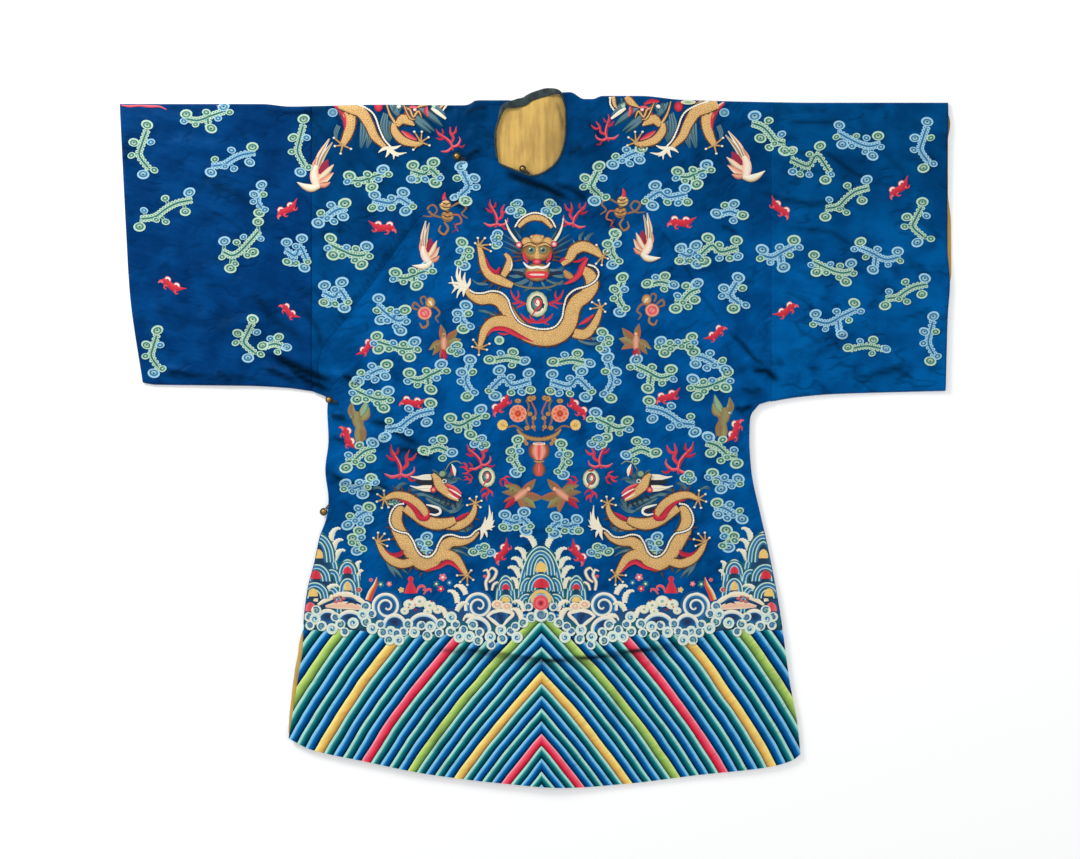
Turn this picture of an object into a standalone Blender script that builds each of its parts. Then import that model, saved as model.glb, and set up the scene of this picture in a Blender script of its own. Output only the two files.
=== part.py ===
"""A Chinese dragon robe laid out flat, front up, sleeves spread.

The robe is cut from silk widths that hang over the shoulders. The wearer's
left front is sewn down the middle to a wide overlap, which crosses to the
wearer's right and is held there by ball buttons. Underneath lie the right
underlap and the two backs.

A place on the robe is given as "across", millimetres from the centre seam
(positive towards the wearer's left sleeve), and "down", millimetres below
the shoulder line.
"""
from collections import namedtuple
from math import atan2, cos, degrees, hypot, pi, radians, sin, sqrt

import bmesh
import bpy

MM = 0.001

# ------------------------------------------------------------------ driving sizes, mm

SEAM_X = 9.2               # centre seam, to the right of the middle of the spread
SHOULDER_Y = 535.0         # shoulder line, above the middle of the robe's length
WALL = 1.6                 # silk, lining and embroidery together
SEAM_GAP = 0.3             # between pieces that are sewn edge to edge
LAYER_GAP = 0.4            # between cloths that lie on each other
FOLD_ROLL = 4.0            # cloth that turns over at a pressed fold
BACK_SHORT = 7.0           # the backs stop this far short of the shoulder fold
SLEEVE_SEAM = 367.0        # from the centre seam to the sleeve seams
LINING = 0.8               # bare lining silk
BINDING = 1.0              # neck binding above the cloth it edges
CORD_RADIUS = 1.0          # satin cord of the button loops
LOOP_TAIL = 9.0            # its sewn ends, beyond the ring round the ball

FIRST_BOTTOM = WALL + LAYER_GAP + 0.1
OVERLAP_BOTTOM = FIRST_BOTTOM + WALL + LAYER_GAP
FLAP_COVER = 16.0          # over which folds die out as the cloth passes under the flap
SEAM_RAMP = 70.0           # over which the left front comes down from the overlap's level
NECK_CENTRE = (-16.0, 52.0)
NECK_RISE = 1.2            # the fronts ride over the neck's lining
NECK_FRONT = 112.0         # depth of the neck at the centre seam
UNDERARM = 440.0           # where the sides start to come in under the sleeves
BACK_INSET = 1.5           # the backs hide this far inside the fronts at the sides
UNDERLAP_INSET = 3.0
HEM_INSET = 2.0
UNDERLAP_SHORT = 8.0       # the underlap is this much shorter than the flap

# Stations of the cloth meshes
COARSE = 26.0              # away from folds, mm
FINE = 14.0                # and on a fold, mm
ROLL_DEPTHS = (0.0, 0.8, 2.2, 3.9)             # mm in from a pressed fold
SHOULDER_BENDS = (-120, -104, 46, 68, 97)      # across, where the shoulder line turns
NECK_MARKS = (0.03, 0.065, 0.085, 0.098, 0.11, 0.12)       # shares of a panel's height
UNDERARM_MARKS = (0.430, 0.44, 0.455, 0.47)
FLAP_MARKS = (0.02, 0.04, 0.34, 0.37, 0.39, 0.405, 0.415)

Point = namedtuple("Point", "across down")
Neck = namedtuple("Neck", "across down width")
Fold = namedtuple("Fold", "path rise before after")
Button = namedtuple("Button", "name across down radius rest loop_turn")
# a row of a cloth's mesh: "below" its upper edge or "above" its lower edge by so many
# millimetres, or a "share" of what lies between
Row = namedtuple("Row", "kind value")

# ------------------------------------------------------------------ outlines

TOP_EDGE = [
    Point(-674, 1), Point(-447, 1), Point(-402, 5), Point(-351, 4), Point(-255, 2),
    Point(-127, 3), Point(-117, 2), Point(-104, -5), Point(-50, -5), Point(29, -17),
    Point(46, -18), Point(68, -7), Point(82, -7), Point(97, -12), Point(158, -12),
    Point(222, -6), Point(318, -3), Point(446, -1), Point(650, -1)]

HEM = [
    Point(-407, 1013), Point(-367, 1033), Point(-290, 1050), Point(-175, 1073),
    Point(-60, 1087), Point(36, 1094), Point(132, 1088), Point(247, 1074),
    Point(362, 1061), Point(401, 1050), Point(414, 1040)]

SIDE_RIGHT = [                       # the wearer's right side: overlap, sleeve seam to hem
    Point(-366.8, 461), Point(-352, 465), Point(-341, 474), Point(-342, 490),
    Point(-340, 538), Point(-345, 586), Point(-340, 634), Point(-342.5, 660),
    Point(-347, 674), Point(-354, 692), Point(-362, 730), Point(-374, 778),
    Point(-380, 830), Point(-381, 868),
    Point(-387, 908), Point(-397, 973), Point(-404, 1016)]

SIDE_LEFT = [                        # the wearer's left side, sleeve seam to hem
    Point(366.8, 477), Point(353, 479), Point(341, 487), Point(333, 506),
    Point(332, 538), Point(335, 586), Point(350, 658), Point(361, 706),
    Point(375, 778), Point(383, 826), Point(396, 922), Point(409, 994), Point(414, 1042)]

SLIT_EDGE = [                        # how far the back stands out past the overlap
    Point(0.0, 838), Point(7.0, 868), Point(7.5, 905), Point(6.5, 950), Point(3.0, 1000),
    Point(0.0, 1013)]

OVERLAP_EDGE = [                     # the curved flap, from its corner to the underarm
    Point(-124, 90), Point(-121, 127), Point(-151, 151), Point(-183, 172),
    Point(-210, 204), Point(-240, 247), Point(-273, 293), Point(-313, 346),
    Point(-352, 400), Point(-356, 425), Point(-352, 452), Point(-341, 474)]

OVERLAP_TOP = [                      # the flap's upper edge, corner to centre seam
    Point(-124, 90), Point(-109, 91), Point(-95, 87), Point(-80, 90), Point(-67, 96),
    Point(-48, 104), Point(-29, 111), Point(-17, 115), Point(-5, 113.5), Point(0, 112)]

NECK_LEFT_SIDE = [                   # the left front's neck edge, shoulder to centre seam
    Point(29.6, -17), Point(33, -6), Point(36.8, 7), Point(37.6, 32), Point(36, 59),
    Point(29.6, 82), Point(21, 96), Point(9, 106.5), Point(0.15, 112)]

NECK_RIGHT_SIDE = [                  # the underlap's edge, shoulder to hem
    Point(-50, -5), Point(-62, 8), Point(-67, 28), Point(-72, 46), Point(-72, 66),
    Point(-70, 84), Point(-66, 106), Point(-40, 122), Point(-15, 131), Point(-9, 150),
    Point(-9, 1085)]

NECK_BINDING = [                     # from the flap's corner round the neck, inner edge
    Neck(-65, 98, 3), Neck(-48, 104, 3), Neck(-29, 111, 3), Neck(-17, 115, 3),
    Neck(-5, 113.5, 3), Neck(9, 106.5, 3), Neck(21, 96, 3), Neck(29.6, 82, 3),
    Neck(36, 59, 3), Neck(37.6, 32, 2.5), Neck(36.8, 7, 2.5), Neck(33, -6, 3),
    Neck(26, -15, 5), Neck(12, -11.5, 13), Neck(-5, -7, 13), Neck(-15, -3, 13),
    Neck(-25, 4, 14), Neck(-40, 8, 12), Neck(-57, 10, 5), Neck(-67, 28, 3),
    Neck(-72, 46, 3), Neck(-72, 66, 3), Neck(-70, 84, 3), Neck(-69.5, 88, 3)]

BACK_NECK = [                        # the backs' upper edge behind the neck
    Point(-52, 1), Point(-46, -2), Point(-31, -9), Point(-14, -16), Point(2, -22),
    Point(12, -23), Point(20, -18), Point(26, -10)]

NECK_LINING_RIGHT = [                # yellow facing behind the neck, wearer's right edge
    Point(6, -21), Point(-12, -15), Point(-30, -8), Point(-44, -1), Point(-52, 3),
    Point(-75, 8), Point(-82, 30), Point(-85, 66), Point(-83, 92), Point(-77, 108),
    Point(-50, 122), Point(-20, 131)]

NECK_LINING_LEFT = [
    Point(12, -21), Point(20, -18), Point(27, -14), Point(29, -11), Point(40, -8),
    Point(49, 8), Point(50, 30), Point(48, 62), Point(42, 86), Point(32, 102),
    Point(18, 116), Point(-16, 131)]

CUFF_LEFT_EDGE = [                   # the wearer's left cuff, shoulder to underside
    Point(650, -1), Point(650, 40), Point(648.5, 60), Point(648.5, 230),
    Point(652.5, 288), Point(649, 340), Point(645.6, 460)]

CUFF_LINING = [                      # how far the yellow lining stands out at that cuff
    Point(1.0, 20), Point(3.0, 32), Point(0.8, 56), Point(0.8, 140), Point(5.5, 190),
    Point(6.0, 225), Point(3.0, 272), Point(0.6, 284)]

CUFF_RIGHT_EDGE = [
    Point(-674, 1), Point(-670, 80), Point(-664, 200), Point(-658, 300), Point(-637, 447)]

UNDER_SLEEVE_RIGHT = [               # the wearer's right sleeve seam, cuff to armhole
    Point(-637, 447), Point(-617, 450), Point(-543, 451), Point(-466, 452),
    Point(-409, 455), Point(-367, 460.5)]

UNDER_SLEEVE_LEFT = [
    Point(367, 477), Point(410, 470), Point(468, 465), Point(583, 461.5), Point(646, 460)]

# ------------------------------------------------------------------ folds of the laid-out cloth

FOLDS = [
    # a tuck across the hem band, rounded above and stepping down below
    Fold([Point(-200, 868), Point(-97, 879), Point(0, 892), Point(78, 889),
          Point(153, 876), Point(294, 855)], 4.5, 60, 9),
    # drag lines from the neck opening over the chest
    Fold([Point(-57, 122), Point(10, 152), Point(94, 178)], 5.0, 15, 15),
    Fold([Point(20, 124), Point(60, 134), Point(110, 136)], 4.0, 13, 13),
    Fold([Point(-144, 20), Point(-80, 14)], 3.0, 11, 11),
    Fold([Point(-134, 70), Point(-98, 40)], 3.0, 12, 12),
    Fold([Point(46, 84), Point(100, 56)], 3.5, 14, 14),
    # crumpling at the underarms
    Fold([Point(-604, 424), Point(-553, 432)], 3.0, 11, 11),
    Fold([Point(-446, 392), Point(-376, 418)], 6.0, 13, 13),
    Fold([Point(-446, 421), Point(-380, 440)], 5.0, 11, 11),
    Fold([Point(-334, 434), Point(-286, 444)], 4.0, 12, 12),
    Fold([Point(322, 404), Point(398, 444)], 5.0, 14, 14),
    Fold([Point(304, 456), Point(350, 462)], 4.0, 13, 13),
    # slack at the wearer's right side
    Fold([Point(-334, 500), Point(-300, 506)], 3.0, 12, 12),
    Fold([Point(-290, 512), Point(-190, 567)], 6.0, 17, 17),
    Fold([Point(-336, 596), Point(-300, 604), Point(-242, 622)], 4.5, 15, 15),
    # the crease that answers the flap on the wearer's left
    Fold([Point(174, 183), Point(214, 233), Point(254, 303), Point(300, 362)], 2.5, 12, 12),
    # drag lines on the sleeves
    Fold([Point(359, 73), Point(434, 98)], 3.5, 14, 14),
    Fold([Point(372, 146), Point(440, 164)], 3.5, 14, 14),
    Fold([Point(375, 404), Point(440, 392), Point(526, 340)], 4.5, 16, 16),
    Fold([Point(500, 436), Point(590, 414)], 3.5, 14, 14),
    Fold([Point(-560, 250), Point(-470, 300)], 3.0, 20, 20),
    Fold([Point(-600, 60), Point(-500, 78)], 3.0, 18, 18),
    Fold([Point(-560, 380), Point(-480, 352), Point(-420, 350)], 3.0, 18, 18),
    Fold([Point(560, 60), Point(610, 96)], 2.5, 16, 16),
    Fold([Point(452, 250), Point(540, 236)], 2.5, 16, 16),
    # soft slack across the skirt
    Fold([Point(-250, 700), Point(-130, 740)], 2.5, 22, 22),
    Fold([Point(120, 560), Point(190, 660)], 2.5, 22, 22),
    Fold([Point(250, 520), Point(322, 560)], 3.0, 17, 17)]

BUTTONS = [                          # loop_turn: degrees from "across" towards "down"
    Button("neck", -30, 105.5, 4.0, "lining", 40),
    Button("chest", -135, 85.6, 4.5, "underlap", 23),
    Button("underarm", -339, 474, 3.8, "overlap", 20),
    Button("side", -347.8, 653, 4.5, "floor", -50)]

# ------------------------------------------------------------------ plain geometry helpers


def value_at(table, key, column, wanted):
    """Reads one named column of a table at a value of another, smoothly."""
    rows = sorted(table, key=lambda row: getattr(row, key))
    places = [getattr(row, key) for row in rows]
    values = [getattr(row, column) for row in rows]
    if wanted <= places[0]:
        return values[0]
    if wanted >= places[-1]:
        return values[-1]
    last = len(rows) - 1
    i = max(k for k in range(last) if places[k] <= wanted)
    slopes = [(values[k + 1] - values[k]) / (places[k + 1] - places[k]) for k in range(last)]

    def tangent(k):
        if k == 0 or k == last or slopes[k - 1] * slopes[k] <= 0:
            return slopes[0] if k == 0 else slopes[-1] if k == last else 0.0
        return 2 * slopes[k - 1] * slopes[k] / (slopes[k - 1] + slopes[k])

    span = places[i + 1] - places[i]
    t = (wanted - places[i]) / span
    return (values[i] * (1 + 2 * t) * (1 - t) ** 2 + values[i + 1] * t * t * (3 - 2 * t)
            + span * (tangent(i) * t * (1 - t) ** 2 + tangent(i + 1) * t * t * (t - 1)))


def top_edge(across):
    return value_at(TOP_EDGE, "across", "down", across)


def hem(across):
    return value_at(HEM, "across", "down", across)


def edge_across(table, down):
    return value_at(table, "down", "across", down)


def smooth(t):
    t = min(max(t, 0.0), 1.0)
    return t * t * (3 - 2 * t)


def mix(a, b, t):
    return a + (b - a) * t


def nearest_on(path, across, down):
    """Signed distance from a path and how far along it, from 0 to 1."""
    best = None
    for i in range(len(path) - 1):
        start, end = path[i], path[i + 1]
        run, fall = end.across - start.across, end.down - start.down
        t = ((across - start.across) * run + (down - start.down) * fall) / (run ** 2 + fall ** 2)
        t = min(max(t, 0.0), 1.0)
        off_across = across - start.across - t * run
        off_down = down - start.down - t * fall
        far = hypot(off_across, off_down)
        if best is None or far < best[0]:
            side = 1 if run * off_down - fall * off_across > 0 else -1
            best = (far, side, (i + t) / (len(path) - 1))
    return best[0] * best[1], best[2]


# ------------------------------------------------------------------ heights of the cloths


def fold_height(across, down):
    """How far the folds lift the upper cloths at a place on the robe."""
    lift = 0.0
    for fold in FOLDS:
        off, along = nearest_on(fold.path, across, down)
        width = fold.after if off > 0 else fold.before
        if abs(off) < width:
            taper = smooth(min(along, 1 - along) * 4)
            lift = max(lift, fold.rise * taper * cos(off / width * pi / 2) ** 2)
    return lift


def neck_rise(across, down):
    far = hypot((across - NECK_CENTRE[0]) / 74, (down - NECK_CENTRE[1]) / 82)
    return NECK_RISE * (1 - smooth((far - 1.25) / 0.6))


def first_bottom(across, down):
    """Underside of the cloth that lies on the back: left front, underlap, sleeve tops."""
    centre = (OVERLAP_BOTTOM - FIRST_BOTTOM) * (1 - smooth(across / SEAM_RAMP)) if across > 0 else 0.0
    return FIRST_BOTTOM + neck_rise(across, down) + centre + fold_height(across, down)


def under_bottom(across, down):
    """The underlap follows the folds only where it shows, above the flap's edge."""
    off, _ = nearest_on(OVERLAP_EDGE, across, down)
    hidden = smooth(0.5 - off / FLAP_COVER)
    if across > OVERLAP_TOP[0].across:
        hidden = smooth((down - value_at(OVERLAP_TOP, "across", "down", across)) / FLAP_COVER)
    hidden = max(hidden, smooth((down - 440) / 15))
    return FIRST_BOTTOM + neck_rise(across, down) + fold_height(across, down) * (1 - hidden)


def overlap_bottom(across, down):
    return OVERLAP_BOTTOM + neck_rise(across, down) + fold_height(across, down)


def rolled(height, depth):
    """Height of a cloth near the pressed fold that ends it, depth being the way in from it."""
    if depth >= FOLD_ROLL:
        return height
    t = 1 - max(depth, 0.0) / FOLD_ROLL
    return height * (0.35 + 0.65 * sqrt(max(0.0, 1 - t * t)))


# ------------------------------------------------------------------ mesh helpers


def to_frame(across, down, height):
    return ((SEAM_X + across) * MM, (SHOULDER_Y - down) * MM, height * MM)


def clear_scene():
    for item in list(bpy.data.objects):
        bpy.data.objects.remove(item, do_unlink=True)


def collection(name):
    made = bpy.data.collections.new(name)
    bpy.context.scene.collection.children.link(made)
    return made


def material(name, colour, roughness, metallic=0.0):
    made = bpy.data.materials.new(name)
    made.use_nodes = True
    shader = made.node_tree.nodes["Principled BSDF"]
    shader.inputs["Base Color"].default_value = (*colour, 1.0)
    shader.inputs["Roughness"].default_value = roughness
    shader.inputs["Metallic"].default_value = metallic
    made.diffuse_color = (*colour, 1.0)
    return made


def stations(first, last, step, extra=()):
    """Even stations between two values, and any extra ones that lie between."""
    count = max(1, round((last - first) / step))
    even = [mix(first, last, i / count) for i in range(count + 1)]
    kept = [value for value in even if all(abs(value - more) > step * 0.3 for more in extra)]
    return sorted({*kept, first, last, *extra})


def flat_patch(columns, rows, place):
    """A grid of cells at the given column and row stations, laid in the robe's plane."""
    bm = bmesh.new()
    across_cells, down_cells = len(columns) - 1, len(rows) - 1
    bmesh.ops.create_grid(bm, x_segments=across_cells, y_segments=down_cells, size=0.5)
    for vert in bm.verts:
        column = columns[round((vert.co.x + 0.5) * across_cells)]
        row = rows[round((vert.co.y + 0.5) * down_cells)]
        vert.co = (*place(column, row), 0.0)
    return bm


def refine_on_folds(bm):
    """Halves the long edges that lie on a fold, so its ridge has points to stand on."""
    for _ in range(2):
        chosen = []
        for edge in bm.edges:
            middle = (edge.verts[0].co + edge.verts[1].co) / 2
            if edge.calc_length() < FINE:
                continue
            for fold in FOLDS:
                off, _ = nearest_on(fold.path, middle.x, middle.y)
                if abs(off) < (fold.after if off > 0 else fold.before) + 2:
                    chosen.append(edge)
                    break
        bmesh.ops.subdivide_edges(bm, edges=chosen, cuts=1, use_grid_fill=True)


def cloth_solid(name, bm, bottom, top, look, home, folded=True):
    """Gives a flat patch its lower and upper surfaces, and closes it round the edge."""
    if folded:
        refine_on_folds(bm)
    bmesh.ops.triangulate(bm, faces=bm.faces[:])
    raised = bmesh.ops.extrude_face_region(bm, geom=bm.faces[:], use_keep_orig=True)
    upper = {item for item in raised["geom"] if isinstance(item, bmesh.types.BMVert)}
    for vert in bm.verts:
        across, down = vert.co.x, vert.co.y
        surface = top if vert in upper else bottom
        vert.co = to_frame(across, down, surface(across, down))
    bmesh.ops.recalc_face_normals(bm, faces=bm.faces[:])
    return finish_mesh(name, bm, look, home)


def finish_mesh(name, bm, look, home):
    mesh = bpy.data.meshes.new(name)
    bm.to_mesh(mesh)
    bm.free()
    made = bpy.data.objects.new(name, mesh)
    home.objects.link(made)
    mesh.materials.append(look)
    mesh.shade_smooth()
    mesh.set_sharp_from_angle(angle=0.7)
    return made


# ------------------------------------------------------------------ panels


def row_down(row, high, low, roll_high, roll_low):
    """How far down a row lies between an upper and a lower edge."""
    if row.kind == "below":
        return high + row.value
    if row.kind == "above":
        return low - row.value
    return mix(high + roll_high, low - roll_low, row.value)


def panel_place(left, right, top, bottom, roll):
    """Where a column (0 to 1) and a row of a panel lie, between four edges."""
    def place(column, row):
        def down_at(across):
            return row_down(row, top(across), bottom(across), roll, 0.0)

        def side_at(side):
            across = side(top(0.0))
            for _ in range(6):
                across = side(down_at(across))
            return across

        across = mix(side_at(left), side_at(right), column)
        return across, down_at(across)
    return place


def panel_rows(height, marks):
    """Shares of a panel's height, denser at the marks."""
    return [Row("share", share) for share in stations(0.0, 1.0, COARSE / height, marks)]


def roll_rows(kind):
    return [Row(kind, depth) for depth in ROLL_DEPTHS]


def below_underarm(down):
    """0 at the sleeves, 1 once the side edge is well below the underarm."""
    return smooth((down - UNDERARM) / 60)


def make_left_front(look, home):
    """The wearer's left front, shoulder fold to hem, centre seam to sleeve seam."""
    roll = FOLD_ROLL + 0.25

    def left(down):
        return edge_across(NECK_LEFT_SIDE, down) if down < NECK_FRONT else SEAM_GAP / 2

    def right(down):
        return edge_across(SIDE_LEFT, down)

    def bottom(across, down):
        depth = down - top_edge(across)
        return 0.0 if depth < FOLD_ROLL else first_bottom(across, down)

    def top(across, down):
        return rolled(first_bottom(across, down) + WALL, down - top_edge(across))

    place = panel_place(left, right, top_edge, hem, roll)
    reach = SLEEVE_SEAM - NECK_LEFT_SIDE[0].across
    bends = [1 - (SLEEVE_SEAM - across) / reach for across in SHOULDER_BENDS if across > 0]
    columns = stations(0.0, 1.0, COARSE / 380, bends)
    rows = roll_rows("below") + panel_rows(1080, NECK_MARKS + UNDERARM_MARKS)
    return cloth_solid("front_left", flat_patch(columns, rows, place), bottom, top, look, home)


def make_overlap(look, home):
    """The wide flap, sewn to the left front and buttoned at the wearer's right."""
    def left(down):
        flap = down < OVERLAP_EDGE[-1].down
        return edge_across(OVERLAP_EDGE if flap else SIDE_RIGHT, down)

    def right(down):
        return -SEAM_GAP / 2

    def upper(across):
        return value_at(OVERLAP_TOP, "across", "down", across)

    def top(across, down):
        return overlap_bottom(across, down) + WALL

    place = panel_place(left, right, upper, hem, 0.0)
    columns = stations(0.0, 1.0, COARSE / 360)
    bm = flat_patch(columns, panel_rows(980, FLAP_MARKS), place)
    return cloth_solid("front_overlap", bm, overlap_bottom, top, look, home)


def make_underlap(look, home):
    """The wearer's right front: it shows at the shoulder and runs on under the flap."""
    roll = FOLD_ROLL + 0.25

    def left(down):
        return edge_across(SIDE_RIGHT, down) + UNDERLAP_INSET * below_underarm(down)

    def right(down):
        return edge_across(NECK_RIGHT_SIDE, down)

    def lower(across):
        return hem(across) - UNDERLAP_SHORT

    def bottom(across, down):
        return 0.0 if down - top_edge(across) < FOLD_ROLL else under_bottom(across, down)

    def top(across, down):
        return rolled(under_bottom(across, down) + WALL, down - top_edge(across))

    place = panel_place(left, right, top_edge, lower, roll)
    reach = SLEEVE_SEAM + NECK_RIGHT_SIDE[0].across
    bends = [(SLEEVE_SEAM + across) / reach for across in SHOULDER_BENDS if across < 0]
    columns = stations(0.0, 1.0, COARSE / 320, bends)
    rows = roll_rows("below") + panel_rows(1060, NECK_MARKS + UNDERARM_MARKS)
    bm = flat_patch(columns, rows, place)
    return cloth_solid("front_right_under", bm, bottom, top, look, home)


def back_top(across):
    """The backs stop just short of the shoulder fold, and reach up behind the neck."""
    if BACK_NECK[0].across < across < BACK_NECK[-1].across:
        return value_at(BACK_NECK, "across", "down", across)
    return top_edge(across) + BACK_SHORT


def make_back(name, side, look, home):
    """One of the two back widths, side -1 for the wearer's right."""
    def seam(down):
        return side * SEAM_GAP / 2

    def outer(down):
        if side > 0:
            return edge_across(SIDE_LEFT, down) - BACK_INSET * below_underarm(down)
        stand = value_at(SLIT_EDGE, "down", "across", down)
        sewn = 1 - smooth((down - SLIT_EDGE[0].down + 40) / 50)
        return edge_across(SIDE_RIGHT, down) + BACK_INSET * below_underarm(down) * sewn - stand

    def lower(across):
        return hem(across) - HEM_INSET

    left, right = (seam, outer) if side > 0 else (outer, seam)
    place = panel_place(left, right, back_top, lower, 0.0)
    turns = [point.across for point in BACK_NECK] + list(SHOULDER_BENDS)
    neck = [abs(across) / SLEEVE_SEAM for across in turns if across * side > 0]
    columns = stations(0.0, 1.0, COARSE / 380, neck if side > 0 else [1 - mark for mark in neck])
    bm = flat_patch(columns, panel_rows(1080, UNDERARM_MARKS), place)
    return cloth_solid(name, bm, lambda a, d: 0.0, lambda a, d: WALL, look, home, folded=False)


# ------------------------------------------------------------------ sleeves


def make_sleeve(name, side, look, home, cutters):
    """A flattened tube: folded over at the shoulder line, sewn along its underside."""
    cuff = CUFF_LEFT_EDGE if side > 0 else CUFF_RIGHT_EDGE
    underside = UNDER_SLEEVE_LEFT if side > 0 else UNDER_SLEEVE_RIGHT

    def under_edge(across):
        return value_at(underside, "across", "down", across)

    def place_between(past, roll):
        """Places a patch between the folds, reaching past both ends of the sleeve."""
        def place(column, row):
            def down_at(across):
                return row_down(row, top_edge(across), under_edge(across), roll, roll)

            across = side * SLEEVE_SEAM
            for _ in range(6):
                end = edge_across(cuff, down_at(across)) + side * past
                across = mix(side * (SLEEVE_SEAM + SEAM_GAP / 2 - past), end, column)
            return across, down_at(across)
        return place

    def outer_top(across, down):
        depth = min(down - top_edge(across), under_edge(across) - down)
        return rolled(first_bottom(across, down) + WALL, depth)

    columns = stations(0.0, 1.0, COARSE / 300)
    body_rows = panel_rows(440, ())
    rows = roll_rows("below") + body_rows[1:-1] + roll_rows("above")[::-1]
    outer = flat_patch(columns, rows, place_between(0.0, ROLL_DEPTHS[-1]))
    sleeve = cloth_solid(name, outer, lambda a, d: 0.0, outer_top, look, home)
    inner = flat_patch(columns, body_rows, place_between(6.0, FOLD_ROLL + 1))
    hollow = cloth_solid(name + "_hollow", inner, lambda a, d: WALL, first_bottom, look, cutters)
    hollow.hide_render = True
    hollow.display_type = "WIRE"
    cut = sleeve.modifiers.new("hollow", "BOOLEAN")
    cut.operation = "DIFFERENCE"
    cut.object = hollow
    return sleeve


# ------------------------------------------------------------------ linings and binding


def make_neck_lining(look, home):
    """The back's yellow lining, which shows through the neck opening."""
    def place(column, row):
        left = value_at(NECK_LINING_RIGHT, "down", "across", row)
        right = value_at(NECK_LINING_LEFT, "down", "across", row)
        return mix(left, right, column), row

    rows = [point.down for point in NECK_LINING_RIGHT]
    bm = flat_patch(stations(0.0, 1.0, 0.25), rows, place)
    low = WALL + SEAM_GAP
    return cloth_solid("lining_neck", bm, lambda a, d: low, lambda a, d: low + LINING,
                       look, home, folded=False)


def make_slit_lining(look, home):
    """A strip of the back's lining that stands out past the overlap at the side slit."""
    tucked = 1.8

    def place(column, row):
        edge = edge_across(SIDE_RIGHT, row)
        stand = value_at(SLIT_EDGE, "down", "across", row)
        return mix(edge - stand, edge + tucked, column), row

    low = WALL + SEAM_GAP
    rows = stations(SLIT_EDGE[0].down + 8, SLIT_EDGE[-1].down - 7, 16)
    bm = flat_patch([0.0, 1.0], rows, place)
    return cloth_solid("lining_side_slit", bm, lambda a, d: low, lambda a, d: low + LINING,
                       look, home, folded=False)


def make_cuff_lining(look, home):
    """A strip of lining that stands out of the wearer's left cuff."""
    clear = 0.8

    def place(column, row):
        edge = edge_across(CUFF_LEFT_EDGE, row) + clear
        return edge + column * value_at(CUFF_LINING, "down", "across", row), row

    rows = stations(CUFF_LINING[0].down, CUFF_LINING[-1].down, 14)
    bm = flat_patch([0.0, 1.0], rows, place)
    return cloth_solid("lining_cuff", bm, lambda a, d: 0.0, lambda a, d: WALL, look, home,
                       folded=False)


def binding_bottom(across, down):
    """The binding lies on the flap, on the fronts, and low behind the neck."""
    if across > -67 and down > 88:
        level = overlap_bottom(across, down) if across < 0 else first_bottom(across, down)
    else:
        level = first_bottom(across, down)
    behind = smooth((14 - down) / 10) * smooth((across + 50) / 20) * smooth((24 - across) / 16)
    return mix(level + WALL, WALL + SEAM_GAP + LINING, behind) + SEAM_GAP


def make_neck_binding(look, home):
    """A bias strip of black satin round the neck, wide behind it."""
    count = len(NECK_BINDING) - 1
    per_span = 2

    def place(column, row):
        i = min(int(row), count - 1)
        t = row - i
        here, there = NECK_BINDING[i], NECK_BINDING[i + 1]
        before, after = NECK_BINDING[max(i - 1, 0)], NECK_BINDING[min(i + 2, count)]

        def hermite(column_name):
            a, b = getattr(here, column_name), getattr(there, column_name)
            start = (b - getattr(before, column_name)) / 2
            end = (getattr(after, column_name) - a) / 2
            return (a * (1 + 2 * t) * (1 - t) ** 2 + b * t * t * (3 - 2 * t)
                    + start * t * (1 - t) ** 2 + end * t * t * (t - 1))

        heading = atan2(there.down - before.down if t < 0.5 else after.down - here.down,
                        there.across - before.across if t < 0.5 else after.across - here.across)
        width = hermite("width") * column
        return hermite("across") - sin(heading) * width, hermite("down") + cos(heading) * width

    rows = [step / per_span for step in range(count * per_span + 1)]
    bm = flat_patch([0.0, 1.0], rows, place)
    return cloth_solid("neck_binding", bm, binding_bottom,
                       lambda a, d: binding_bottom(a, d) + BINDING, look, home, folded=False)


# ------------------------------------------------------------------ buttons


def cloth_top(across, down):
    """Top of whatever cloth lies uppermost at a place near the robe's right side or neck."""
    side = edge_across(SIDE_RIGHT, down) if down > SIDE_RIGHT[0].down else -SLEEVE_SEAM
    if across < side:
        return 0.0
    flap_edge = edge_across(OVERLAP_EDGE, down) if down < OVERLAP_EDGE[-1].down else side
    if across >= flap_edge and down >= value_at(OVERLAP_TOP, "across", "down", across):
        return overlap_bottom(across, down) + WALL
    if across > NECK_RIGHT_SIDE[1].across:
        return WALL + SEAM_GAP + LINING
    return under_bottom(across, down) + WALL


def rest_height(button):
    """Where the lowest point of a ball lies."""
    tops = {"floor": 0.0, "lining": WALL + SEAM_GAP + LINING,
            "overlap": overlap_bottom(button.across, button.down) + WALL,
            "underlap": under_bottom(button.across, button.down) + WALL}
    return tops[button.rest] + SEAM_GAP


def make_button(button, look, home):
    """A brass ball button."""
    bm = bmesh.new()
    bmesh.ops.create_uvsphere(bm, u_segments=12, v_segments=8, radius=button.radius * MM)
    place = to_frame(button.across, button.down, rest_height(button) + button.radius)
    bmesh.ops.translate(bm, verts=bm.verts, vec=place)
    return finish_mesh("button_" + button.name, bm, look, home)


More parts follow.
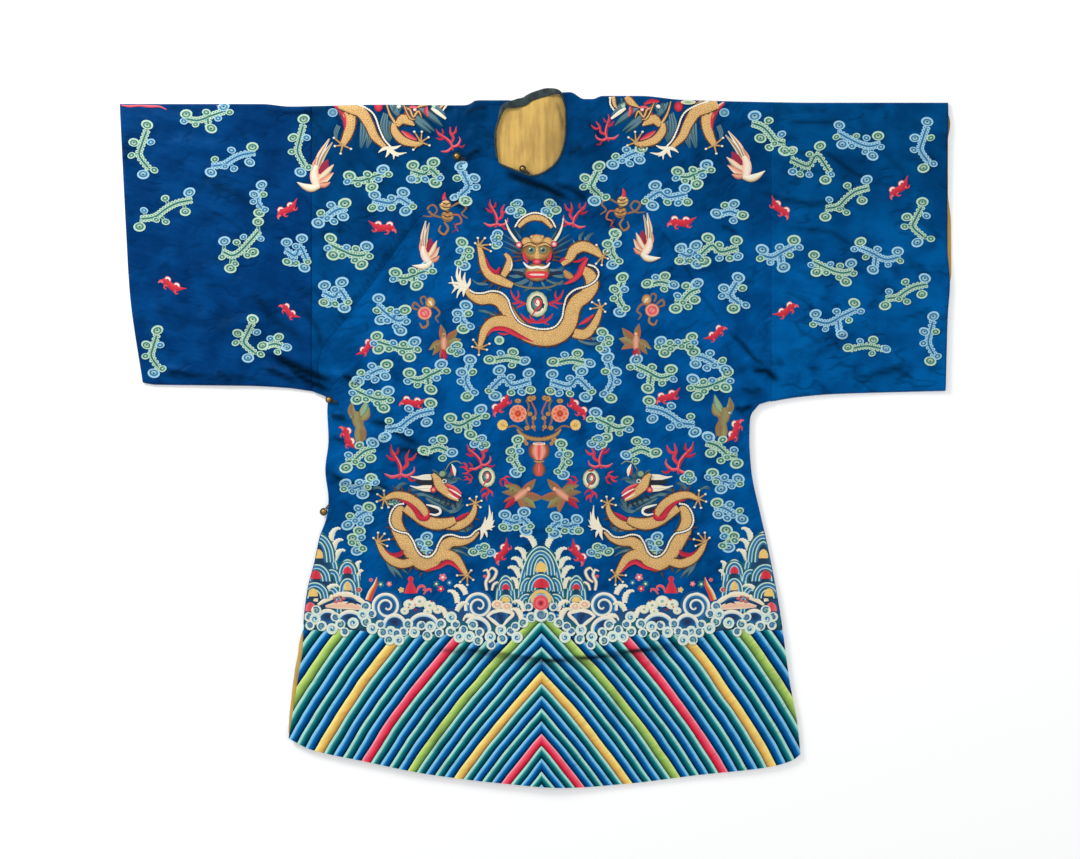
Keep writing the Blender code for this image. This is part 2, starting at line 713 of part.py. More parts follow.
def make_loop(button, look, home):
    """A satin cord that rings the ball and runs back, doubled, over the cloth."""
    centre = rest_height(button) + button.radius
    turn = radians(button.loop_turn)
    half_gap = CORD_RADIUS + SEAM_GAP / 2

    def turned(along, aside):
        return (button.across + along * cos(turn) - aside * sin(turn),
                button.down + along * sin(turn) + aside * cos(turn))

    widest = button.radius + CORD_RADIUS + SEAM_GAP
    crossed = [turned(along, aside) for along in range(-5, 16, 2) for aside in (-5, 0, 5)]
    height = max(cloth_top(*place) for place in crossed) + 2 * SEAM_GAP + CORD_RADIUS
    if button.rest == "lining":
        height += BINDING
    height = min(max(height, centre - button.radius / 2), centre + button.radius)
    ring = sqrt(widest ** 2 - (height - centre) ** 2)
    opening = degrees(atan2(half_gap, ring))
    angles = [mix(opening, 360 - opening, step / 12) for step in range(13)]
    places = [(ring + LOOP_TAIL, half_gap), (ring + 1.5, half_gap)]
    places += [(ring * cos(radians(a)), ring * sin(radians(a))) for a in angles[1:-1]]
    places += [(ring + 1.5, -half_gap), (ring + LOOP_TAIL, -half_gap)]
    curve = bpy.data.curves.new("loop_" + button.name, "CURVE")
    curve.dimensions = "3D"
    curve.bevel_depth = CORD_RADIUS * MM
    curve.bevel_resolution = 1
    curve.use_fill_caps = True
    spline = curve.splines.new("POLY")
    spline.points.add(len(places) - 1)
    for point, (along, aside) in zip(spline.points, places):
        point.co = (*to_frame(*turned(along, aside), height), 1.0)
    made = bpy.data.objects.new("loop_" + button.name, curve)
    home.objects.link(made)
    curve.materials.append(look)
    return made


def main():
    clear_scene()
    home = collection("dragon_robe")
    cutters = collection("cutters")
    blue = material("blue_satin", (0.01, 0.09, 0.30), 0.45)
    yellow = material("yellow_lining", (0.66, 0.46, 0.15), 0.55)
    black = material("black_binding", (0.03, 0.04, 0.05), 0.5)
    brass = material("gilt_brass", (0.75, 0.55, 0.25), 0.35, 1.0)
    make_back("back_left", 1, blue, home)
    make_back("back_right", -1, blue, home)
    make_underlap(blue, home)
    make_left_front(blue, home)
    make_overlap(blue, home)
    make_sleeve("sleeve_left", 1, blue, home, cutters)
    make_sleeve("sleeve_right", -1, blue, home, cutters)
    make_neck_lining(yellow, home)
    make_slit_lining(yellow, home)
    make_cuff_lining(yellow, home)
    make_neck_binding(black, home)
    for button in BUTTONS:
        make_button(button, brass, home)
        make_loop(button, black, home)


main()
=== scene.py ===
# %% [markdown]
# # A Chinese dragon robe, laid out flat
#
# The real robe is cut from widths of blue silk satin, embroidered before it is sewn up, and
# edged and lined by hand. This lesson dresses its plain solids. Each cloth becomes a thin shell
# with soft creases, and every motif is laid on as raised silk and gold thread.

# %% Read the frame
from math import cos, pi, radians, sin

import bmesh
import bpy
import numpy as np
from mathutils import Matrix, Vector
from mathutils.bvhtree import BVHTree


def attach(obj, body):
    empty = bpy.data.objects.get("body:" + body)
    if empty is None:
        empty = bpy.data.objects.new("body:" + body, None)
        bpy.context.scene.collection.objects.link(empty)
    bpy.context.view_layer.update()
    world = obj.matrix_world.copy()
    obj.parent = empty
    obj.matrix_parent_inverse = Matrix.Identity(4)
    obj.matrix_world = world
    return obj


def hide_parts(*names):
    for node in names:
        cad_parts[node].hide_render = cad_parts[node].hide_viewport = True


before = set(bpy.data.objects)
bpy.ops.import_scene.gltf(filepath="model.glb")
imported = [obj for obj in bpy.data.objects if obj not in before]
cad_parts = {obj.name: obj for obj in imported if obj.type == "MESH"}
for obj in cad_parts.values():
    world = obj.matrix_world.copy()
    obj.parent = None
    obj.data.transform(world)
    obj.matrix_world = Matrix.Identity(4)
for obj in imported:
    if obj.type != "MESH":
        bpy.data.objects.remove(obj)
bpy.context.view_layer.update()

MM = 0.001

# %% [markdown]
# ## Camera, floor and light
#
# A robe laid on a table is seen from straight above, so the camera looks down and the robe's
# neck is towards the top of the picture. Satin only shows its folds when light rakes across it.
# One soft light rakes in low from the upper left, a weaker one fills from the right, and a pale
# world keeps the shadows open.

# %% Camera, floor and light
CAMERA_HEIGHT = 3.0
VIEW_WIDTH = 1.728            # metres of floor across the picture
VIEW_CENTRE = (0.0068, 0.0134)
# each light's place, its size in metres and its watts
LIGHTS = {"key_light": ((-1.9, 2.1, 1.25), 0.9, 84), "fill_light": ((1.9, 0.3, 2.2), 2.0, 12)}
WORLD_COLOUR, WORLD_STRENGTH = (0.98, 0.99, 1.0, 1), 0.62
TABLE_HALF = 8.0              # half the width of the white table, metres
TABLE_DROP = 0.2              # it lies this far under the robe, mm


def add_object(name, data):
    made = bpy.data.objects.new(name, data)
    bpy.context.scene.collection.objects.link(made)
    return made


camera_data = bpy.data.cameras.new("camera")
camera_data.sensor_width = 36.0
camera_data.lens = camera_data.sensor_width * CAMERA_HEIGHT / VIEW_WIDTH
camera = add_object("camera", camera_data)
camera.location = (*VIEW_CENTRE, CAMERA_HEIGHT)
bpy.context.scene.camera = camera
bpy.context.scene.view_settings.view_transform = "Standard"


def soft_light(name, place, size, watts):
    """A square area light that faces the middle of the robe."""
    light = bpy.data.lights.new(name, "AREA")
    light.size = size
    light.energy = watts
    made = add_object(name, light)
    made.location = place
    made.rotation_euler = (-Vector(place)).to_track_quat("-Z", "Y").to_euler()


for name, light in LIGHTS.items():
    soft_light(name, *light)
world = bpy.data.worlds.new("pale_room")
bpy.context.scene.world = world
world.use_nodes = True
background = world.node_tree.nodes["Background"]
background.inputs["Color"].default_value = WORLD_COLOUR
background.inputs["Strength"].default_value = WORLD_STRENGTH

floor_bm = bmesh.new()
bmesh.ops.create_grid(floor_bm, x_segments=1, y_segments=1, size=TABLE_HALF,
                      matrix=Matrix.Translation((0, 0, -TABLE_DROP * MM)))
floor_mesh = bpy.data.meshes.new("floor")
floor_bm.to_mesh(floor_mesh)
floor_bm.free()
floor = add_object("floor", floor_mesh)
print("camera lens", round(camera_data.lens, 1), "mm")

# %% [markdown]
# ## Writing materials as sums
#
# A shader is arithmetic on numbers that change over the cloth. Wrapping a node's socket in a
# small class lets that arithmetic be written as Python expressions, and each operator adds its
# Math node. The node method adds any other node: its settings come first, and then its inputs.

# %% Socket class
class Socket:
    """A node's output, with the operators that a pattern needs."""

    def __init__(self, tree, output):
        self.tree, self.output = tree, output

    def node(self, kind, settings=None, **inputs):
        """Adds a node and returns it. Inputs go by name, with _ for a space."""
        made = self.tree.nodes.new("ShaderNode" + kind)
        for name, value in (settings or {}).items():
            setattr(made, name, value)
        for name, value in inputs.items():
            numbered = name[0] == "i" and name[1:].isdigit()
            socket = made.inputs[int(name[1:]) if numbered else name.replace("_", " ")]
            if isinstance(value, Socket):
                self.tree.links.new(value.output, socket)
            else:
                socket.default_value = value
        return made

    def of(self, made, output=0):
        return Socket(self.tree, made.outputs[output])

    def math(self, operation, *values):
        inputs = {f"i{i}": value for i, value in enumerate((self, *values))}
        return self.of(self.node("Math", {"operation": operation}, **inputs))

    def __add__(self, other):
        return self.math("ADD", other)

    def __sub__(self, other):
        return self.math("SUBTRACT", other)

    def __mul__(self, other):
        return self.math("MULTIPLY", other)

    def __truediv__(self, other):
        return self.math("DIVIDE", other)

    def __rsub__(self, other):
        return self.of(self.node("Math", {"operation": "SUBTRACT"}, i0=other, i1=self))

    __radd__ = __add__
    __rmul__ = __mul__

    def step(self, low, high):
        """0 below low, 1 above high, smooth between."""
        return self.of(self.node("MapRange", {"interpolation_type": "SMOOTHSTEP"}, Value=self,
                                 From_Min=low, From_Max=high))

    def ramp(self, *stops):
        """Reads colours along the value: (place, (r, g, b)) stops."""
        made = self.node("ValToRGB", Fac=self)
        made.color_ramp.interpolation = "LINEAR"
        for i, (place, colour) in enumerate(stops):
            if i < 2:
                stop = made.color_ramp.elements[i]
                stop.position = place
            else:
                stop = made.color_ramp.elements.new(place)
            stop.color = (*linear(colour), 1)
        return self.of(made)

    def blend(self, first, second):
        """Goes from the first colour to the second as the value goes from 0 to 1."""
        return self.of(self.node("Mix", {"data_type": "RGBA", "blend_type": "MIX"}, i0=self,
                                 i6=first, i7=second), 2)

    def scaled(self, by):
        """A colour or a place, times a number."""
        return self.of(self.node("VectorMath", {"operation": "SCALE"}, i0=self, Scale=by))

    def attribute(self, name):
        """A number that each point of the mesh carries."""
        return self.of(self.node("Attribute", {"attribute_name": name}), 2)

    def feed(self, shader, **inputs):
        """Links a value to each named input of the shader."""
        for name, value in inputs.items():
            self.tree.links.new(value.output, shader.inputs[name.replace("_", " ")])


def linear(colour):
    """A colour as a painter picks it, 0 to 255, turned into amounts of light."""
    return tuple(((c / 255 + 0.055) / 1.055) ** 2.4 if c > 10.3 else c / 255 / 12.92
                 for c in colour)


def mix_of(first, second):
    """The two colours of a blend, as painters pick them."""
    return (*linear(first), 1), (*linear(second), 1)


def finish_of(name, **values):
    """A new material with its shader's values, and its first socket, the place in mm."""
    made = bpy.data.materials.new(name)
    made.use_nodes = True
    tree = made.node_tree
    shader = tree.nodes["Principled BSDF"]
    place = tree.nodes.new("ShaderNodeTexCoord")
    for key, value in values.items():
        shader.inputs[key.replace("_", " ")].default_value = value
    return made, shader, Socket(tree, place.outputs["Object"]).scaled(1 / MM)


def bump(height):
    """A Bump node whose height is in mm."""
    return height.of(height.node("Bump", Height=height, Distance=MM))


floor_look, shader, place = finish_of(
    "white_table", Base_Color=(0.86, 0.86, 0.86, 1), Roughness=0.9,
    Emission_Color=(1, 1, 1, 1), Emission_Strength=0.2)
floor_mesh.materials.append(floor_look)
print("1 - x and x * y now add their own nodes")

# %% [markdown]
# ## The robe's own measure
#
# A maker marks a robe from its centre seam and its shoulder fold. Here a place is "across", in
# millimetres from the centre seam towards the wearer's left sleeve, and "down", below the
# shoulder line. The edges are short tables of such places, read smoothly, so every piece that
# shares an edge fits its neighbour.

# %% Edges of the cut pieces
SEAM_X = 9.2                 # the centre seam, right of the frame's origin
SHOULDER_Y = 535.0           # the shoulder line, above it
TOP_EDGE = [(-674, 1), (-447, 1), (-402, 5), (-351, 4), (-255, 2), (-127, 3), (-117, 2),
            (-104, -5), (-50, -5), (29, -17), (46, -18), (68, -7), (82, -7), (97, -12),
            (158, -12), (222, -6), (318, -3), (446, -1), (650, -1)]
HEM = [(-407, 1013), (-367, 1033), (-290, 1050), (-175, 1073), (-60, 1087), (36, 1094),
       (132, 1088), (247, 1074), (362, 1061), (401, 1050), (414, 1040)]
SIDE_RIGHT = [(-366.8, 461), (-352, 465), (-341, 474), (-342, 490), (-340, 538), (-345, 586),
              (-340, 634), (-342.5, 660), (-347, 674), (-354, 692), (-362, 730), (-374, 778),
              (-380, 830), (-381, 868), (-387, 908), (-397, 973), (-404, 1016)]
SIDE_LEFT = [(366.8, 477), (353, 479), (341, 487), (333, 506), (332, 538), (335, 586),
             (350, 658), (361, 706), (375, 778), (383, 826), (396, 922), (409, 994),
             (414, 1042)]
FLAP_EDGE = [(-124, 90), (-121, 127), (-151, 151), (-183, 172), (-210, 204), (-240, 247),
             (-273, 293), (-313, 346), (-352, 400), (-356, 425), (-352, 452), (-341, 474)]
FLAP_TOP = [(-124, 90), (-109, 91), (-95, 87), (-80, 90), (-67, 96), (-48, 104), (-29, 111),
            (-17, 115), (-5, 113.5), (0, 112)]
NECK_LEFT = [(29.6, -17), (33, -6), (36.8, 7), (37.6, 32), (36, 59), (29.6, 82), (21, 96),
             (9, 106.5), (0.15, 112)]
NECK_RIGHT = [(-50, -5), (-62, 8), (-67, 28), (-72, 46), (-72, 66), (-70, 84), (-66, 106),
              (-40, 122), (-15, 131), (-9, 150), (-9, 1085)]
CUFF_LEFT = [(650, -1), (650, 40), (648.5, 60), (648.5, 230), (652.5, 288), (649, 340),
             (645.6, 460)]
CUFF_RIGHT = [(-674, 1), (-670, 80), (-664, 200), (-658, 300), (-637, 447)]
UNDER_RIGHT = [(-637, 447), (-617, 450), (-543, 451), (-466, 452), (-409, 455), (-367, 460.5)]
UNDER_LEFT = [(367, 477), (410, 470), (468, 465), (583, 461.5), (646, 460)]
BACK_NECK = [(-52, 1), (-46, -2), (-31, -9), (-14, -16), (2, -22), (12, -23), (20, -18),
             (26, -10)]
SLIT_EDGE = [(838, 0.0), (868, 7.0), (905, 7.5), (950, 6.5), (1000, 3.0), (1013, 0.0)]
SLEEVE_SEAM = 367.0


def reading(table, swap=False):
    """A function that reads a table's second column at any value of its first."""
    rows = sorted((b, a) if swap else (a, b) for a, b in table)
    keys, values = np.array(rows, float).T
    slopes = np.diff(values) / np.diff(keys)
    turn = np.concatenate([slopes[:1], np.zeros(len(keys) - 2), slopes[-1:]])
    for i in range(1, len(keys) - 1):
        if slopes[i - 1] * slopes[i] > 0:
            turn[i] = 2 * slopes[i - 1] * slopes[i] / (slopes[i - 1] + slopes[i])

    def read(at):
        at = np.clip(at, keys[0], keys[-1])
        i = np.clip(np.searchsorted(keys, at, side="right") - 1, 0, len(keys) - 2)
        span = keys[i + 1] - keys[i]
        t = (at - keys[i]) / span
        return (values[i] * (1 + 2 * t) * (1 - t) ** 2 + values[i + 1] * t * t * (3 - 2 * t)
                + span * (turn[i] * t * (1 - t) ** 2 + turn[i + 1] * t * t * (t - 1)))
    return read


top_edge, hem = reading(TOP_EDGE), reading(HEM)
side_right, side_left = reading(SIDE_RIGHT, True), reading(SIDE_LEFT, True)
flap_edge, flap_top = reading(FLAP_EDGE, True), reading(FLAP_TOP)
cuff_left, cuff_right = reading(CUFF_LEFT, True), reading(CUFF_RIGHT, True)
under_left, under_right = reading(UNDER_LEFT), reading(UNDER_RIGHT)
print("spread", round(float(cuff_left(0) - cuff_right(0))), "mm, length",
      round(float(hem(0) - top_edge(0))), "mm")

# %% [markdown]
# ## How high the cloth lies
#
# A laid-out robe is a stack: the back on the table, the left front and the underlap on it, and
# the overlap on top. Folds lift the upper cloths: each is a path with a height and a width on
# either side. A crease is a sharper one, with raised cloth on both sides of a hollow that is
# painted darker, a painted shade. Every layer adds up the same folds and creases, so the layers
# never cross.

# %% Levels and folds
WALL = 1.6
BACK_TOP = WALL
BACK_BOTTOM = 0.3             # leaves room for the stitching below
FIRST = WALL + 0.5            # underside of the cloth that lies on the back
OVERLAP = FIRST + WALL + 0.4
FOLD_ROLL = 4.0
NECK_RISE = 1.2
NECK_OVAL = (-16, 52), (74, 82)   # its middle, and its half width and half height
FLAP_COVER = 16.0
UNDERARM = 440                # the side seams start about here
SEAM_RAMP = 70.0
WAVES_FROM = 30.0             # the cloth's slow waves reach full height this far down
HOLLOW = 0.3                  # a crease's hollow takes up this share of its reach

# path, height, width before and after it
FOLDS = [
    ([(-200, 868), (-97, 879), (0, 892), (78, 889), (153, 876), (294, 855)], 4.5, 60, 9),
    ([(-57, 122), (10, 152), (94, 178)], 5.0, 15, 15),
    ([(20, 124), (60, 134), (110, 136)], 4.0, 13, 13),
    ([(-144, 20), (-80, 14)], 3.0, 11, 11),
    ([(-134, 70), (-98, 40)], 3.0, 12, 12),
    ([(46, 84), (100, 56)], 3.5, 14, 14),
    ([(-604, 424), (-553, 432)], 3.0, 11, 11),
    ([(-446, 392), (-376, 418)], 6.0, 13, 13),
    ([(-446, 421), (-380, 440)], 5.0, 11, 11),
    ([(-334, 434), (-286, 444)], 4.0, 12, 12),
    ([(322, 404), (398, 444)], 5.0, 14, 14),
    ([(304, 456), (350, 462)], 4.0, 13, 13),
    ([(-334, 500), (-300, 506)], 3.0, 12, 12),
    ([(-290, 512), (-190, 567)], 6.0, 17, 17),
    ([(-336, 596), (-300, 604), (-242, 622)], 4.5, 15, 15),
    ([(174, 183), (214, 233), (254, 303), (300, 362)], 2.5, 12, 12),
    ([(359, 73), (434, 98)], 3.5, 14, 14),
    ([(372, 146), (440, 164)], 3.5, 14, 14),
    ([(375, 404), (440, 392), (526, 340)], 4.5, 16, 16),
    ([(500, 436), (590, 414)], 3.5, 14, 14),
    ([(-560, 250), (-470, 300)], 3.0, 20, 20),
    ([(-600, 60), (-500, 78)], 3.0, 18, 18),
    ([(-560, 380), (-480, 352), (-420, 350)], 3.0, 18, 18),
    ([(560, 60), (610, 96)], 2.5, 16, 16),
    ([(452, 250), (540, 236)], 2.5, 16, 16),
    ([(-250, 700), (-130, 740)], 2.5, 22, 22),
    ([(120, 560), (190, 660)], 2.5, 22, 22),
    ([(250, 520), (322, 560)], 3.0, 17, 17)]
print(len(FOLDS), "folds, the highest", max(fold[1] for fold in FOLDS), "mm")

# %% Creases
STEP = 1.6                    # one step of the chart, mm
CHART_SEAM, CHART_SHOULDER = 541.5, 103.5
# in chart steps: path, height of the cloth beside it (mm), its reach (mm), and the darkness
# of the painted shade in its hollow
CREASES = [
    ([(501, 171), (521, 180), (547, 189), (578, 205)], 3.4, 15, .95),
    ([(548, 184), (572, 190), (592, 204)], 2.4, 12, .5),
    ([(447, 196), (458, 204), (472, 211)], 2.6, 11, .9),
    ([(464, 162), (474, 154), (484, 147)], 2.0, 9, .8),
    ([(462, 112), (476, 110), (490, 108)], 1.6, 9, .7),
    ([(603, 214), (614, 226), (624, 242)], 2.2, 12, .5),
    ([(566, 156), (575, 151), (584, 147)], 1.8, 9, .6),
    ([(584, 120), (597, 132), (604, 150)], 2.0, 11, .45),
    ([(650, 218), (675, 249), (700, 293), (726, 330)], 1.4, 7, .3),
    ([(726, 330), (742, 344), (754, 359), (767, 367)], 2.8, 9, .6),
    ([(749, 370), (766, 371), (779, 382)], 3.0, 12, .8),
    ([(733, 408), (742, 410), (753, 405)], 2.6, 10, .85),
    ([(738, 388), (752, 392), (764, 388)], 2.2, 10, .5),
    ([(430, 204), (396, 247), (356, 300), (320, 357)], 1.2, 8, .28),
    ([(420, 211), (382, 263), (350, 305), (318, 342)], 1.2, 8, .28),
    ([(271, 355), (300, 369), (337, 384)], 4.0, 15, .95),
    ([(285, 364), (306, 380), (334, 392)], 3.4, 11, .9),
    ([(262, 366), (284, 376), (300, 384)], 2.4, 10, .6),
    ([(342, 375), (352, 379), (366, 382)], 2.6, 11, .9),
    ([(330, 416), (338, 417), (349, 419)], 2.6, 11, .9),
    ([(332, 437), (342, 441), (356, 445)], 2.2, 10, .6),
    ([(364, 420), (384, 424), (406, 438), (424, 448)], 2.8, 13, .6),
    ([(396, 447), (416, 452), (436, 462)], 2.6, 12, .6),
    ([(328, 472), (349, 483), (382, 493)], 2.8, 12, .75),
    ([(370, 487), (380, 486), (392, 490)], 2.0, 9, .5),
    ([(417, 645), (446, 649), (481, 651), (520, 657), (545, 660), (590, 657), (637, 650),
      (672, 645), (725, 638)], 1.6, 8, .9),
    ([(567, 675), (574, 686), (583, 698)], 2.0, 9, .45),
    ([(164, 371), (180, 373), (197, 377)], 2.6, 12, .5),
    ([(215, 372), (224, 376), (234, 382)], 2.6, 12, .6),
    ([(150, 377), (185, 374), (212, 378), (240, 377), (268, 382)], 1.6, 6, .5),
    ([(262, 108), (285, 112), (310, 113), (330, 110)], 1.4, 6, .45),
    ([(150, 300), (190, 322), (240, 330)], 1.4, 18, .15),
    ([(196, 178), (240, 196), (282, 232)], 1.6, 20, .25),
    ([(250, 290), (276, 322), (310, 344)], 2.2, 18, .35),
    ([(300, 300), (318, 330), (322, 350)], 1.8, 14, .35),
    ([(783, 122), (815, 123), (847, 121)], 2.0, 9, .4),
    ([(777, 153), (827, 154), (853, 173), (873, 183)], 2.2, 10, .45),
    ([(753, 190), (780, 199), (810, 205), (853, 200)], 2.2, 10, .45),
    ([(873, 288), (890, 290), (905, 296)], 2.0, 10, .35),
    ([(897, 320), (915, 315), (933, 307)], 2.0, 10, .35),
    ([(719, 227), (728, 229), (739, 235)], 2.0, 10, .5),
    ([(776, 357), (801, 350), (838, 331), (871, 315)], 2.2, 12, .25),
    ([(853, 379), (880, 373), (908, 366)], 2.2, 12, .4),
    ([(800, 227), (833, 233), (857, 250)], 1.8, 11, .35),
    ([(880, 150), (902, 172), (912, 206)], 1.4, 15, .2),
    ([(800, 270), (822, 277), (850, 281)], 1.6, 11, .25),
    ([(610, 640), (618, 690), (612, 740)], 1.2, 18, .15),
    ([(430, 680), (440, 720), (436, 760)], 1.2, 18, .15),
    ([(690, 520), (700, 560), (690, 600)], 1.4, 16, .2),
    ([(440, 300), (446, 330), (440, 352)], 1.4, 13, .2)]
print(len(CREASES), "creases, the highest", max(crease[1] for crease in CREASES), "mm")


# %% Relief of the cloth
def ease(t):
    """0 up to 0 and 1 from 1, with a soft start and end."""
    t = np.clip(t, 0.0, 1.0)
    return t * t * (3 - 2 * t)


def near_path(path, a, d):
    """Signed distance of places from a path, and how far along it, 0 to 1."""
    best = np.full(np.shape(a), 1e9)
    side, share = np.zeros(np.shape(a)), np.zeros(np.shape(a))
    for i, ((a0, d0), (a1, d1)) in enumerate(zip(path, path[1:])):
        run, fall = a1 - a0, d1 - d0
        t = np.clip(((a - a0) * run + (d - d0) * fall) / (run * run + fall * fall), 0, 1)
        off_a, off_d = a - a0 - t * run, d - d0 - t * fall
        far = np.hypot(off_a, off_d)
        closer = far < best
        best = np.where(closer, far, best)
        side = np.where(closer, np.where(run * off_d - fall * off_a > 0, 1, -1), side)
        share = np.where(closer, (i + t) / (len(path) - 1), share)
    return best * side, share


def box_round(path, wide, a, d):
    """Which places lie in the box round a path, widened by so many mm."""
    low, high = np.min(path, axis=0) - wide, np.max(path, axis=0) + wide
    return (a > low[0]) & (a < high[0]) & (d > low[1]) & (d < high[1])


def tapered(along):
    """1 along a path, and less towards its two ends."""
    return ease(np.minimum(along, 1 - along) * 4)


def fold_lift(a, d):
    """How high the folds lift the cloth, in mm."""
    lift = np.zeros(np.shape(a))
    for path, height, before, after in FOLDS:
        near = box_round(path, max(before, after), a, d)
        if not near.any():
            continue
        off, along = near_path(path, a[near], d[near])
        width = np.where(off > 0, after, before)
        hump = height * tapered(along) * np.cos(off / width * pi / 2) ** 2
        lift[near] = np.maximum(lift[near], np.where(np.abs(off) < width, hump, 0))
    return lift


def crease_field(a, d, creases=CREASES):
    """How high the creased cloth stands here, in mm, and how much shade is painted into its
    hollows.
    """
    lift, dark = np.zeros(np.shape(a)), np.zeros(np.shape(a))
    for path, height, wide, depth in creases:
        path = [((x - CHART_SEAM) * STEP, (y - CHART_SHOULDER) * STEP) for x, y in path]
        near = box_round(path, wide, a, d)
        if not near.any():
            continue
        off, along = near_path(path, a[near], d[near])
        share = np.clip(np.abs(off) / wide, 0, 1)
        ends = tapered(along)
        valley = np.exp(-(share / HOLLOW) ** 2)
        lift[near] = np.maximum(lift[near], height * ends * np.cos(share * pi / 2) ** 2
                                * (1 - 0.92 * valley))
        # painted shade: deepest in the hollow, with a soft spread out to the crease's reach
        shadow = valley * 0.75 + np.exp(-(share / 0.7) ** 2) * 0.25
        dark[near] = np.maximum(dark[near], depth * ends * shadow)
    return lift, dark


def ripple(a, d):
    """Slow waves of a cloth that does not lie quite flat, in mm."""
    wave = np.sin(a / 47 + 1.4 * np.sin(d / 83)) + np.sin(d / 61 + 1.7 * np.sin(a / 97 + 2))
    fine = np.sin((a + d) / 23 + 2.1 * np.sin(d / 41)) * 0.25
    return 0.55 * (2.25 + wave + fine) * ease(d / WAVES_FROM)


def relief(a, d):
    """Folds, creases and waves together."""
    return np.maximum(fold_lift(a, d), crease_field(a, d)[0]) + ripple(a, d)


print("relief at the middle of the chest",
      round(float(relief(np.zeros(1), np.full(1, 300.0))[0]), 2), "mm")


# %% The level of each cloth
def neck_lift(a, d):
    """The cloth stands a little higher round the neck, in an oval that fades outwards."""
    (middle_a, middle_d), (wide, high) = NECK_OVAL
    far = np.hypot((a - middle_a) / wide, (d - middle_d) / high)
    return NECK_RISE * (1 - ease((far - 1.25) / 0.6))


def first_level(a, d):
    """Underside of the left front and the sleeves' upper cloth."""
    centre = np.where(a > 0, (OVERLAP - FIRST) * (1 - ease(a / SEAM_RAMP)), 0)
    return FIRST + neck_lift(a, d) + centre + relief(a, d)


def under_level(a, d):
    """Underside of the underlap, whose folds die out below the flap."""
    off, _ = near_path(FLAP_EDGE, a, d)
    hidden = ease(0.5 - off / FLAP_COVER)
    hidden = np.where(a > FLAP_TOP[0][0], ease((d - flap_top(a)) / FLAP_COVER), hidden)
    hidden = np.maximum(hidden, ease((d - UNDERARM) / 15))
    waves = ripple(a, d)
    return FIRST + neck_lift(a, d) + waves + (relief(a, d) - waves) * (1 - hidden)


def overlap_level(a, d):
    return OVERLAP + neck_lift(a, d) + relief(a, d)


def rolled(height, depth):
    """The height of a cloth where it turns over at a pressed fold, depth mm in from it."""
    t = 1 - np.clip(depth, 0, FOLD_ROLL) / FOLD_ROLL
    return height * (0.35 + 0.65 * np.sqrt(1 - t * t))


print("undersides: first cloth", FIRST, "mm, overlap", round(OVERLAP, 1), "mm")

# %% [markdown]
# ## Cutting a cloth
#
# Each cut piece starts as one grid. Its corners are pulled to the piece's four edges, it is
# lifted to its level, and extruding the whole face region gives the wall. The grid is dense, so
# that creases shade softly. The faces that will carry embroidery are kept in a list, for later.

# %% Cloth helpers
ROLLS = [0.0, 0.8, 2.0, 3.4]  # rows of a grid near a pressed fold, mm in from it
TRIES = 8                     # so often a row's place is read again from a slanting edge
FOLD_ANGLE = 0.7              # edges that bend more than this, in radians, look sharp
carrying = []                 # the top faces of the cloths: (points in metres, faces)


def to_frame(a, d, h):
    """Places across, down and up, in mm, as points of the frame."""
    return np.stack([(SEAM_X + a) * MM, (SHOULDER_Y - d) * MM, h * MM + 0 * a], axis=-1)


def cell_shares(cells, roll_first=False, roll_last=False):
    """Rows from 0 to 1 with an offset in mm, closer together at a pressed fold."""
    even = [(i / cells, 0.0) for i in range(cells + 1)]
    if roll_first:
        even = [(0.0, depth) for depth in ROLLS] + even[1:]
    if roll_last:
        even = even[:-1] + [(1.0, -depth) for depth in ROLLS[::-1]]
    return np.array(even)


def cut_cloth(columns, rows, place, top, bottom, creases=CREASES):
    """A closed wall of cloth from a grid, with its top faces facing up."""
    bm = bmesh.new()
    across_cells, down_cells = len(columns) - 1, len(rows) - 1
    # each point carries the shade painted into the hollows of creases
    hollow_shade = bm.verts.layers.float.new("crease")
    bmesh.ops.create_grid(bm, x_segments=across_cells, y_segments=down_cells, size=0.5)
    grid = np.array([v.co[:2] for v in bm.verts]) + 0.5
    column = np.rint(grid[:, 0] * across_cells).astype(int)
    row = np.rint(grid[:, 1] * down_cells).astype(int)
    a, d = place(columns[column], rows[row, 0], rows[row, 1])
    for vert, *at in zip(bm.verts, a, d):
        vert.co = (*at, 0)
    upper = to_frame(a, d, top(a, d))
    carrying.append((upper, [[v.index for v in face.verts] for face in bm.faces]))
    lower = bm.verts[:]
    raised = bmesh.ops.extrude_face_region(bm, geom=bm.faces[:], use_keep_orig=True)
    raised = [item for item in raised["geom"] if isinstance(item, bmesh.types.BMVert)]
    for verts, level in ((lower, bottom), (raised, top)):
        a, d = np.array([v.co[:2] for v in verts]).T
        darks = crease_field(a, d, creases)[1]
        for vert, at, dark in zip(verts, to_frame(a, d, level(a, d)), darks):
            vert.co, vert[hollow_shade] = at, dark
    bmesh.ops.recalc_face_normals(bm, faces=bm.faces[:])
    return bm


def finish_piece(name, bm, look, replaces):
    """Turns a bmesh into a named piece of the robe."""
    mesh = bpy.data.meshes.new(name)
    bm.to_mesh(mesh)
    bm.free()
    made = add_object(name, mesh)
    mesh.materials.append(look)
    mesh.shade_smooth()
    mesh.set_sharp_from_angle(angle=FOLD_ANGLE)
    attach(made, "root")
    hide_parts(*replaces)
    return made


def between(left, right, top, low):
    """Places a grid between four edges. The side edges are read where each row meets them."""
    def place(column, share, offset):
        def corner(edge):
            a = edge(np.full(share.shape, 300.0))
            for _ in range(TRIES):
                a = edge(top(a) * (1 - share) + low(a) * share + offset)
            return a
        a = corner(left) * (1 - column) + corner(right) * column
        return a, top(a) * (1 - share) + low(a) * share + offset
    return place


def even(cells):
    return np.linspace(0, 1, cells + 1)


print("rows near a fold", ROLLS, "mm in")

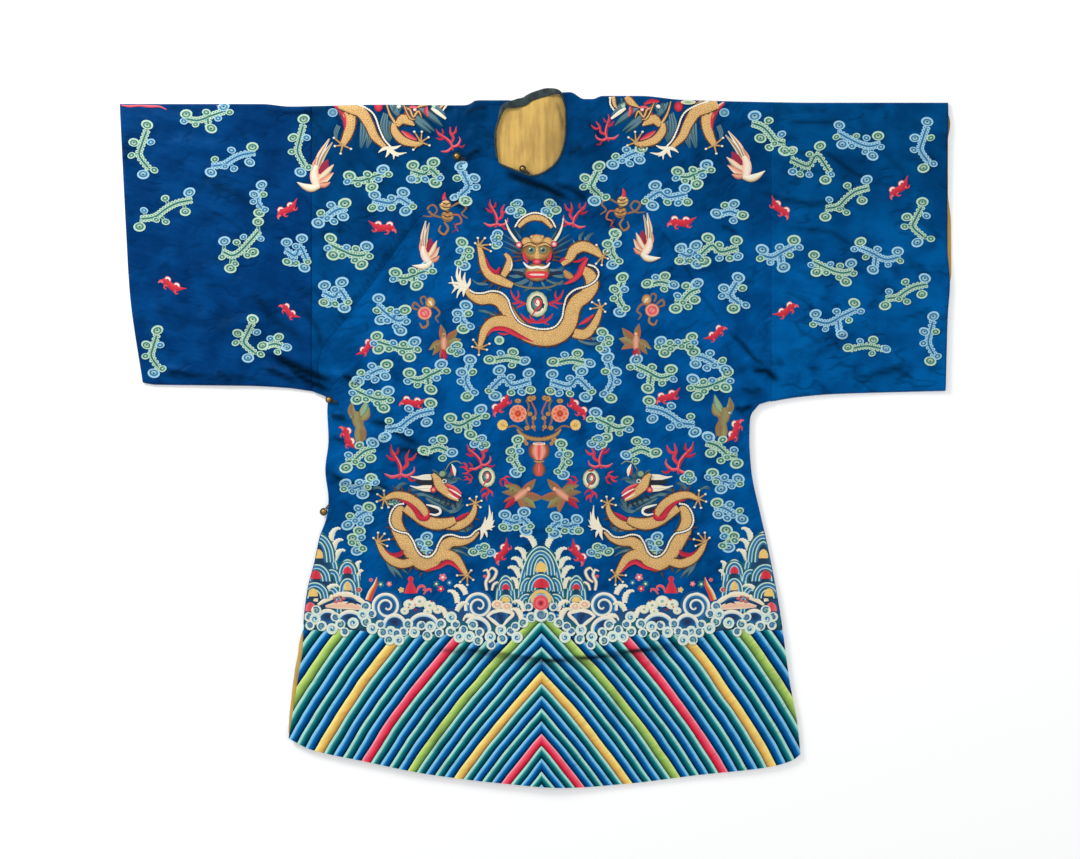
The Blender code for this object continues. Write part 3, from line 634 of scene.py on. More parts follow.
# %% [markdown]
# ## Blue satin and the standing-water stripes
#
# The ground is a blue silk satin: smooth, with a soft sheen, darker towards the shoulders and
# softly crumpled. Below the waves it is covered by "standing water", bands of stitching that
# run down from the centre seam like a roof. Each band is pale along its upper edge and nearly
# black along its lower one, so the pattern is one number that counts bands, and its fraction
# picks the shade. Every fifth band is yellow, red or green.

# %% Satin
BAND_STEP = 100.0             # between coloured bands at the centre seam, mm
BAND_START = 917.6            # down to the middle of the yellow one there
BAND_SPREAD = 96.8            # the same step across, at the top of the bands
BAND_NARROW = 0.0675          # and how it narrows on the way down
BANDS_FROM = 858.4
STRIPED_FROM = 816            # the stripes start here, under the waves
DARK_NECK = (60, 330)         # darkest above the first depth, its own shade below the second
GRAIN = 0.9                   # the finest grain of the weave, mm

TEAL_BAND = [(0.0, (176, 222, 206)), (0.2, (166, 220, 204)), (0.36, (40, 136, 140)),
             (0.58, (0, 96, 106)), (0.82, (0, 48, 58)), (0.96, (0, 14, 26))]
BLUE_BAND = [(0.0, (140, 202, 234)), (0.2, (120, 190, 230)), (0.38, (16, 110, 176)),
             (0.6, (0, 78, 142)), (0.82, (0, 42, 90)), (0.96, (0, 14, 36))]
YELLOW_BAND = [(0.0, (250, 236, 150)), (0.3, (242, 208, 108)), (0.65, (224, 172, 78)),
               (0.9, (176, 122, 52)), (0.98, (50, 40, 26))]
RED_BAND = [(0.0, (248, 176, 186)), (0.22, (244, 96, 116)), (0.6, (228, 44, 70)),
            (0.88, (176, 8, 38)), (0.98, (50, 8, 18))]
GREEN_BAND = [(0.0, (218, 234, 148)), (0.22, (186, 212, 106)), (0.6, (134, 174, 76)),
              (0.88, (86, 116, 48)), (0.98, (16, 34, 18))]


def robe_measure(place):
    """Across and down, in mm, from a material's place on the object."""
    split = place.node("SeparateXYZ", Vector=place)
    return place.of(split, 0) - SEAM_X, SHOULDER_Y - place.of(split, 1)


def noise(place, size, detail=2.0, seed=0.0):
    """Soft random values about 0.5, with blobs of so many mm."""
    moved = place.node("VectorMath", {"operation": "ADD"}, i0=place, i1=(seed, seed * 0.7, seed))
    made = place.node("TexNoise", {"noise_dimensions": "3D"}, Vector=place.of(moved),
                      Scale=1 / size, Detail=detail)
    return place.of(made)


def band_colour(place, a, d):
    """The standing-water stripes: their colour, and their height from 0 to 1."""
    far = a.math("ABSOLUTE")
    spread = BAND_SPREAD - (d - BANDS_FROM) * BAND_NARROW
    sway = (noise(place, 70, seed=40.0) - 0.5) * 0.35
    count = ((d - BAND_START) / BAND_STEP - far / spread) * 5 + 0.5 + sway
    number, part = count.math("FLOOR"), count.math("FRACT")
    fifth = number.math("FLOORED_MODULO", 5)
    kind = (number / 5 + 0.01).math("FLOOR").math("FLOORED_MODULO", 3)
    coloured = 1 - fifth.step(0.2, 0.4)
    blue = 1 - fifth.math("FLOORED_MODULO", 2).step(0.4, 0.6)
    red = 1 - (kind - 1).math("ABSOLUTE").step(0.2, 0.4)
    accent = red.blend(kind.step(1.2, 1.8).blend(part.ramp(*YELLOW_BAND), part.ramp(*GREEN_BAND)),
                       part.ramp(*RED_BAND))
    plain = blue.blend(part.ramp(*TEAL_BAND), part.ramp(*BLUE_BAND))
    height = (part * (1 - part) * 4).math("POWER", 0.6)
    return coloured.blend(plain, accent), height


def drawn_along(place, lean, long):
    """The place, turned by so many degrees and drawn out that way."""
    return place.of(place.node("Mapping", {"vector_type": "TEXTURE"}, Vector=place,
                               Rotation=(0, 0, radians(lean)), Scale=(long, 1, 1)))


def sharp_creases(place, size, lean, seed):
    """Thin lines, here and there, where the cloth has been pressed: 1 in them, 0 elsewhere."""
    line = (noise(drawn_along(place, lean, 2.2), size, 1.5, seed) - 0.5).math("ABSOLUTE")
    here = noise(place, size * 1.6, 1.0, seed + 5).step(0.50, 0.64)
    return (1 - line.step(0.0, 0.085)) * here


def satin(name, deep, light, striped=False, crumple=1.0, lean=25, drawn_out=2.6,
          shaded=0.36):
    """Blue satin, softly mottled, with pressed lines, drawn-out wrinkles and painted crease shade.
    """
    made, shader, place = finish_of(name, Roughness=0.52, Specular_IOR_Level=0.25,
                                    Specular_Tint=(0.02, 0.36, 0.8, 1))
    a, d = robe_measure(place)
    shade = noise(place, 120, 3.0) * 0.55 + noise(place, 30, 3.0, 7.0) * 0.45
    colour = shade.step(0.36, 0.64).blend(*mix_of(deep, light))
    drawn = noise(drawn_along(place, lean, drawn_out), 17, 2.0, 3.0)
    pressed = sharp_creases(place, 34, lean - 8, 13.0) + sharp_creases(place, 20, lean + 20, 31.0)
    wrinkle = (noise(place, 42, 2.0, 3.0) * 2.6 + drawn * 3.0 - pressed * 0.5) * crumple \
        + noise(place, 9, 2.0, 9.0) * 0.35
    height = wrinkle + noise(place, GRAIN, 1.0, 2.0) * 0.05
    # painted shade along the pressed lines, weaker on the stripes below
    pressed_shade = pressed * 0.3 * crumple
    neck_shade = 1 - d.step(*DARK_NECK)
    colour = colour.scaled(1 - neck_shade * shaded)
    if striped:
        bands, rise = band_colour(place, a, d)
        low = d.step(STRIPED_FROM, STRIPED_FROM + 1)
        colour = low.blend(colour, bands)
        height = height + low * rise * 1.1
        pressed_shade = pressed_shade * (1 - low * 0.6)
    # painted shade: darker in the hollows of creases, and along the pressed lines
    dim = (1 - place.attribute("crease") * 0.86).math("POWER", 2.0) * (1 - pressed_shade)
    place.feed(shader, Base_Color=colour.scaled(dim), Normal=bump(height))
    return made


skirt_satin = satin("blue_satin_front", (0, 60, 116), (0, 82, 148), striped=True, crumple=0.8)
under_satin = satin("blue_satin_underlap", (0, 54, 106), (0, 74, 134), striped=True, lean=-40)
left_satin = satin("blue_satin_left_sleeve", (0, 66, 124), (0, 88, 154), crumple=1.1, lean=-16,
                   drawn_out=4.5)
right_satin = satin("blue_satin_right_sleeve", (0, 43, 95), (2, 60, 119), crumple=0.75, lean=-20,
                    drawn_out=3.5, shaded=0.1)
print("satins made")

# %% [markdown]
# ## Fronts and underlap
#
# The wearer's left front runs from the shoulder fold to the hem. The overlap is seamed to it
# down the middle, and its curved edge crosses the chest to the underarm. The underlap shows only
# above that edge. At the shoulder fold the cloth turns over, so its height falls to the edge.

# %% Fronts
NECK_FRONT = 112.0
HALF_SEAM = 0.03
BACK_SEAM = -1.0   # beside the front seam, so that no light comes straight through


def upper_sheet(level):
    """Top and bottom of a cloth that turns over at the shoulder fold."""
    def top(a, d):
        return rolled(level(a, d) + WALL, d - top_edge(a))

    def bottom(a, d):
        return np.maximum(0.0, top(a, d) - WALL)
    return top, bottom


def left_front_inner(d):
    return np.where(d < NECK_FRONT, reading(NECK_LEFT, True)(d), HALF_SEAM)


left_front = finish_piece(
    "left_front", cut_cloth(even(82), cell_shares(218, roll_first=True),
                            between(left_front_inner, side_left, top_edge, hem),
                            *upper_sheet(first_level)),
    skirt_satin, ["front_left"])

overlap = finish_piece(
    "overlap", cut_cloth(even(76), cell_shares(200),
                         between(lambda d: np.where(d < 474, flap_edge(d), side_right(d)),
                                 lambda d: 0 * d - HALF_SEAM, flap_top, hem),
                         lambda a, d: overlap_level(a, d) + WALL, overlap_level),
    skirt_satin, ["front_overlap"])


def underlap_side(d):
    return side_right(d) + 3.0 * ease((d - UNDERARM) / 60)


underlap = finish_piece(
    "underlap", cut_cloth(even(56), cell_shares(170, roll_first=True),
                          between(underlap_side, reading(NECK_RIGHT, True), top_edge,
                                  lambda a: hem(a) - 8.0),
                          *upper_sheet(under_level)),
    under_satin, ["front_right_under"])
for piece in (left_front, overlap, underlap):
    print(piece.name, len(piece.data.polygons), "faces")

# %% [markdown]
# ## Backs
#
# The two back widths are the lowest layer and lie flat on the table. They show only as edges,
# and from below, so a coarse grid is enough.

# %% Backs


def back_top(a):
    behind_neck = (a > BACK_NECK[0][0]) & (a < BACK_NECK[-1][0])
    return np.where(behind_neck, reading(BACK_NECK)(a), top_edge(a) + 7.0)


def back_side_right(d):
    sewn = 1 - ease((d - SLIT_EDGE[0][0] + 40) / 50)
    return side_right(d) + 1.5 * ease((d - UNDERARM) / 60) * sewn - reading(SLIT_EDGE)(d)


def back_side_left(d):
    return side_left(d) - 1.5 * ease((d - UNDERARM) / 60)


for name, left, right, node in (
        ("right_back", back_side_right, lambda d: 0 * d + BACK_SEAM - HALF_SEAM, "back_right"),
        ("left_back", lambda d: 0 * d + BACK_SEAM + HALF_SEAM, back_side_left, "back_left")):
    piece = finish_piece(
        name, cut_cloth(even(40), cell_shares(60), between(left, right, back_top,
                                                          lambda a: hem(a) - 2.0),
                        lambda a, d: 0 * a + BACK_TOP, lambda a, d: 0 * a + BACK_BOTTOM),
        skirt_satin, [node])
    print(name, len(piece.data.polygons), "faces")

# %% [markdown]
# ## Sleeves
#
# A sleeve is a flat tube: one width folded at the shoulder and sewn along its underside. The
# grid's rows go once round it, the first and last rows are merged, and a Solidify modifier gives
# the wall inwards, so that the cuff stays open.

# %% Sleeves
TUCKED = 1.6                  # the sleeve's raw edge lies this far under the body's
SLEEVE_WALL = 1.2


def make_sleeve(name, side, node, look):
    """A flat tube from the armhole to the cuff. Its rows run down the front and up the back."""
    cuff = cuff_left if side > 0 else cuff_right
    under = under_left if side > 0 else under_right
    seam = side * (SLEEVE_SEAM - TUCKED)
    half = cell_shares(88, roll_first=True, roll_last=True)
    columns = even(60)
    bm = bmesh.new()
    # each point carries the shade painted into the hollows of creases
    hollow_shade = bm.verts.layers.float.new("crease")
    ring = 2 * (len(half) - 1)
    bmesh.ops.create_grid(bm, x_segments=len(columns) - 1, y_segments=ring, size=0.5)
    grid = np.array([v.co[:2] for v in bm.verts]) + 0.5
    column = grid[:, 0]
    row = np.rint(grid[:, 1] * ring).astype(int)
    lower = row > len(half) - 1
    row = np.where(lower, ring - row, row)
    share, offset = half[row].T
    a = np.full(len(row), seam)
    for _ in range(TRIES):
        d = top_edge(a) * (1 - share) + under(a) * share + offset
        a = seam * (1 - column) + cuff(d) * column
    depth = np.minimum(d - top_edge(a), under(a) - d)
    upper_height = rolled(first_level(a, d) + WALL, depth)
    upper_height -= 0.5 * (1 - ease((np.abs(a) - SLEEVE_SEAM) / 3.0))
    edge_height = 0.35 * (first_level(a, d) + WALL)
    height = np.where(lower, BACK_BOTTOM + edge_height
                      * (1 - np.clip(depth / FOLD_ROLL, 0, 1)) ** 2, upper_height)
    # only the sleeve's upper cloth gets the painted crease shade
    dark = np.where(lower, 0, crease_field(a, d)[1])
    for vert, at, dim in zip(bm.verts, to_frame(a, d, height), dark):
        vert.co, vert[hollow_shade] = at, dim
    faces = [[v.index for v in face.verts] for face in bm.faces]
    faces = [face for face in faces if not lower[face].any()]
    carrying.append((to_frame(a, d, height), faces))
    bmesh.ops.remove_doubles(bm, verts=bm.verts[:], dist=0.01 * MM)
    bmesh.ops.recalc_face_normals(bm, faces=bm.faces[:])
    if sum(face.normal.z * face.calc_area() for face in bm.faces if face.calc_center_median().z
           > BACK_TOP * MM) < 0:
        bmesh.ops.reverse_faces(bm, faces=bm.faces[:])
    made = finish_piece(name, bm, look, [node])
    wall = made.modifiers.new("wall", "SOLIDIFY")
    wall.thickness = SLEEVE_WALL * MM
    wall.offset = -1
    return made


for name, side, node, look in (("left_sleeve", 1, "sleeve_left", left_satin),
                               ("right_sleeve", -1, "sleeve_right", right_satin)):
    sleeve = make_sleeve(name, side, node, look)
    print(name, len(sleeve.data.polygons), "faces")

# %% [markdown]
# ## Stitched work
#
# The embroiderer draws on the cut cloth, counting from the centre seam and the shoulder line,
# and fills each shape with satin stitch or couched gold. The chart below counts in steps of
# 1.6 mm. Two shapes draw nearly everything: a stroke of changing width, from a grid laid along
# a path, and a spot, from a circle whose face is inset. Both are domed like padded stitches, and
# each lies just above the shapes that it crosses. When a family of motifs is drawn, every point
# is dropped onto the cloth below it.

# %% Thread colours
PADDING = 0.45                # a stroke's pad times this is how high it is stuffed, mm
WORK_LIFT = 0.16              # stitches stand this far above the cloth at their edge, mm
NEXT_LIFT = 0.05              # and each shape this much above those that it crosses
TUCK = 0.1                    # a padded shape's rim is drawn down by this, mm

COLOURS = {
    "white": (240, 236, 222), "cream": (238, 224, 190), "mint": (196, 226, 210),
    "sky": (128, 192, 220), "blue": (30, 112, 168), "deep": (4, 72, 126), "navy": (6, 42, 84),
    "teal": (6, 98, 110), "sage": (138, 176, 138), "maroon": (150, 30, 66),
    "moss": (146, 150, 92), "gold": (204, 156, 92), "dark_gold": (164, 112, 58),
    "pale_gold": (232, 196, 128), "red": (206, 32, 56), "pink": (236, 116, 122),
    "wine": (146, 20, 58), "yellow": (238, 200, 100), "brown": (140, 98, 62),
    "orange": (224, 92, 44), "smoke": (56, 98, 112), "dark": (20, 30, 44),
    "steel": (104, 138, 150), "coral": (222, 60, 72), "peach": (238, 166, 140),
    "rim_green": (186, 216, 190), "ring_green": (52, 122, 112), "eye_green": (132, 166, 130),
    "rim_blue": (160, 206, 226), "ring_blue": (40, 112, 158), "eye_blue": (120, 166, 160),
    "sky_blue": (30, 108, 158), "jade": (20, 100, 96), "shadow_green": (4, 56, 74),
    "shadow_blue": (4, 52, 110), "drab": (134, 118, 78), "rust": (176, 92, 60),
    "outline": (88, 52, 34), "amber": (222, 178, 114)}
PALETTE = {name: np.array([*linear(rgb), 0.0]) for name, rgb in COLOURS.items()}
for name, gilt in (("gold", 1.0), ("dark_gold", 0.5), ("pale_gold", 1.0), ("amber", 1.0)):
    PALETTE[name][3] = gilt   # the fourth number says how much of it is metal thread
print(len(PALETTE), "colours of thread")

# %% Strokes and spots
templates = {}                # each grid and circle is made once, and read again after that


def shade(name):
    """A colour's four numbers, from its name or from themselves."""
    return PALETTE[name] if isinstance(name, str) else name


def strip_template(cells, lanes):
    """The shares along and across of a grid's points, and its faces."""
    key = (cells, lanes)
    if key not in templates:
        bm = bmesh.new()
        bmesh.ops.create_grid(bm, x_segments=cells, y_segments=lanes, size=0.5)
        at = np.array([v.co[:2] for v in bm.verts]) + 0.5
        templates[key] = at, [[v.index for v in face.verts] for face in bm.faces]
        bm.free()
    return templates[key]


def spot_template(sides, rings):
    """The points of a unit circle whose face is inset ring by ring, and its faces."""
    key = (sides, rings, "spot")
    if key not in templates:
        bm = bmesh.new()
        bmesh.ops.create_circle(bm, cap_ends=True, segments=sides, radius=1.0)
        if bm.faces[:][0].normal.z < 0:
            bmesh.ops.reverse_faces(bm, faces=bm.faces[:])
        centre = bm.faces[:]
        for _ in range(rings):
            bmesh.ops.inset_individual(bm, faces=centre, use_even_offset=True,
                                       thickness=cos(pi / sides) / (rings + 0.4))
        bm.verts.index_update()
        at = np.array([v.co[:2] for v in bm.verts])
        templates[key] = at, [[v.index for v in face.verts] for face in bm.faces]
        bm.free()
    return templates[key]


def smooth_path(points, spacing):
    """Points and half widths read along a smooth curve through (x, y, half width) rows."""
    p = np.array(points, float)
    p = np.vstack([2 * p[0] - p[1], p, 2 * p[-1] - p[-2]])
    spans = []
    for a, b, c, e in zip(p, p[1:], p[2:], p[3:]):
        count = max(1, int(np.ceil(np.hypot(*(c - b)[:2]) / spacing)))
        t = np.linspace(0, 1, count, endpoint=False)[:, None]
        spans.append(0.5 * (2 * b + (c - a) * t + (2 * a - 5 * b + 4 * c - e) * t ** 2
                            + (3 * b - a - 3 * c + e) * t ** 3))
    made = np.vstack([*spans, p[-2:-1]])
    made[:, 2] = np.maximum(made[:, 2], 0.05)
    return made


print("a spot of 12 sides has", len(spot_template(12, 2)[1]), "faces")


# %% Embroidery class
class Embroidery:
    """A family of motifs, drawn on the chart and made one mesh."""

    def __init__(self):
        self.points, self.lifts, self.shades, self.lays, self.faces = [], [], [], [], []
        self.count, self.order, self.mirrored = 0, 0, None
        self.laid, self.group = [], 0

    def keep(self, at, lift, colour, lay, faces):
        """Stores one shape just above those of its group that it crosses, mirrored if asked."""
        if self.mirrored is not None:
            at = at * (-1, 1) + (self.mirrored, 0)
            faces = [face[::-1] for face in faces]
        if self.order != self.group:       # another order starts a group with its own heights
            self.laid, self.group = [], self.order
        low, high = at.min(axis=0), at.max(axis=0)
        level = 1 + max((row[4] for row in self.laid if row[0] < high[0] and row[2] > low[0]
                         and row[1] < high[1] and row[3] > low[1]), default=-1)
        self.laid.append((*low, *high, level))
        self.points.append(at)
        self.lifts.append(lift + (self.order + level) * NEXT_LIFT)
        self.shades.append(colour)
        self.lays.append(lay)
        self.faces.extend([[i + self.count for i in face] for face in faces])
        self.count += len(at)

    def stroke(self, points, colour, tip=None, pad=0.5, lanes=2, spacing=2.2, teeth=None):
        """A stroke of (x, y, half width) points. colour is one, or a list from left to right."""
        line = smooth_path(points, spacing)
        run = np.gradient(line[:, :2], axis=0)
        run /= np.maximum(np.hypot(*run.T), 1e-6)[:, None]
        travel = np.concatenate([[0], np.cumsum(np.hypot(*np.diff(line[:, :2], axis=0).T))])
        width = line[:, 2].copy()
        if teeth:
            period, depth = teeth
            width *= 1 + depth * np.where((travel / period) % 1 < 0.5, 1, -1)
        at, faces = strip_template(len(line) - 1, lanes)
        i = np.rint(at[:, 0] * (len(line) - 1)).astype(int)
        across = at[:, 1] * 2 - 1
        # the chart runs downwards, so the left hand of the path is (run_y, -run_x)
        left = np.stack([run[i, 1], -run[i, 0]], axis=-1)
        placed = line[i, :2] + left * (across * width[i])[:, None]
        lift = pad * PADDING * np.sqrt(np.maximum(0.0, 1 - across ** 2)) \
            - (TUCK if lanes > 1 and pad > 0.15 else 0.0) * (np.abs(across) > 0.98)
        stops = [shade(c) for c in (colour if isinstance(colour, list) else [colour])]
        where = (1 - at[:, 1]) * (len(stops) - 1)
        first = np.clip(np.floor(where).astype(int), 0, max(len(stops) - 2, 0))
        after = np.clip(first + 1, 0, len(stops) - 1)
        mixed = np.array(stops)[first] * (1 - (where - first))[:, None] \
            + np.array(stops)[after] * (where - first)[:, None]
        if tip is not None:
            mixed = mixed + (shade(tip) - mixed) * (at[:, 0] ** 2)[:, None]
        lay = np.stack([travel[i] * STEP, across * width[i] * STEP], axis=-1)
        self.keep(placed, lift, mixed, lay, faces)

    def spot(self, x, y, wide, high, colours, turn=0.0, pad=0.6, sides=12):
        """An oval with a colour for each ring, rim to middle. A flat one shows all of its rim."""
        rings = max(1, len(colours) - 1)
        at, faces = spot_template(sides, rings)
        far = np.hypot(*at.T)
        c, s = cos(radians(turn)), sin(radians(turn))
        own = at * (wide, -high)
        placed = np.stack([x + own[:, 0] * c - own[:, 1] * s, y + own[:, 0] * s + own[:, 1] * c],
                          axis=-1)
        ring = np.clip(np.rint((1 - far) * (rings + 0.4)), 0, len(colours) - 1).astype(int)
        sunk = TUCK if pad > 0.1 else 0.0
        lift = pad * PADDING * np.sqrt(np.maximum(0.0, 1 - far ** 2)) - sunk * (far > 0.98)
        self.keep(placed, lift, np.array([shade(c) for c in colours])[ring], own * STEP, faces)

    def motif(self):
        """Starts a new motif, whose first shape lies on the cloth again."""
        self.order, self.laid = 0, []

    def figure(self, rows, x, y, turn, size, flip=1):
        """Draws a motif's own rows at a place on the chart, turned and sized."""
        self.motif()
        c, s = cos(radians(turn)) * size, sin(radians(turn)) * size

        def moved(px, py):
            return x + (px * c - py * s) * flip, y + px * s + py * c
        for kind, colour, *rest in rows:
            if kind == "spot":
                px, py, wide, high = rest
                self.spot(*moved(px, py), wide * size, high * size, colour, turn * flip, 0.1)
            elif kind == "hair":
                for px, py, to_x, to_y in rest[0]:
                    self.stroke([(*moved(px, py), 0.8), (*moved(to_x, to_y), 0.2)], colour,
                                pad=0.15, lanes=1)
            else:
                line = [(*moved(px, py), w * size) for px, py, w in rest[0]]
                self.stroke(line, colour if flip > 0 or not isinstance(colour, list)
                            else colour[::-1], *rest[1:])

    def settle(self, name, look, underside=False):
        """Drops every point onto the cloth and makes the piece."""
        at = np.vstack(self.points)
        a = (at[:, 0] - CHART_SEAM) * STEP
        d = (at[:, 1] - CHART_SHOULDER) * STEP
        outside = off_robe(a, d)
        keep = [face for face in self.faces if not outside[face].all()]
        a, d = on_robe(a, d)
        lift = np.concatenate(self.lifts) + WORK_LIFT
        if underside:
            height = BACK_BOTTOM * (1 - lift / (lift.max() * 1.05))
            keep = [face[::-1] for face in keep]
        else:
            height = cloth_height(a, d) + lift
        mesh = bpy.data.meshes.new(name)
        mesh.from_pydata(to_frame(a, d, height), [], keep)
        thread = mesh.attributes.new("thread", "FLOAT_COLOR", "POINT")
        thread.data.foreach_set("color", np.vstack(self.shades).ravel().astype(np.float32))
        lay = mesh.uv_layers.new(name="lay")
        corners = np.zeros(len(mesh.loops), int)
        mesh.loops.foreach_get("vertex_index", corners)
        lay.data.foreach_set("uv", np.vstack(self.lays)[corners].ravel().astype(np.float32))
        made = add_object(name, mesh)
        mesh.materials.append(look)
        mesh.shade_smooth()
        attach(made, "root")
        triangles = sum(len(face) - 2 for face in keep)
        print(name, len(self.points), "shapes,", triangles, "triangles")


print("a shape's rim stands", WORK_LIFT, "mm above the cloth")


# %% Where the cloth is
def side_edges(d):
    """The robe's left-hand and right-hand edges at each depth, a little inside."""
    sleeve = d < 455
    low = np.where(sleeve, cuff_right(d), side_right(d))
    high = np.where(sleeve, cuff_left(d), side_left(d))
    return low + 1.2, high - 1.2


def down_edges(a, d):
    """The robe's upper and lower edges at each place, a little inside."""
    under = np.where(a > SLEEVE_SEAM, under_left(a), under_right(a))
    body = (a > -SLEEVE_SEAM) & (a < SLEEVE_SEAM) | (d > 600)
    return top_edge(a) + 0.6, np.where(body, hem(a), under) - 1.0


def off_robe(a, d):
    low, high = side_edges(d)
    top, bottom = down_edges(a, d)
    return (a < low) | (a > high) | (d < top) | (d > bottom)


def on_robe(a, d):
    """Pulls points that stray past an edge back onto the cloth."""
    low, high = side_edges(d)
    a = np.clip(a, low, high)
    return a, np.clip(d, *down_edges(a, d))


def cloth_height(a, d):
    """The height of the uppermost cloth at each place, in mm."""
    found = []
    down = Vector((0, 0, -1))
    for x, y, _ in to_frame(a, d, 0 * a):
        hit = top_of_cloth.ray_cast(Vector((x, y, 0.1)), down)[0]
        found.append(hit.z / MM if hit else WALL)
    return np.array(found)


points, faces = [], []
for at, own in carrying:
    faces.extend([[i + len(points) for i in face] for face in own])
    points.extend(Vector(p) for p in at)
top_of_cloth = BVHTree.FromPolygons(points, faces)
print("cloth to stitch on:", len(faces), "faces")

# %% [markdown]
# ## Silk and gold thread
#
# All the stitching shares one material. Each point carries its thread's colour, and the fourth
# number of that colour says how much of it is couched gold. The stitches themselves are a fine
# ribbing across each stroke, read from the shape's own UV map, and gold adds a row of scales.

# %% Thread
SCALE_LENGTH, SCALE_WIDTH = 4.4, 4.0       # the couched gold's scales, mm
RIB = 1.5                     # from one rib of stitches to the next, mm
thread_look, shader, place = finish_of("embroidery_thread", Sheen_Weight=0.1,
                                       Specular_IOR_Level=0.25)
colour_node = place.node("Attribute", {"attribute_name": "thread"})
thread_colour, gilt = place.of(colour_node, 0), place.of(colour_node, 3)
uv = place.of(place.node("UVMap", {"uv_map": "lay"}))
uv_parts = place.node("SeparateXYZ", Vector=uv)
along, aside = place.of(uv_parts, 0), place.of(uv_parts, 1)
ribs = (along * (2 * pi / RIB) + noise(place, 3, seed=5.0) * 2.0).math("SINE") * 0.5 + 0.5
lane = aside / SCALE_WIDTH
odd = lane.math("FLOOR").math("FLOORED_MODULO", 2)
cell_u = (along / SCALE_LENGTH + odd * 0.5).math("FRACT")
cell_v = lane.math("FRACT") - 0.5
scale_edge = (cell_u - (0.25 - cell_v * cell_v) * 1.6).math("ABSOLUTE").step(0.0, 0.22)
streak = noise(place, 2.2, 2.0, 11.0) * 0.5 + noise(place, 14.0, 2.0, 4.0) * 0.5
speckle = noise(place, 1.5, 1.0, 8.0).step(0.36, 0.64)
# the silk is painted darker between its ribs of stitches, a painted shade in the grooves
depth = (0.84 + ribs * 0.16) * (1 - gilt) + gilt * (0.54 + scale_edge * 0.28 + speckle * 0.30)
raised = ribs * 0.10 * (1 - gilt) + scale_edge * gilt * 0.22 + streak * 0.12
place.feed(shader, Base_Color=thread_colour.scaled(depth * (0.86 + streak * 0.30)),
           Metallic=gilt * 0.25, Roughness=0.62 - gilt * 0.16, Normal=bump(raised))
print("thread material ready")

# %% [markdown]
# ## Clouds
#
# Clouds fill the sky between the dragons: a bent ribbon with pale lobes along both edges and a
# dark core, and round heads on short stems close beside it. Each head has a pale rim, a ring and
# a pale middle, and a full-sized one has a dark mark in it. The same few layouts are stretched,
# turned over and coloured in turn, as a workshop does from its pattern sheets.

# %% Cloud layouts
HEAD = (6.9, 5.2)             # half width and half height of a full head, in chart steps
SMALL_HEAD = 0.75             # heads below this size have no dark mark
LOBE_STEP = 4.1               # from one lobe to the next along a ribbon
LOBE_OUT = 2.3                # from a ribbon's middle line to its lobes
STEM, STEM_SHARE = 5.5, 0.3   # a head's stem is at most this long, and a share of its distance
SLEEVES_FROM = 240            # beyond this distance from the seam, clouds are on the sleeves
# each layout: its ribbons, then its heads (x, y, size), in a box from -1 to 1
CLOUD_LAYOUTS = [
    ([[(-.85, .3), (-.4, .2), (-.05, -.15), (.35, -.45), (.85, -.6)]],
     [(-.95, .75, 1), (-.78, -.15, .62), (-.1, -.85, .66), (.1, .65, .62), (.8, -1, 1),
      (.7, .25, .9), (-.35, .35, .55)]),
    ([[(-.85, -.1), (-.1, .15), (.3, -.3), (.85, .35)]],
     [(-.85, -.65, .95), (-.95, .6, .8), (-.55, .65, .62), (-.05, -.35, .62), (-.05, .6, .6),
      (.5, -.9, 1), (.62, .9, 1), (.95, .5, .58)]),
    ([[(-.9, .1), (-.35, .25), (.2, -.15), (.7, -.5)], [(.05, .1), (.1, .7)]],
     [(-.85, -.3, 1), (-.95, .35, .6), (-.45, .62, .55), (.0, -.45, .66), (.72, -.95, 1),
      (.98, -.45, .62), (.2, .95, 1), (.5, .1, .6)]),
    ([[(.2, -.75), (-.1, -.25), (-.25, .15), (.3, .6)]],
     [(.25, -1, 1), (.5, -.35, .66), (-.65, -.35, .9), (-.75, .15, .62), (-.05, .9, 1),
      (.7, .7, .64)]),
    ([[(-.85, -.5), (-.4, -.2), (.1, .1), (.5, .2), (.9, .1)]],
     [(-.85, -.95, .95), (-.98, -.3, .6), (-.75, .2, 1), (-.3, .2, .6), (-.1, -.35, .58),
      (.35, -.25, .62), (.3, .5, .6), (.85, -.45, 1), (.62, .95, 1), (.98, .25, .6)]),
    ([[(-.7, .2), (.0, -.1), (.7, .2)]],
     [(-.85, .1, .95), (-.3, -.65, .62), (.25, .75, .6), (.3, -.8, .9), (.88, .25, .9)])]
# rim, ring, middle, core, mark
CLOUD_HUES = {"g": ("rim_green", "ring_green", "eye_green", "jade", "shadow_green"),
              "b": ("rim_blue", "ring_blue", "eye_blue", "sky_blue", "shadow_blue")}

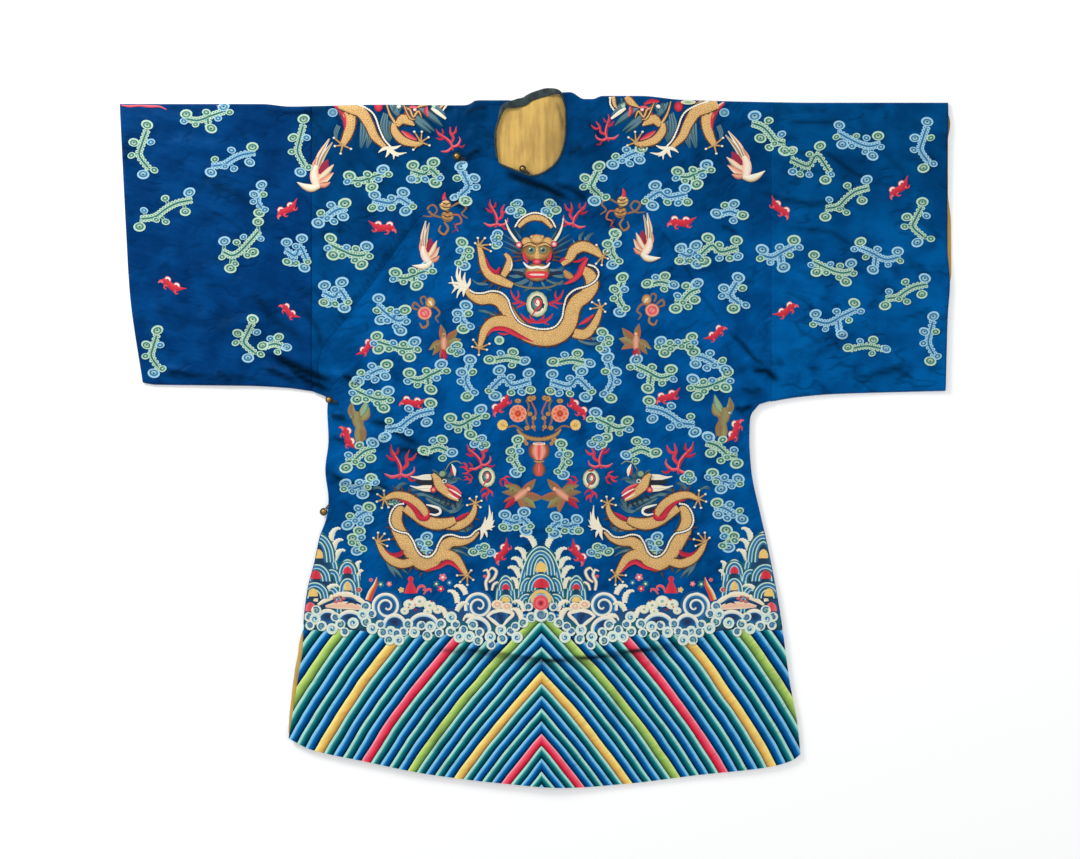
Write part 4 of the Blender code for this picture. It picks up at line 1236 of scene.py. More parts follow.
# x, y, half width, half height, layout, hue; a width below 0 is turned over
CLOUDS = [
    (144, 152, 20, 30, 3, "g"), (207, 118, 28, 15, 2, "g"), (234, 162, 28, 18, 0, "b"),
    (301, 148, 16, 32, 3, "g"), (167, 213, 33, 24, 0, "g"), (242, 249, -24, 37, 4, "g"),
    (333, 215, 20, 15, 0, "b"), (368, 179, 26, 13, 2, "g"), (297, 253, 16, 22, 1, "b"),
    (349, 253, 26, 19, 4, "g"), (336, 295, 18, 19, 1, "b"), (249, 340, 22, 24, 3, "g"),
    (155, 353, 16, 26, 3, "g"), (426, 173, 20, 15, 1, "g"), (393, 202, 26, 14, 1, "b"),
    (465, 185, -20, 22, 3, "b"),
    (628, 158, 21, 13, 0, "b"), (595, 185, 20, 22, 3, "g"), (693, 175, 23, 14, 2, "g"),
    (666, 196, -27, 15, 1, "b"), (768, 137, -22, 25, 0, "g"), (810, 163, 26, 27, 1, "g"),
    (858, 143, 27, 22, 4, "b"), (923, 147, 18, 28, 3, "b"), (847, 202, 28, 26, 0, "g"),
    (917, 224, 23, 25, 3, "g"), (729, 213, 20, 15, 5, "b"), (718, 250, -26, 18, 1, "g"),
    (779, 254, 25, 18, 2, "b"), (877, 256, -28, 18, 2, "b"), (832, 270, 26, 19, 4, "g"),
    (906, 294, 27, 19, 0, "g"), (734, 294, 21, 20, 3, "b"), (836, 319, 29, 20, 2, "b"),
    (866, 347, 26, 12, 5, "g"), (930, 340, 14, 27, 3, "b"),
    (413, 276, 25, 14, 2, "g"), (392, 317, 20, 24, 4, "b"), (464, 255, -12, 16, 3, "g"),
    (464, 318, 14, 16, 3, "b"), (613, 250, 13, 20, 3, "g"), (620, 296, 13, 22, 3, "g"),
    (604, 342, -11, 13, 3, "g"), (660, 283, 20, 12, 5, "g"), (396, 347, 27, 15, 4, "g"),
    (374, 374, 21, 13, 0, "b"), (427, 377, 25, 17, 2, "g"), (372, 397, 24, 17, 4, "g"),
    (468, 379, 14, 23, 3, "b"), (510, 383, -27, 20, 1, "b"), (507, 359, 25, 12, 5, "g"),
    (410, 423, 31, 24, 0, "b"), (467, 422, 24, 17, 2, "g"), (361, 457, 20, 18, 0, "g"),
    (438, 449, 21, 18, 5, "g"), (516, 457, 12, 21, 3, "g"), (360, 486, 21, 12, 2, "b"),
    (571, 361, 26, 13, 5, "g"), (571, 384, 27, 20, 1, "b"), (610, 379, -14, 25, 3, "b"),
    (652, 374, -27, 19, 2, "g"), (676, 345, -23, 12, 4, "g"), (708, 362, -23, 14, 0, "b"),
    (710, 385, -25, 17, 4, "g"), (610, 425, -25, 17, 2, "g"), (670, 419, -31, 22, 0, "b"),
    (563, 460, -12, 20, 3, "g"), (641, 451, -22, 20, 5, "g"), (721, 452, -21, 19, 0, "g"),
    (724, 481, -21, 12, 2, "b"), (360, 517, 17, 14, 0, "b"), (358, 541, 12, 14, 3, "g"),
    (517, 521, 19, 14, 1, "b"), (482, 551, 14, 9, 5, "g"), (564, 525, -20, 13, 1, "b"),
    (600, 551, -14, 9, 5, "g"), (728, 512, -19, 13, 0, "b"), (728, 539, -13, 13, 3, "g"),
    (516, 210, 10, 11, 5, "b"), (551, 210, -10, 11, 5, "g"), (687, 298, 17, 18, 0, "g"),
    (690, 255, 16, 14, 1, "b"), (425, 546, 12, 13, 3, "b"), (655, 546, 12, 13, 3, "b"),
    (480, 443, 10, 9, 5, "b"), (597, 443, 10, 9, 5, "b"), (497, 240, 7, 9, 3, "b"),
    (456, 350, 9, 9, 5, "g"), (395, 500, 8, 8, 5, "g"), (688, 478, 8, 8, 5, "g"),
    (260, 200, 12, 18, 3, "b"), (275, 345, 18, 13, 5, "g")]
print(len(CLOUDS), "clouds from", len(CLOUD_LAYOUTS), "layouts")


# %% Clouds
def cloud_head(work, x, y, hue, size, turn):
    """An oval head with a pale rim, widest on the side that turn points down to."""
    rim, ring, eye, _, mark = CLOUD_HUES[hue]
    wide, high = HEAD[0] * size, HEAD[1] * size
    c, s = cos(radians(turn)) * high, sin(radians(turn)) * high

    def inner(off, share, colours, sides):
        work.spot(x + off * s, y - off * c, wide * share, high * share, colours, turn, 0.05, sides)

    work.spot(x, y, wide, high, [rim, rim, rim], turn, 0.06, 14)
    inner(0.08, 0.72, [ring, ring, eye], 12)
    if size < SMALL_HEAD:
        inner(0.05, 0.3, [eye, rim], 8)
        return
    inner(0.14, 0.46, [eye, rim], 10)
    inner(0.02, 0.2, [mark, mark], 6)


def draw_cloud(work, x, y, wide, high, layout, hue):
    """Stems first, then the ribbons with their lobes and cores, then the heads."""
    ribbons, heads = CLOUD_LAYOUTS[layout]
    side = 1 if wide > 0 else -1
    size = min(1.0, 0.66 + 0.024 * min(abs(wide), high))
    if abs(x - CHART_SEAM) > SLEEVES_FROM:
        size *= 0.9               # the sleeves' clouds are finer and further apart
    reach_x = max(abs(wide) - HEAD[0] * size * 0.7, 3) * side
    reach_y = max(high - HEAD[1] * size * 0.7, 3)
    rim, ring, _, core, _ = CLOUD_HUES[hue]
    lines = [[(x + px * reach_x, y + py * reach_y, 2.1 * size) for px, py in ribbon]
             for ribbon in ribbons]
    shift = int(x + y) % 7 * 0.12      # clouds that touch lie at slightly different heights
    spine = np.vstack([smooth_path(line, 2.0)[:, :2] for line in lines])
    middles = []
    for px, py, share in heads:        # a head sits close to its ribbon, on a short stem
        place = np.array((x + px * reach_x, y + py * reach_y))
        near = spine[np.argmin(np.hypot(*(spine - place).T))]
        away = max(np.hypot(*(near - place)), 0.01)
        place = near + (place - near) / away * min(away, STEM + away * STEM_SHARE)
        middles.append(place)
        if away > 3.0:
            work.order = shift
            work.stroke([(*near, 2.3 * size), (*((near + place) / 2), 1.9 * size),
                         (*place, 2.6 * size)], [rim, ring, core, ring, rim], lanes=4, pad=0.2)
    for line in lines:
        bends = smooth_path(line, LOBE_STEP)
        run = np.gradient(bends[:, :2], axis=0)
        run /= np.maximum(np.hypot(*run.T), 1e-6)[:, None]
        work.order = 1 + shift
        work.stroke(line, [rim, ring, ring, rim], lanes=3, spacing=2.0, pad=0.2)
        for i, ((px, py, _), (run_x, run_y)) in enumerate(zip(bends, run)):
            work.order = 3 + i % 2 + shift
            for over in (-LOBE_OUT * size, LOBE_OUT * size):
                work.spot(px - run_y * over, py + run_x * over, 2.2 * size, 2.0 * size,
                          [rim, rim, ring], pad=0.1, sides=7)
        work.order = 6 + shift
        work.stroke([(px, py, size) for px, py, _ in line], [ring, core, ring], lanes=2,
                    spacing=2.0, pad=0.1)
    for i, ((px, py, share), place) in enumerate(zip(heads, middles)):
        turn = ((i * 37 + int(x)) % 5 - 2) * 9 + (0 if py > 0 else 180)
        work.order = 8 + 5 * (i % 2) + shift
        cloud_head(work, *place, "gb"[(i % 3 == 1) ^ (hue == "b")],
                   size * (share if share > SMALL_HEAD else share * 1.08), turn)


sky = Embroidery()
for row in CLOUDS:
    draw_cloud(sky, *row)
sky.settle("clouds", thread_look)

# %% [markdown]
# ## Dragons
#
# Dragons are the robe's chief motif, couched in gold thread: one faces out on the chest, two
# stride above the waves, and two more lie over the shoulders. Each is drawn with a few strokes,
# the far ones first. A dark line edges every gold form, a white comb runs down the back, and
# red silk lines the belly. The lower pair and the shoulder pair are each one drawing, mirrored.

# %% Dragon strokes
def draw_dragon(work, rows, mirror=None):
    """Draws a dragon's rows. A row is a kind and its places, or a stroke's colours and points."""
    work.mirrored = mirror
    work.motif()
    for kind, *rest in rows:
        if kind == "gold":
            fine = 6 if max(w for _, _, w in rest[0]) > 3 else 2   # fine enough to follow a fold
            work.stroke([(x, y, w + 0.3) for x, y, w in rest[0]], "outline", pad=0.05,
                        lanes=fine, teeth=(3.0, 0.07))
            work.stroke([(x, y, max(w - 0.5, 0.2)) for x, y, w in rest[0]],
                        ["gold", "amber", "amber", "amber", "amber", "gold"], pad=0.4, lanes=6)
        elif kind == "comb":
            work.stroke([(x, y, 1.6) for x, y in rest[0]], "dark", pad=0.1)
            work.stroke([(x, y, 1.05) for x, y in rest[0]], "white", pad=0.4, spacing=1.2,
                        teeth=(2.4, 0.22))
        elif kind == "claws":
            paw_x, paw_y = rest[0]
            work.spot(paw_x, paw_y, 2.0, 1.9, ["gold", "gold"], sides=8)
            for x, y in rest[1]:
                mid_x, mid_y = paw_x * 0.4 + x * 0.6, paw_y * 0.4 + y * 0.6
                work.stroke([(paw_x, paw_y, 1.2), (mid_x, mid_y, 0.9), (x, y, 0.6)],
                            ["outline", "amber", "outline"], pad=0.3)
                work.spot(x, y, 1.5, 1.3, ["smoke", "white", "white"], pad=0.3, sides=8)
        elif kind == "fan":
            root_x, root_y = rest[0]
            for x, y, bend in rest[1]:
                mid_x = (root_x + x) / 2 - (y - root_y) * bend
                mid_y = (root_y + y) / 2 + (x - root_x) * bend
                work.stroke([(root_x, root_y, 1.6), (mid_x, mid_y, 1.5), (x, y, 0.3)],
                            ["cream", "white"], pad=0.4)
        elif kind == "hair":
            for x, y, to_x, to_y in rest[1]:
                work.stroke([(x, y, 1.1), ((x * 2 + to_x) / 3, (y * 2 + to_y) / 3, 1.0),
                             (to_x, to_y, 0.15)], rest[0], pad=0.2, lanes=1)
        elif kind == "spots":
            for x, y, wide, high, *colours in rest[0]:
                work.spot(x, y, wide, high, colours, pad=0.1)
        elif kind == "smoke":
            for line in rest[0]:
                work.stroke([(x, y, w * 0.8) for x, y, w in line],
                            ["shadow_green", "smoke", "shadow_green"], pad=0.05)
            for line in rest[0]:
                for k in (-1, 0, 1):
                    work.stroke([(x + k * w * 0.62, y + k * 0.9, w * 0.24) for x, y, w in line],
                                ["smoke", "steel", "smoke"], tip="smoke", pad=0.15)
        else:
            work.stroke(rest[0], kind.split("-"), pad=0.35)
    work.mirrored = None


print("a dragon can be drawn")

# %% The chest dragon
CHEST_DRAGON = [
    ("hair", "smoke", [(520, 246, 503, 234), (521, 250, 501, 240), (520, 254, 503, 247),
     (519, 242, 508, 229), (553, 246, 570, 234), (552, 250, 573, 239), (553, 254, 570, 248),
     (554, 242, 564, 229), (521, 239, 513, 227), (552, 239, 560, 227)]),
    ("hair", "navy", [(520, 248, 504, 237), (520, 252, 502, 244), (553, 248, 572, 236),
     (553, 252, 571, 244), (520, 244, 509, 233), (553, 244, 563, 232)]),
    ("smoke", [[(526, 270, 2), (516, 271, 2.6), (508, 267, .4)], [(526, 274, 2), (515, 277, 2.6),
     (507, 275, .4)], [(528, 280, 2), (519, 284, 2.4), (510, 284, .4)], [(548, 270, 2),
     (558, 271, 2.6), (564, 267, .4)], [(548, 274, 2), (560, 277, 2.6), (568, 274, .4)],
     [(546, 280, 2), (556, 284, 2.4), (566, 283, .4)], [(532, 282, 1.6), (529, 288, 1.6),
     (523, 292, .3)], [(542, 282, 1.6), (545, 288, 1.6), (552, 291, .3)], [(586, 243, 1.4),
     (588, 237, 1.6), (594, 233, .3)], [(580, 243, 1.4), (580, 237, 1.6), (584, 232, .3)],
     [(496, 316, 2.4), (486, 312, 2.4), (478, 311, .4)], [(579, 341, 2.2), (590, 344, 2.4),
     (600, 343, .4)], [(582, 338, 2), (594, 339, 2), (603, 336, .4)], [(487, 284, 2),
     (478, 284, 1.8), (472, 280, .3)]]),
    ("navy-dark-navy", [(514, 272, 1), (520, 274, 2.2), (526, 277, 1)]),
    ("navy-dark-navy", [(561, 272, 1), (554, 274, 2.2), (548, 277, 1)]),
    ("shadow_green-drab-smoke", [(506, 280, .6), (519, 286, 1.2), (535, 288.5, 1.3),
     (551, 287, 1.2), (563, 281, .6)]),
    ("gold", [(573, 333, 5.4), (584, 334.5, 5.6), (592, 328, 4.8), (597.4, 318, 3.8),
     (600.4, 309, 2.4)]),
    ("hair", "outline", [(594, 331, 598, 333), (597, 326, 601, 327), (589, 338, 593, 341)]),
    ("wine-coral-wine", [(579, 325, .6), (586, 321, 2.2), (593.6, 315, .8)]),
    ("claws", (600.6, 307.6), [(590.4, 309), (592, 302.4), (598.6, 300.6), (605.4, 304),
     (605, 312)]),
    ("gold", [(465.5, 286.6, 1.8), (470, 294, 4.2), (480, 299.4, 5.8), (491.5, 298.6, 6.4),
     (500.8, 302, 7), (507, 310.6, 7.6), (513, 321, 8.2), (523, 331, 8.8), (536, 337, 9),
     (550, 338, 8.8), (562, 333, 8.6), (569.4, 323, 8.2), (572.4, 311, 8), (577, 302, 7.8),
     (586, 295.4, 7.4), (592, 285.4, 7.2), (589.6, 275.6, 6.6), (583, 269.6, 4.4)]),
    ("hair", "outline", [(494, 318, 488, 313), (499, 317, 494, 311), (504, 316, 500, 311),
     (489, 321, 483, 318), (483, 328, 479, 326)]),
    ("gold", [(515, 325, 6.4), (503.6, 321.6, 6.6), (492.6, 323, 5.8), (485, 330.4, 4.8),
     (481.6, 340.6, 3.6), (479.4, 349, 2.2)]),
    ("wine-red-coral", [(487.6, 336, .5), (493, 329.6, 1.9), (505, 328.8, 2.7), (518, 335.4, 2.1),
     (533, 342, .5)]),
    ("wine-coral", [(498, 333, .4), (504, 334.4, 1.2), (511, 333, .4)]),
    ("claws", (479.4, 348.6), [(473.6, 340), (472.6, 347), (479, 355), (487, 350), (489.6, 344)]),
    ("spots", [(499.4, 340.6, 5, 4.6, "rim_green", "rim_green", "ring_green", "eye_green")]),
    ("comb", [(469.6, 290.4), (475, 293.2), (483, 293.4), (492, 291.4), (501, 293), (508, 299.6),
     (511.6, 310), (518, 320.6), (527, 326), (541, 329.4), (554, 327.4), (561.6, 318.4),
     (564, 306.4), (567, 297), (575, 290), (586, 286.6), (595, 281.4), (598.6, 273.6),
     (595, 267.4), (587.6, 264.8)]),
    ("fan", (466.6, 288), [(458, 265, -.2), (465.4, 272.6, -.12), (451.6, 276.6, -.3),
     (470.4, 278.6, .1), (452, 293.6, .24), (457, 298.4, .2), (463.6, 297, .1), (461, 269, -.2),
     (448.6, 283.4, .1)]),
    ("gold", [(512.6, 286, 3.4), (502, 281.6, 5), (490.6, 276, 5.2), (484, 266.4, 4.4),
     (481.4, 255, 3.6), (479, 246.4, 2.4)]),
    ("hair", "outline", [(487, 281, 482, 283), (493, 284, 489, 288), (500, 287, 497, 291),
     (481, 272, 477, 273)]),
    ("red-wine", [(486, 258, .5), (488.6, 268, 2.3), (496, 273.6, 2.7), (500, 268, 1)]),
    ("gold", [(505, 254, 2), (509.4, 260, 3.4), (507.4, 268.6, 4.2), (503, 276.4, 3.4)]),
    ("white", [(511.4, 261, .6), (511.8, 266, .9), (510.4, 271, .6)]),
    ("claws", (479, 246), [(475.4, 243.6), (478, 238.4), (485, 238.6), (490.4, 245),
     (491, 251.6)]),
    ("hair", "steel", [(575, 245, 573, 240), (580, 243, 579, 238), (585, 242, 585, 237)]),
    ("dark_gold-gold-dark_gold", [(564, 271, 1.4), (568, 275.6, 3.6), (574, 278.6, 1.4)]),
    ("gold", [(562, 265, 2.6), (569.6, 258, 4.8), (574, 250.4, 5.8), (583.4, 246.6, 5.8),
     (593, 250.2, 5), (600, 255.6, 3), (604, 258, 1.6)]),
    ("red-wine", [(559.6, 262.4, .8), (564, 260.2, 2.2), (569.4, 260, .8)]),
    ("wine-red", [(573, 262.4, .5), (579, 261.2, 1.5), (586, 257.6, 1)]),
    ("red-coral-wine", [(587.4, 258.6, 1), (582.4, 266, 2.8), (579, 274, 3), (573, 280, 2.4),
     (564.8, 284.4, .8)]),
    ("claws", (602.6, 257), [(596.4, 245.4), (607.4, 251.6), (607.8, 259), (601.6, 265.4),
     (596, 264)]),
    ("gold", [(518.6, 227.4, 2.2), (526.4, 220.4, 3.2), (535, 218, 3.5), (544.4, 220.4, 3.2),
     (552, 228, 2.2)]),
    ("comb", [(515, 227.4), (519.6, 220.4), (526.4, 215.6), (535, 213.4), (544.6, 215.6),
     (551.4, 220.4), (555.6, 228)]),
    ("hair", "shadow_green", [(516, 234, 514, 229), (520, 233, 518, 228), (553, 233, 554, 228),
     (557, 234, 558, 229), (524, 231, 523, 226), (548, 231, 549, 226)]),
    ("dark", [(506.6, 222.6, .4), (511, 231, .9), (519, 242, 1)]),
    ("white-cream", [(505.4, 220, .5), (509, 229.6, 1.2), (513.6, 237, 1.5), (519, 243.4, 1.6)]),
    ("dark", [(562.4, 221, .4), (559.4, 230, .9), (553, 241, 1)]),
    ("white-cream", [(563.4, 218.4, .5), (561.2, 228.4, 1.2), (557.6, 236.4, 1.5),
     (553.4, 242.4, 1.6)]),
    # the face
    ("spots", [(537, 252, 16.4, 10.6, "outline", "dark_gold", "gold", "gold"),
     (537, 272.6, 13, 9.6, "outline", "gold", "gold")]),
    ("spots", [(526.6, 242, 5.2, 4.4, "dark_gold", "amber", "amber"),
     (547.4, 242, 5.2, 4.4, "dark_gold", "amber", "amber"), (537, 239.4, 7, 4.6, "dark_gold",
     "amber", "amber"), (532, 237.4, 2.2, 1.8, "dark_gold", "amber"),
     (542, 237.4, 2.2, 1.8, "dark_gold", "amber")]),
    ("gold", [(523, 247.6, .8), (529, 244.6, 1.6), (536, 246.6, 1.4)]),
    ("gold", [(551, 247.6, .8), (545, 244.6, 1.6), (538, 246.6, 1.4)]),
    ("spots", [(519, 245.4, 3.4, 3.2, "wine", "pink", "white"), (554, 244.6, 3.4, 3.2, "wine",
     "pink", "white"), (531.2, 250.6, 4.6, 4.4, "outline", "moss", "smoke", "dark"),
     (543, 250.6, 4.6, 4.4, "outline", "moss", "smoke", "dark"), (529.8, 249.2, .8, .7, "white"),
     (541.6, 249.2, .8, .7, "white")]),
    ("amber", [(537.1, 248, 1.2), (537.1, 254, 2), (537, 259, 2.6)]),
    ("red-coral", [(523.4, 252.6, .5), (525, 258, 1.7), (528, 263.6, .6)]),
    ("coral-red", [(551, 252.6, .5), (549.6, 258, 1.7), (546.4, 263.6, .6)]),
    ("hair", "outline", [(521, 254, 511, 253), (521, 257, 511, 258), (522, 260, 513, 262),
     (553, 254, 561, 252), (553, 257, 562, 258), (552, 260, 560, 262)]),
    ("spots", [(536.8, 262, 4.6, 3.3, "wine", "coral", "pink")]),
    ("white", [(523.4, 262.6, .5), (527, 266.6, 1.2), (532, 268.4, 1.3), (537, 267.4, 1.2),
     (542, 268.4, 1.3), (547, 266.8, 1.2), (550, 263, .5)]),
    ("red-coral-coral-red", [(526.4, 275, 2.6), (529, 275, 4.8), (537, 275, 5.2), (545, 275, 4.8),
     (547.8, 275, 2.6)]),
    ("pink-white-pink", [(529.6, 275, 1.2), (532, 275, 2.3), (537, 275, 2.6), (542, 275, 2.3),
     (544.6, 275, 1.2)]),
    ("outline", [(532, 274.8, .2), (537, 275, .35), (542, 274.8, .2)])]
print("chest dragon:", len(CHEST_DRAGON), "rows")

# %% The striding dragons
STRIDING_DRAGON = [
    ("smoke", [[(424, 494, 3), (434, 499, 4), (446, 505, 2)], [(428, 499, 3), (438, 505, 4),
     (449, 511, 2)], [(433, 498, 3), (444, 502, 4), (456, 506, 2)], [(452, 508, 2.6),
     (458, 504, 2.4), (463, 498, .4)], [(449, 512, 2.4), (456, 510, 2.4), (464, 504, .4)],
     [(424, 490, 2.4), (416, 489, 2.4), (409, 491, .4)], [(425, 494, 2.4), (417, 495, 2.2),
     (411, 498, .4)], [(452, 546, 2.6), (462, 546, 3), (471, 550, .5)], [(450, 550, 2.6),
     (460, 551, 3), (469, 556, .5)], [(458, 530, 2), (466, 530, 2), (473, 526, .4)],
     [(391, 565, 2.6), (397, 571, 3), (403, 578, .5)], [(388, 562, 2.4), (392, 570, 2.6),
     (396, 577, .4)], [(396, 563, 2.4), (403, 569, 2.6), (408, 573, .4)], [(384, 490, 2),
     (378, 487, 2), (373, 489, .4)], [(397, 489, 1.6), (402, 484, 1.6), (408, 483, .3)]]),
    ("gold", [(447, 525, 5), (458, 525.6, 4.8), (468, 520.4, 4.4), (474, 511.6, 3.4),
     (475.4, 503.4, 2)]),
    ("hair", "outline", [(470, 524, 474, 527), (475, 518, 480, 520), (464, 528, 467, 532)]),
    ("red-wine", [(454, 520, .6), (461, 517.6, 2.4), (469, 512.6, .8)]),
    ("claws", (475.4, 503), [(467.4, 505), (470, 498.4), (476.6, 496.6), (481.6, 500.6),
     (480.6, 507)]),
    ("gold", [(402, 505.4, 4), (397.6, 511, 6.4), (396, 520, 7), (398.4, 529, 7.4),
     (404, 539, 7.8), (410.6, 550, 8), (418, 559.4, 8.2), (428, 563.4, 8.2), (437, 558.4, 7.8),
     (443.4, 548, 7), (451, 541.6, 5.8), (462, 541.4, 4.6), (471.4, 538, 3.6),
     (479, 531.6, 1.6)]),
    ("hair", "outline", [(446, 556, 449, 562), (412, 567, 409, 572), (422, 572, 420, 577),
     (403, 552, 399, 556), (395, 538, 390, 540), (391, 527, 386, 527)]),
    ("gold", [(455.4, 519.6, 3.8), (447, 522.6, 5.6), (436, 523.6, 6.6), (424.6, 520, 6.4),
     (414, 513, 5.8), (405.6, 507, 5.2)]),
    ("gold", [(413.6, 561, 4.6), (402.4, 563.4, 5), (391, 559, 4.8), (383, 550.6, 3.8),
     (378.2, 542.4, 2.2)]),
    ("wine-red", [(384.6, 549, .5), (392, 554.4, 1.9), (401, 553.6, 2.4), (403.4, 549.6, 1)]),
    ("claws", (378, 541.6), [(374, 537.6), (378.6, 532.4), (385, 533.4), (389.4, 539),
     (387.6, 545.6)]),
    ("gold", [(434.6, 559.6, 4.8), (446, 554.4, 5.6), (455.4, 557.4, 5), (461.6, 566, 4),
     (467.4, 575, 2.2)]),
    ("wine-red-coral", [(425, 570.4, .5), (438, 566.6, 2), (448, 561.6, 2.4), (456.4, 565.4, 2),
     (462.6, 573, .5)]),
    ("claws", (467.4, 574.6), [(457.4, 575), (460.4, 581.6), (467.6, 584.4), (473.4, 579.4),
     (471.4, 570)]),
    ("comb", [(404.4, 503.4), (397, 505), (391.6, 512), (390, 521), (393.6, 528.4), (401, 531.8),
     (408, 533.4), (413.4, 540.4), (417.4, 549.4), (423, 555.4), (430, 556.2), (435.4, 551.4),
     (439, 543), (444, 536), (452, 534.4), (461.6, 537), (470, 536), (476, 530.6), (482, 527.4)]),
    ("fan", (482, 528.4), [(489.4, 505, .16), (492.6, 511.6, .2), (485.4, 516.6, .1),
     (494.4, 519.6, .2), (492.4, 530, -.2), (487.4, 537, -.14), (480.4, 539.6, -.1),
     (495, 525.6, .06)]),
    ("gold", [(427.4, 514.4, 4.2), (419.4, 504.4, 4.8), (408, 497, 4.8), (395.4, 494.8, 4),
     (386, 498.4, 2.4)]),
    ("hair", "outline", [(410, 492, 409, 487), (403, 490, 401, 485), (396, 490, 393, 485),
     (416, 497, 416, 492)]),
    ("wine-red-wine", [(398, 500, .4), (406, 501.6, 1.6), (414, 507.4, 2.6), (421, 516.4, 2.8),
     (427.4, 519, 1.6)]),
    ("coral-red-wine", [(416, 514, 1), (421, 518, 2.4), (428, 517.4, 2.2), (428.6, 509.6, 1)]),
    ("claws", (385, 498.6), [(384.4, 490.4), (378, 494), (377.4, 501.4), (382.4, 507.6),
     (389, 507)]),
    ("dark", [(430, 508.6, 1.2), (434, 509.8, 2.6), (438, 511.4, 1)]),
    ("white", [(426.6, 504.4, .5), (433, 506, 1.1), (439.4, 508.4, 1.3), (440.6, 512.4, 1.2),
     (436, 514.8, 1.1), (430, 513.6, .6)]),
    # the head, seen from the side
    ("smoke", [[(444, 476, 1.6), (446, 472, 1.6), (444, 468, .3)], [(448, 478, 1.4),
     (452, 473, 1.6), (457, 471, .3)], [(441, 478, 1.6), (437, 472, 1.6), (432, 470, .3)],
     [(451, 481, 1.2), (457, 478, 1.2), (463, 480, .3)]]),
    ("dark", [(416, 481.6, 1.4), (424, 482, 3.4), (436, 482, 4)]),
    ("cream-white-cream", [(411, 476.4, .4), (417, 477.4, 1.2), (424, 477.4, 2.9),
     (432, 477.4, 3.3)]),
    ("cream-white-cream", [(410.4, 485.6, .4), (417, 487.4, 1.2), (424, 488, 2.9),
     (432, 488.4, 3.3)]),
    ("brown", [(419, 477, .2), (426, 477, .5), (432, 477, .5)]),
    ("brown", [(419, 488.6, .2), (426, 488.4, .5), (432, 488.6, .5)]),
    ("shadow_green-smoke-steel", [(440, 478, 2), (446, 480, 3.6), (453, 481, 2.4),
     (458, 480, .5)]),
    ("gold", [(433, 473.6, 2), (437, 479, 4.4), (440, 485.4, 5.4), (446, 491.4, 4.6),
     (452, 496.4, 3.2), (458.6, 500.4, 1.4)]),
    ("spots", [(442.6, 473.6, 3.4, 3.2, "smoke", "sage", "moss"), (444.6, 481, 2.8, 2.4, "dark",
     "white", "smoke", "dark"), (433.6, 489.6, 3.2, 3.2, "wine", "coral", "peach")]),
    ("wine-red-coral", [(447, 489.6, 1), (453, 493.4, 2.8), (460, 498, 1)]),
    ("pink-coral-wine", [(446, 484.4, 1.2), (452, 487.4, 2.4), (457, 490.4, 2),
     (461.6, 494, .8)]),
    ("white", [(449, 488.6, .4), (455, 491.6, .9), (461.4, 496, .5)]),
    ("white", [(448, 493.4, .4), (453, 496.4, .8), (458, 499, .4)]),
    ("hair", "dark", [(443, 497, 440, 503), (447, 500, 445, 506), (451, 502, 450, 508),
     (438, 495, 433, 499), (455, 503, 456, 508)]),
    ("cream-white", [(455, 476, .4), (454.6, 470, 1.8), (452, 464, .4)]),
    ("red", [(453, 475.4, .3), (452, 471, 1), (451, 467, .2)]),
    ("moss", [(446, 470, .3), (450, 463.4, .5), (457, 461, .5), (462, 464, .3)])]
print("striding dragon:", len(STRIDING_DRAGON), "rows")

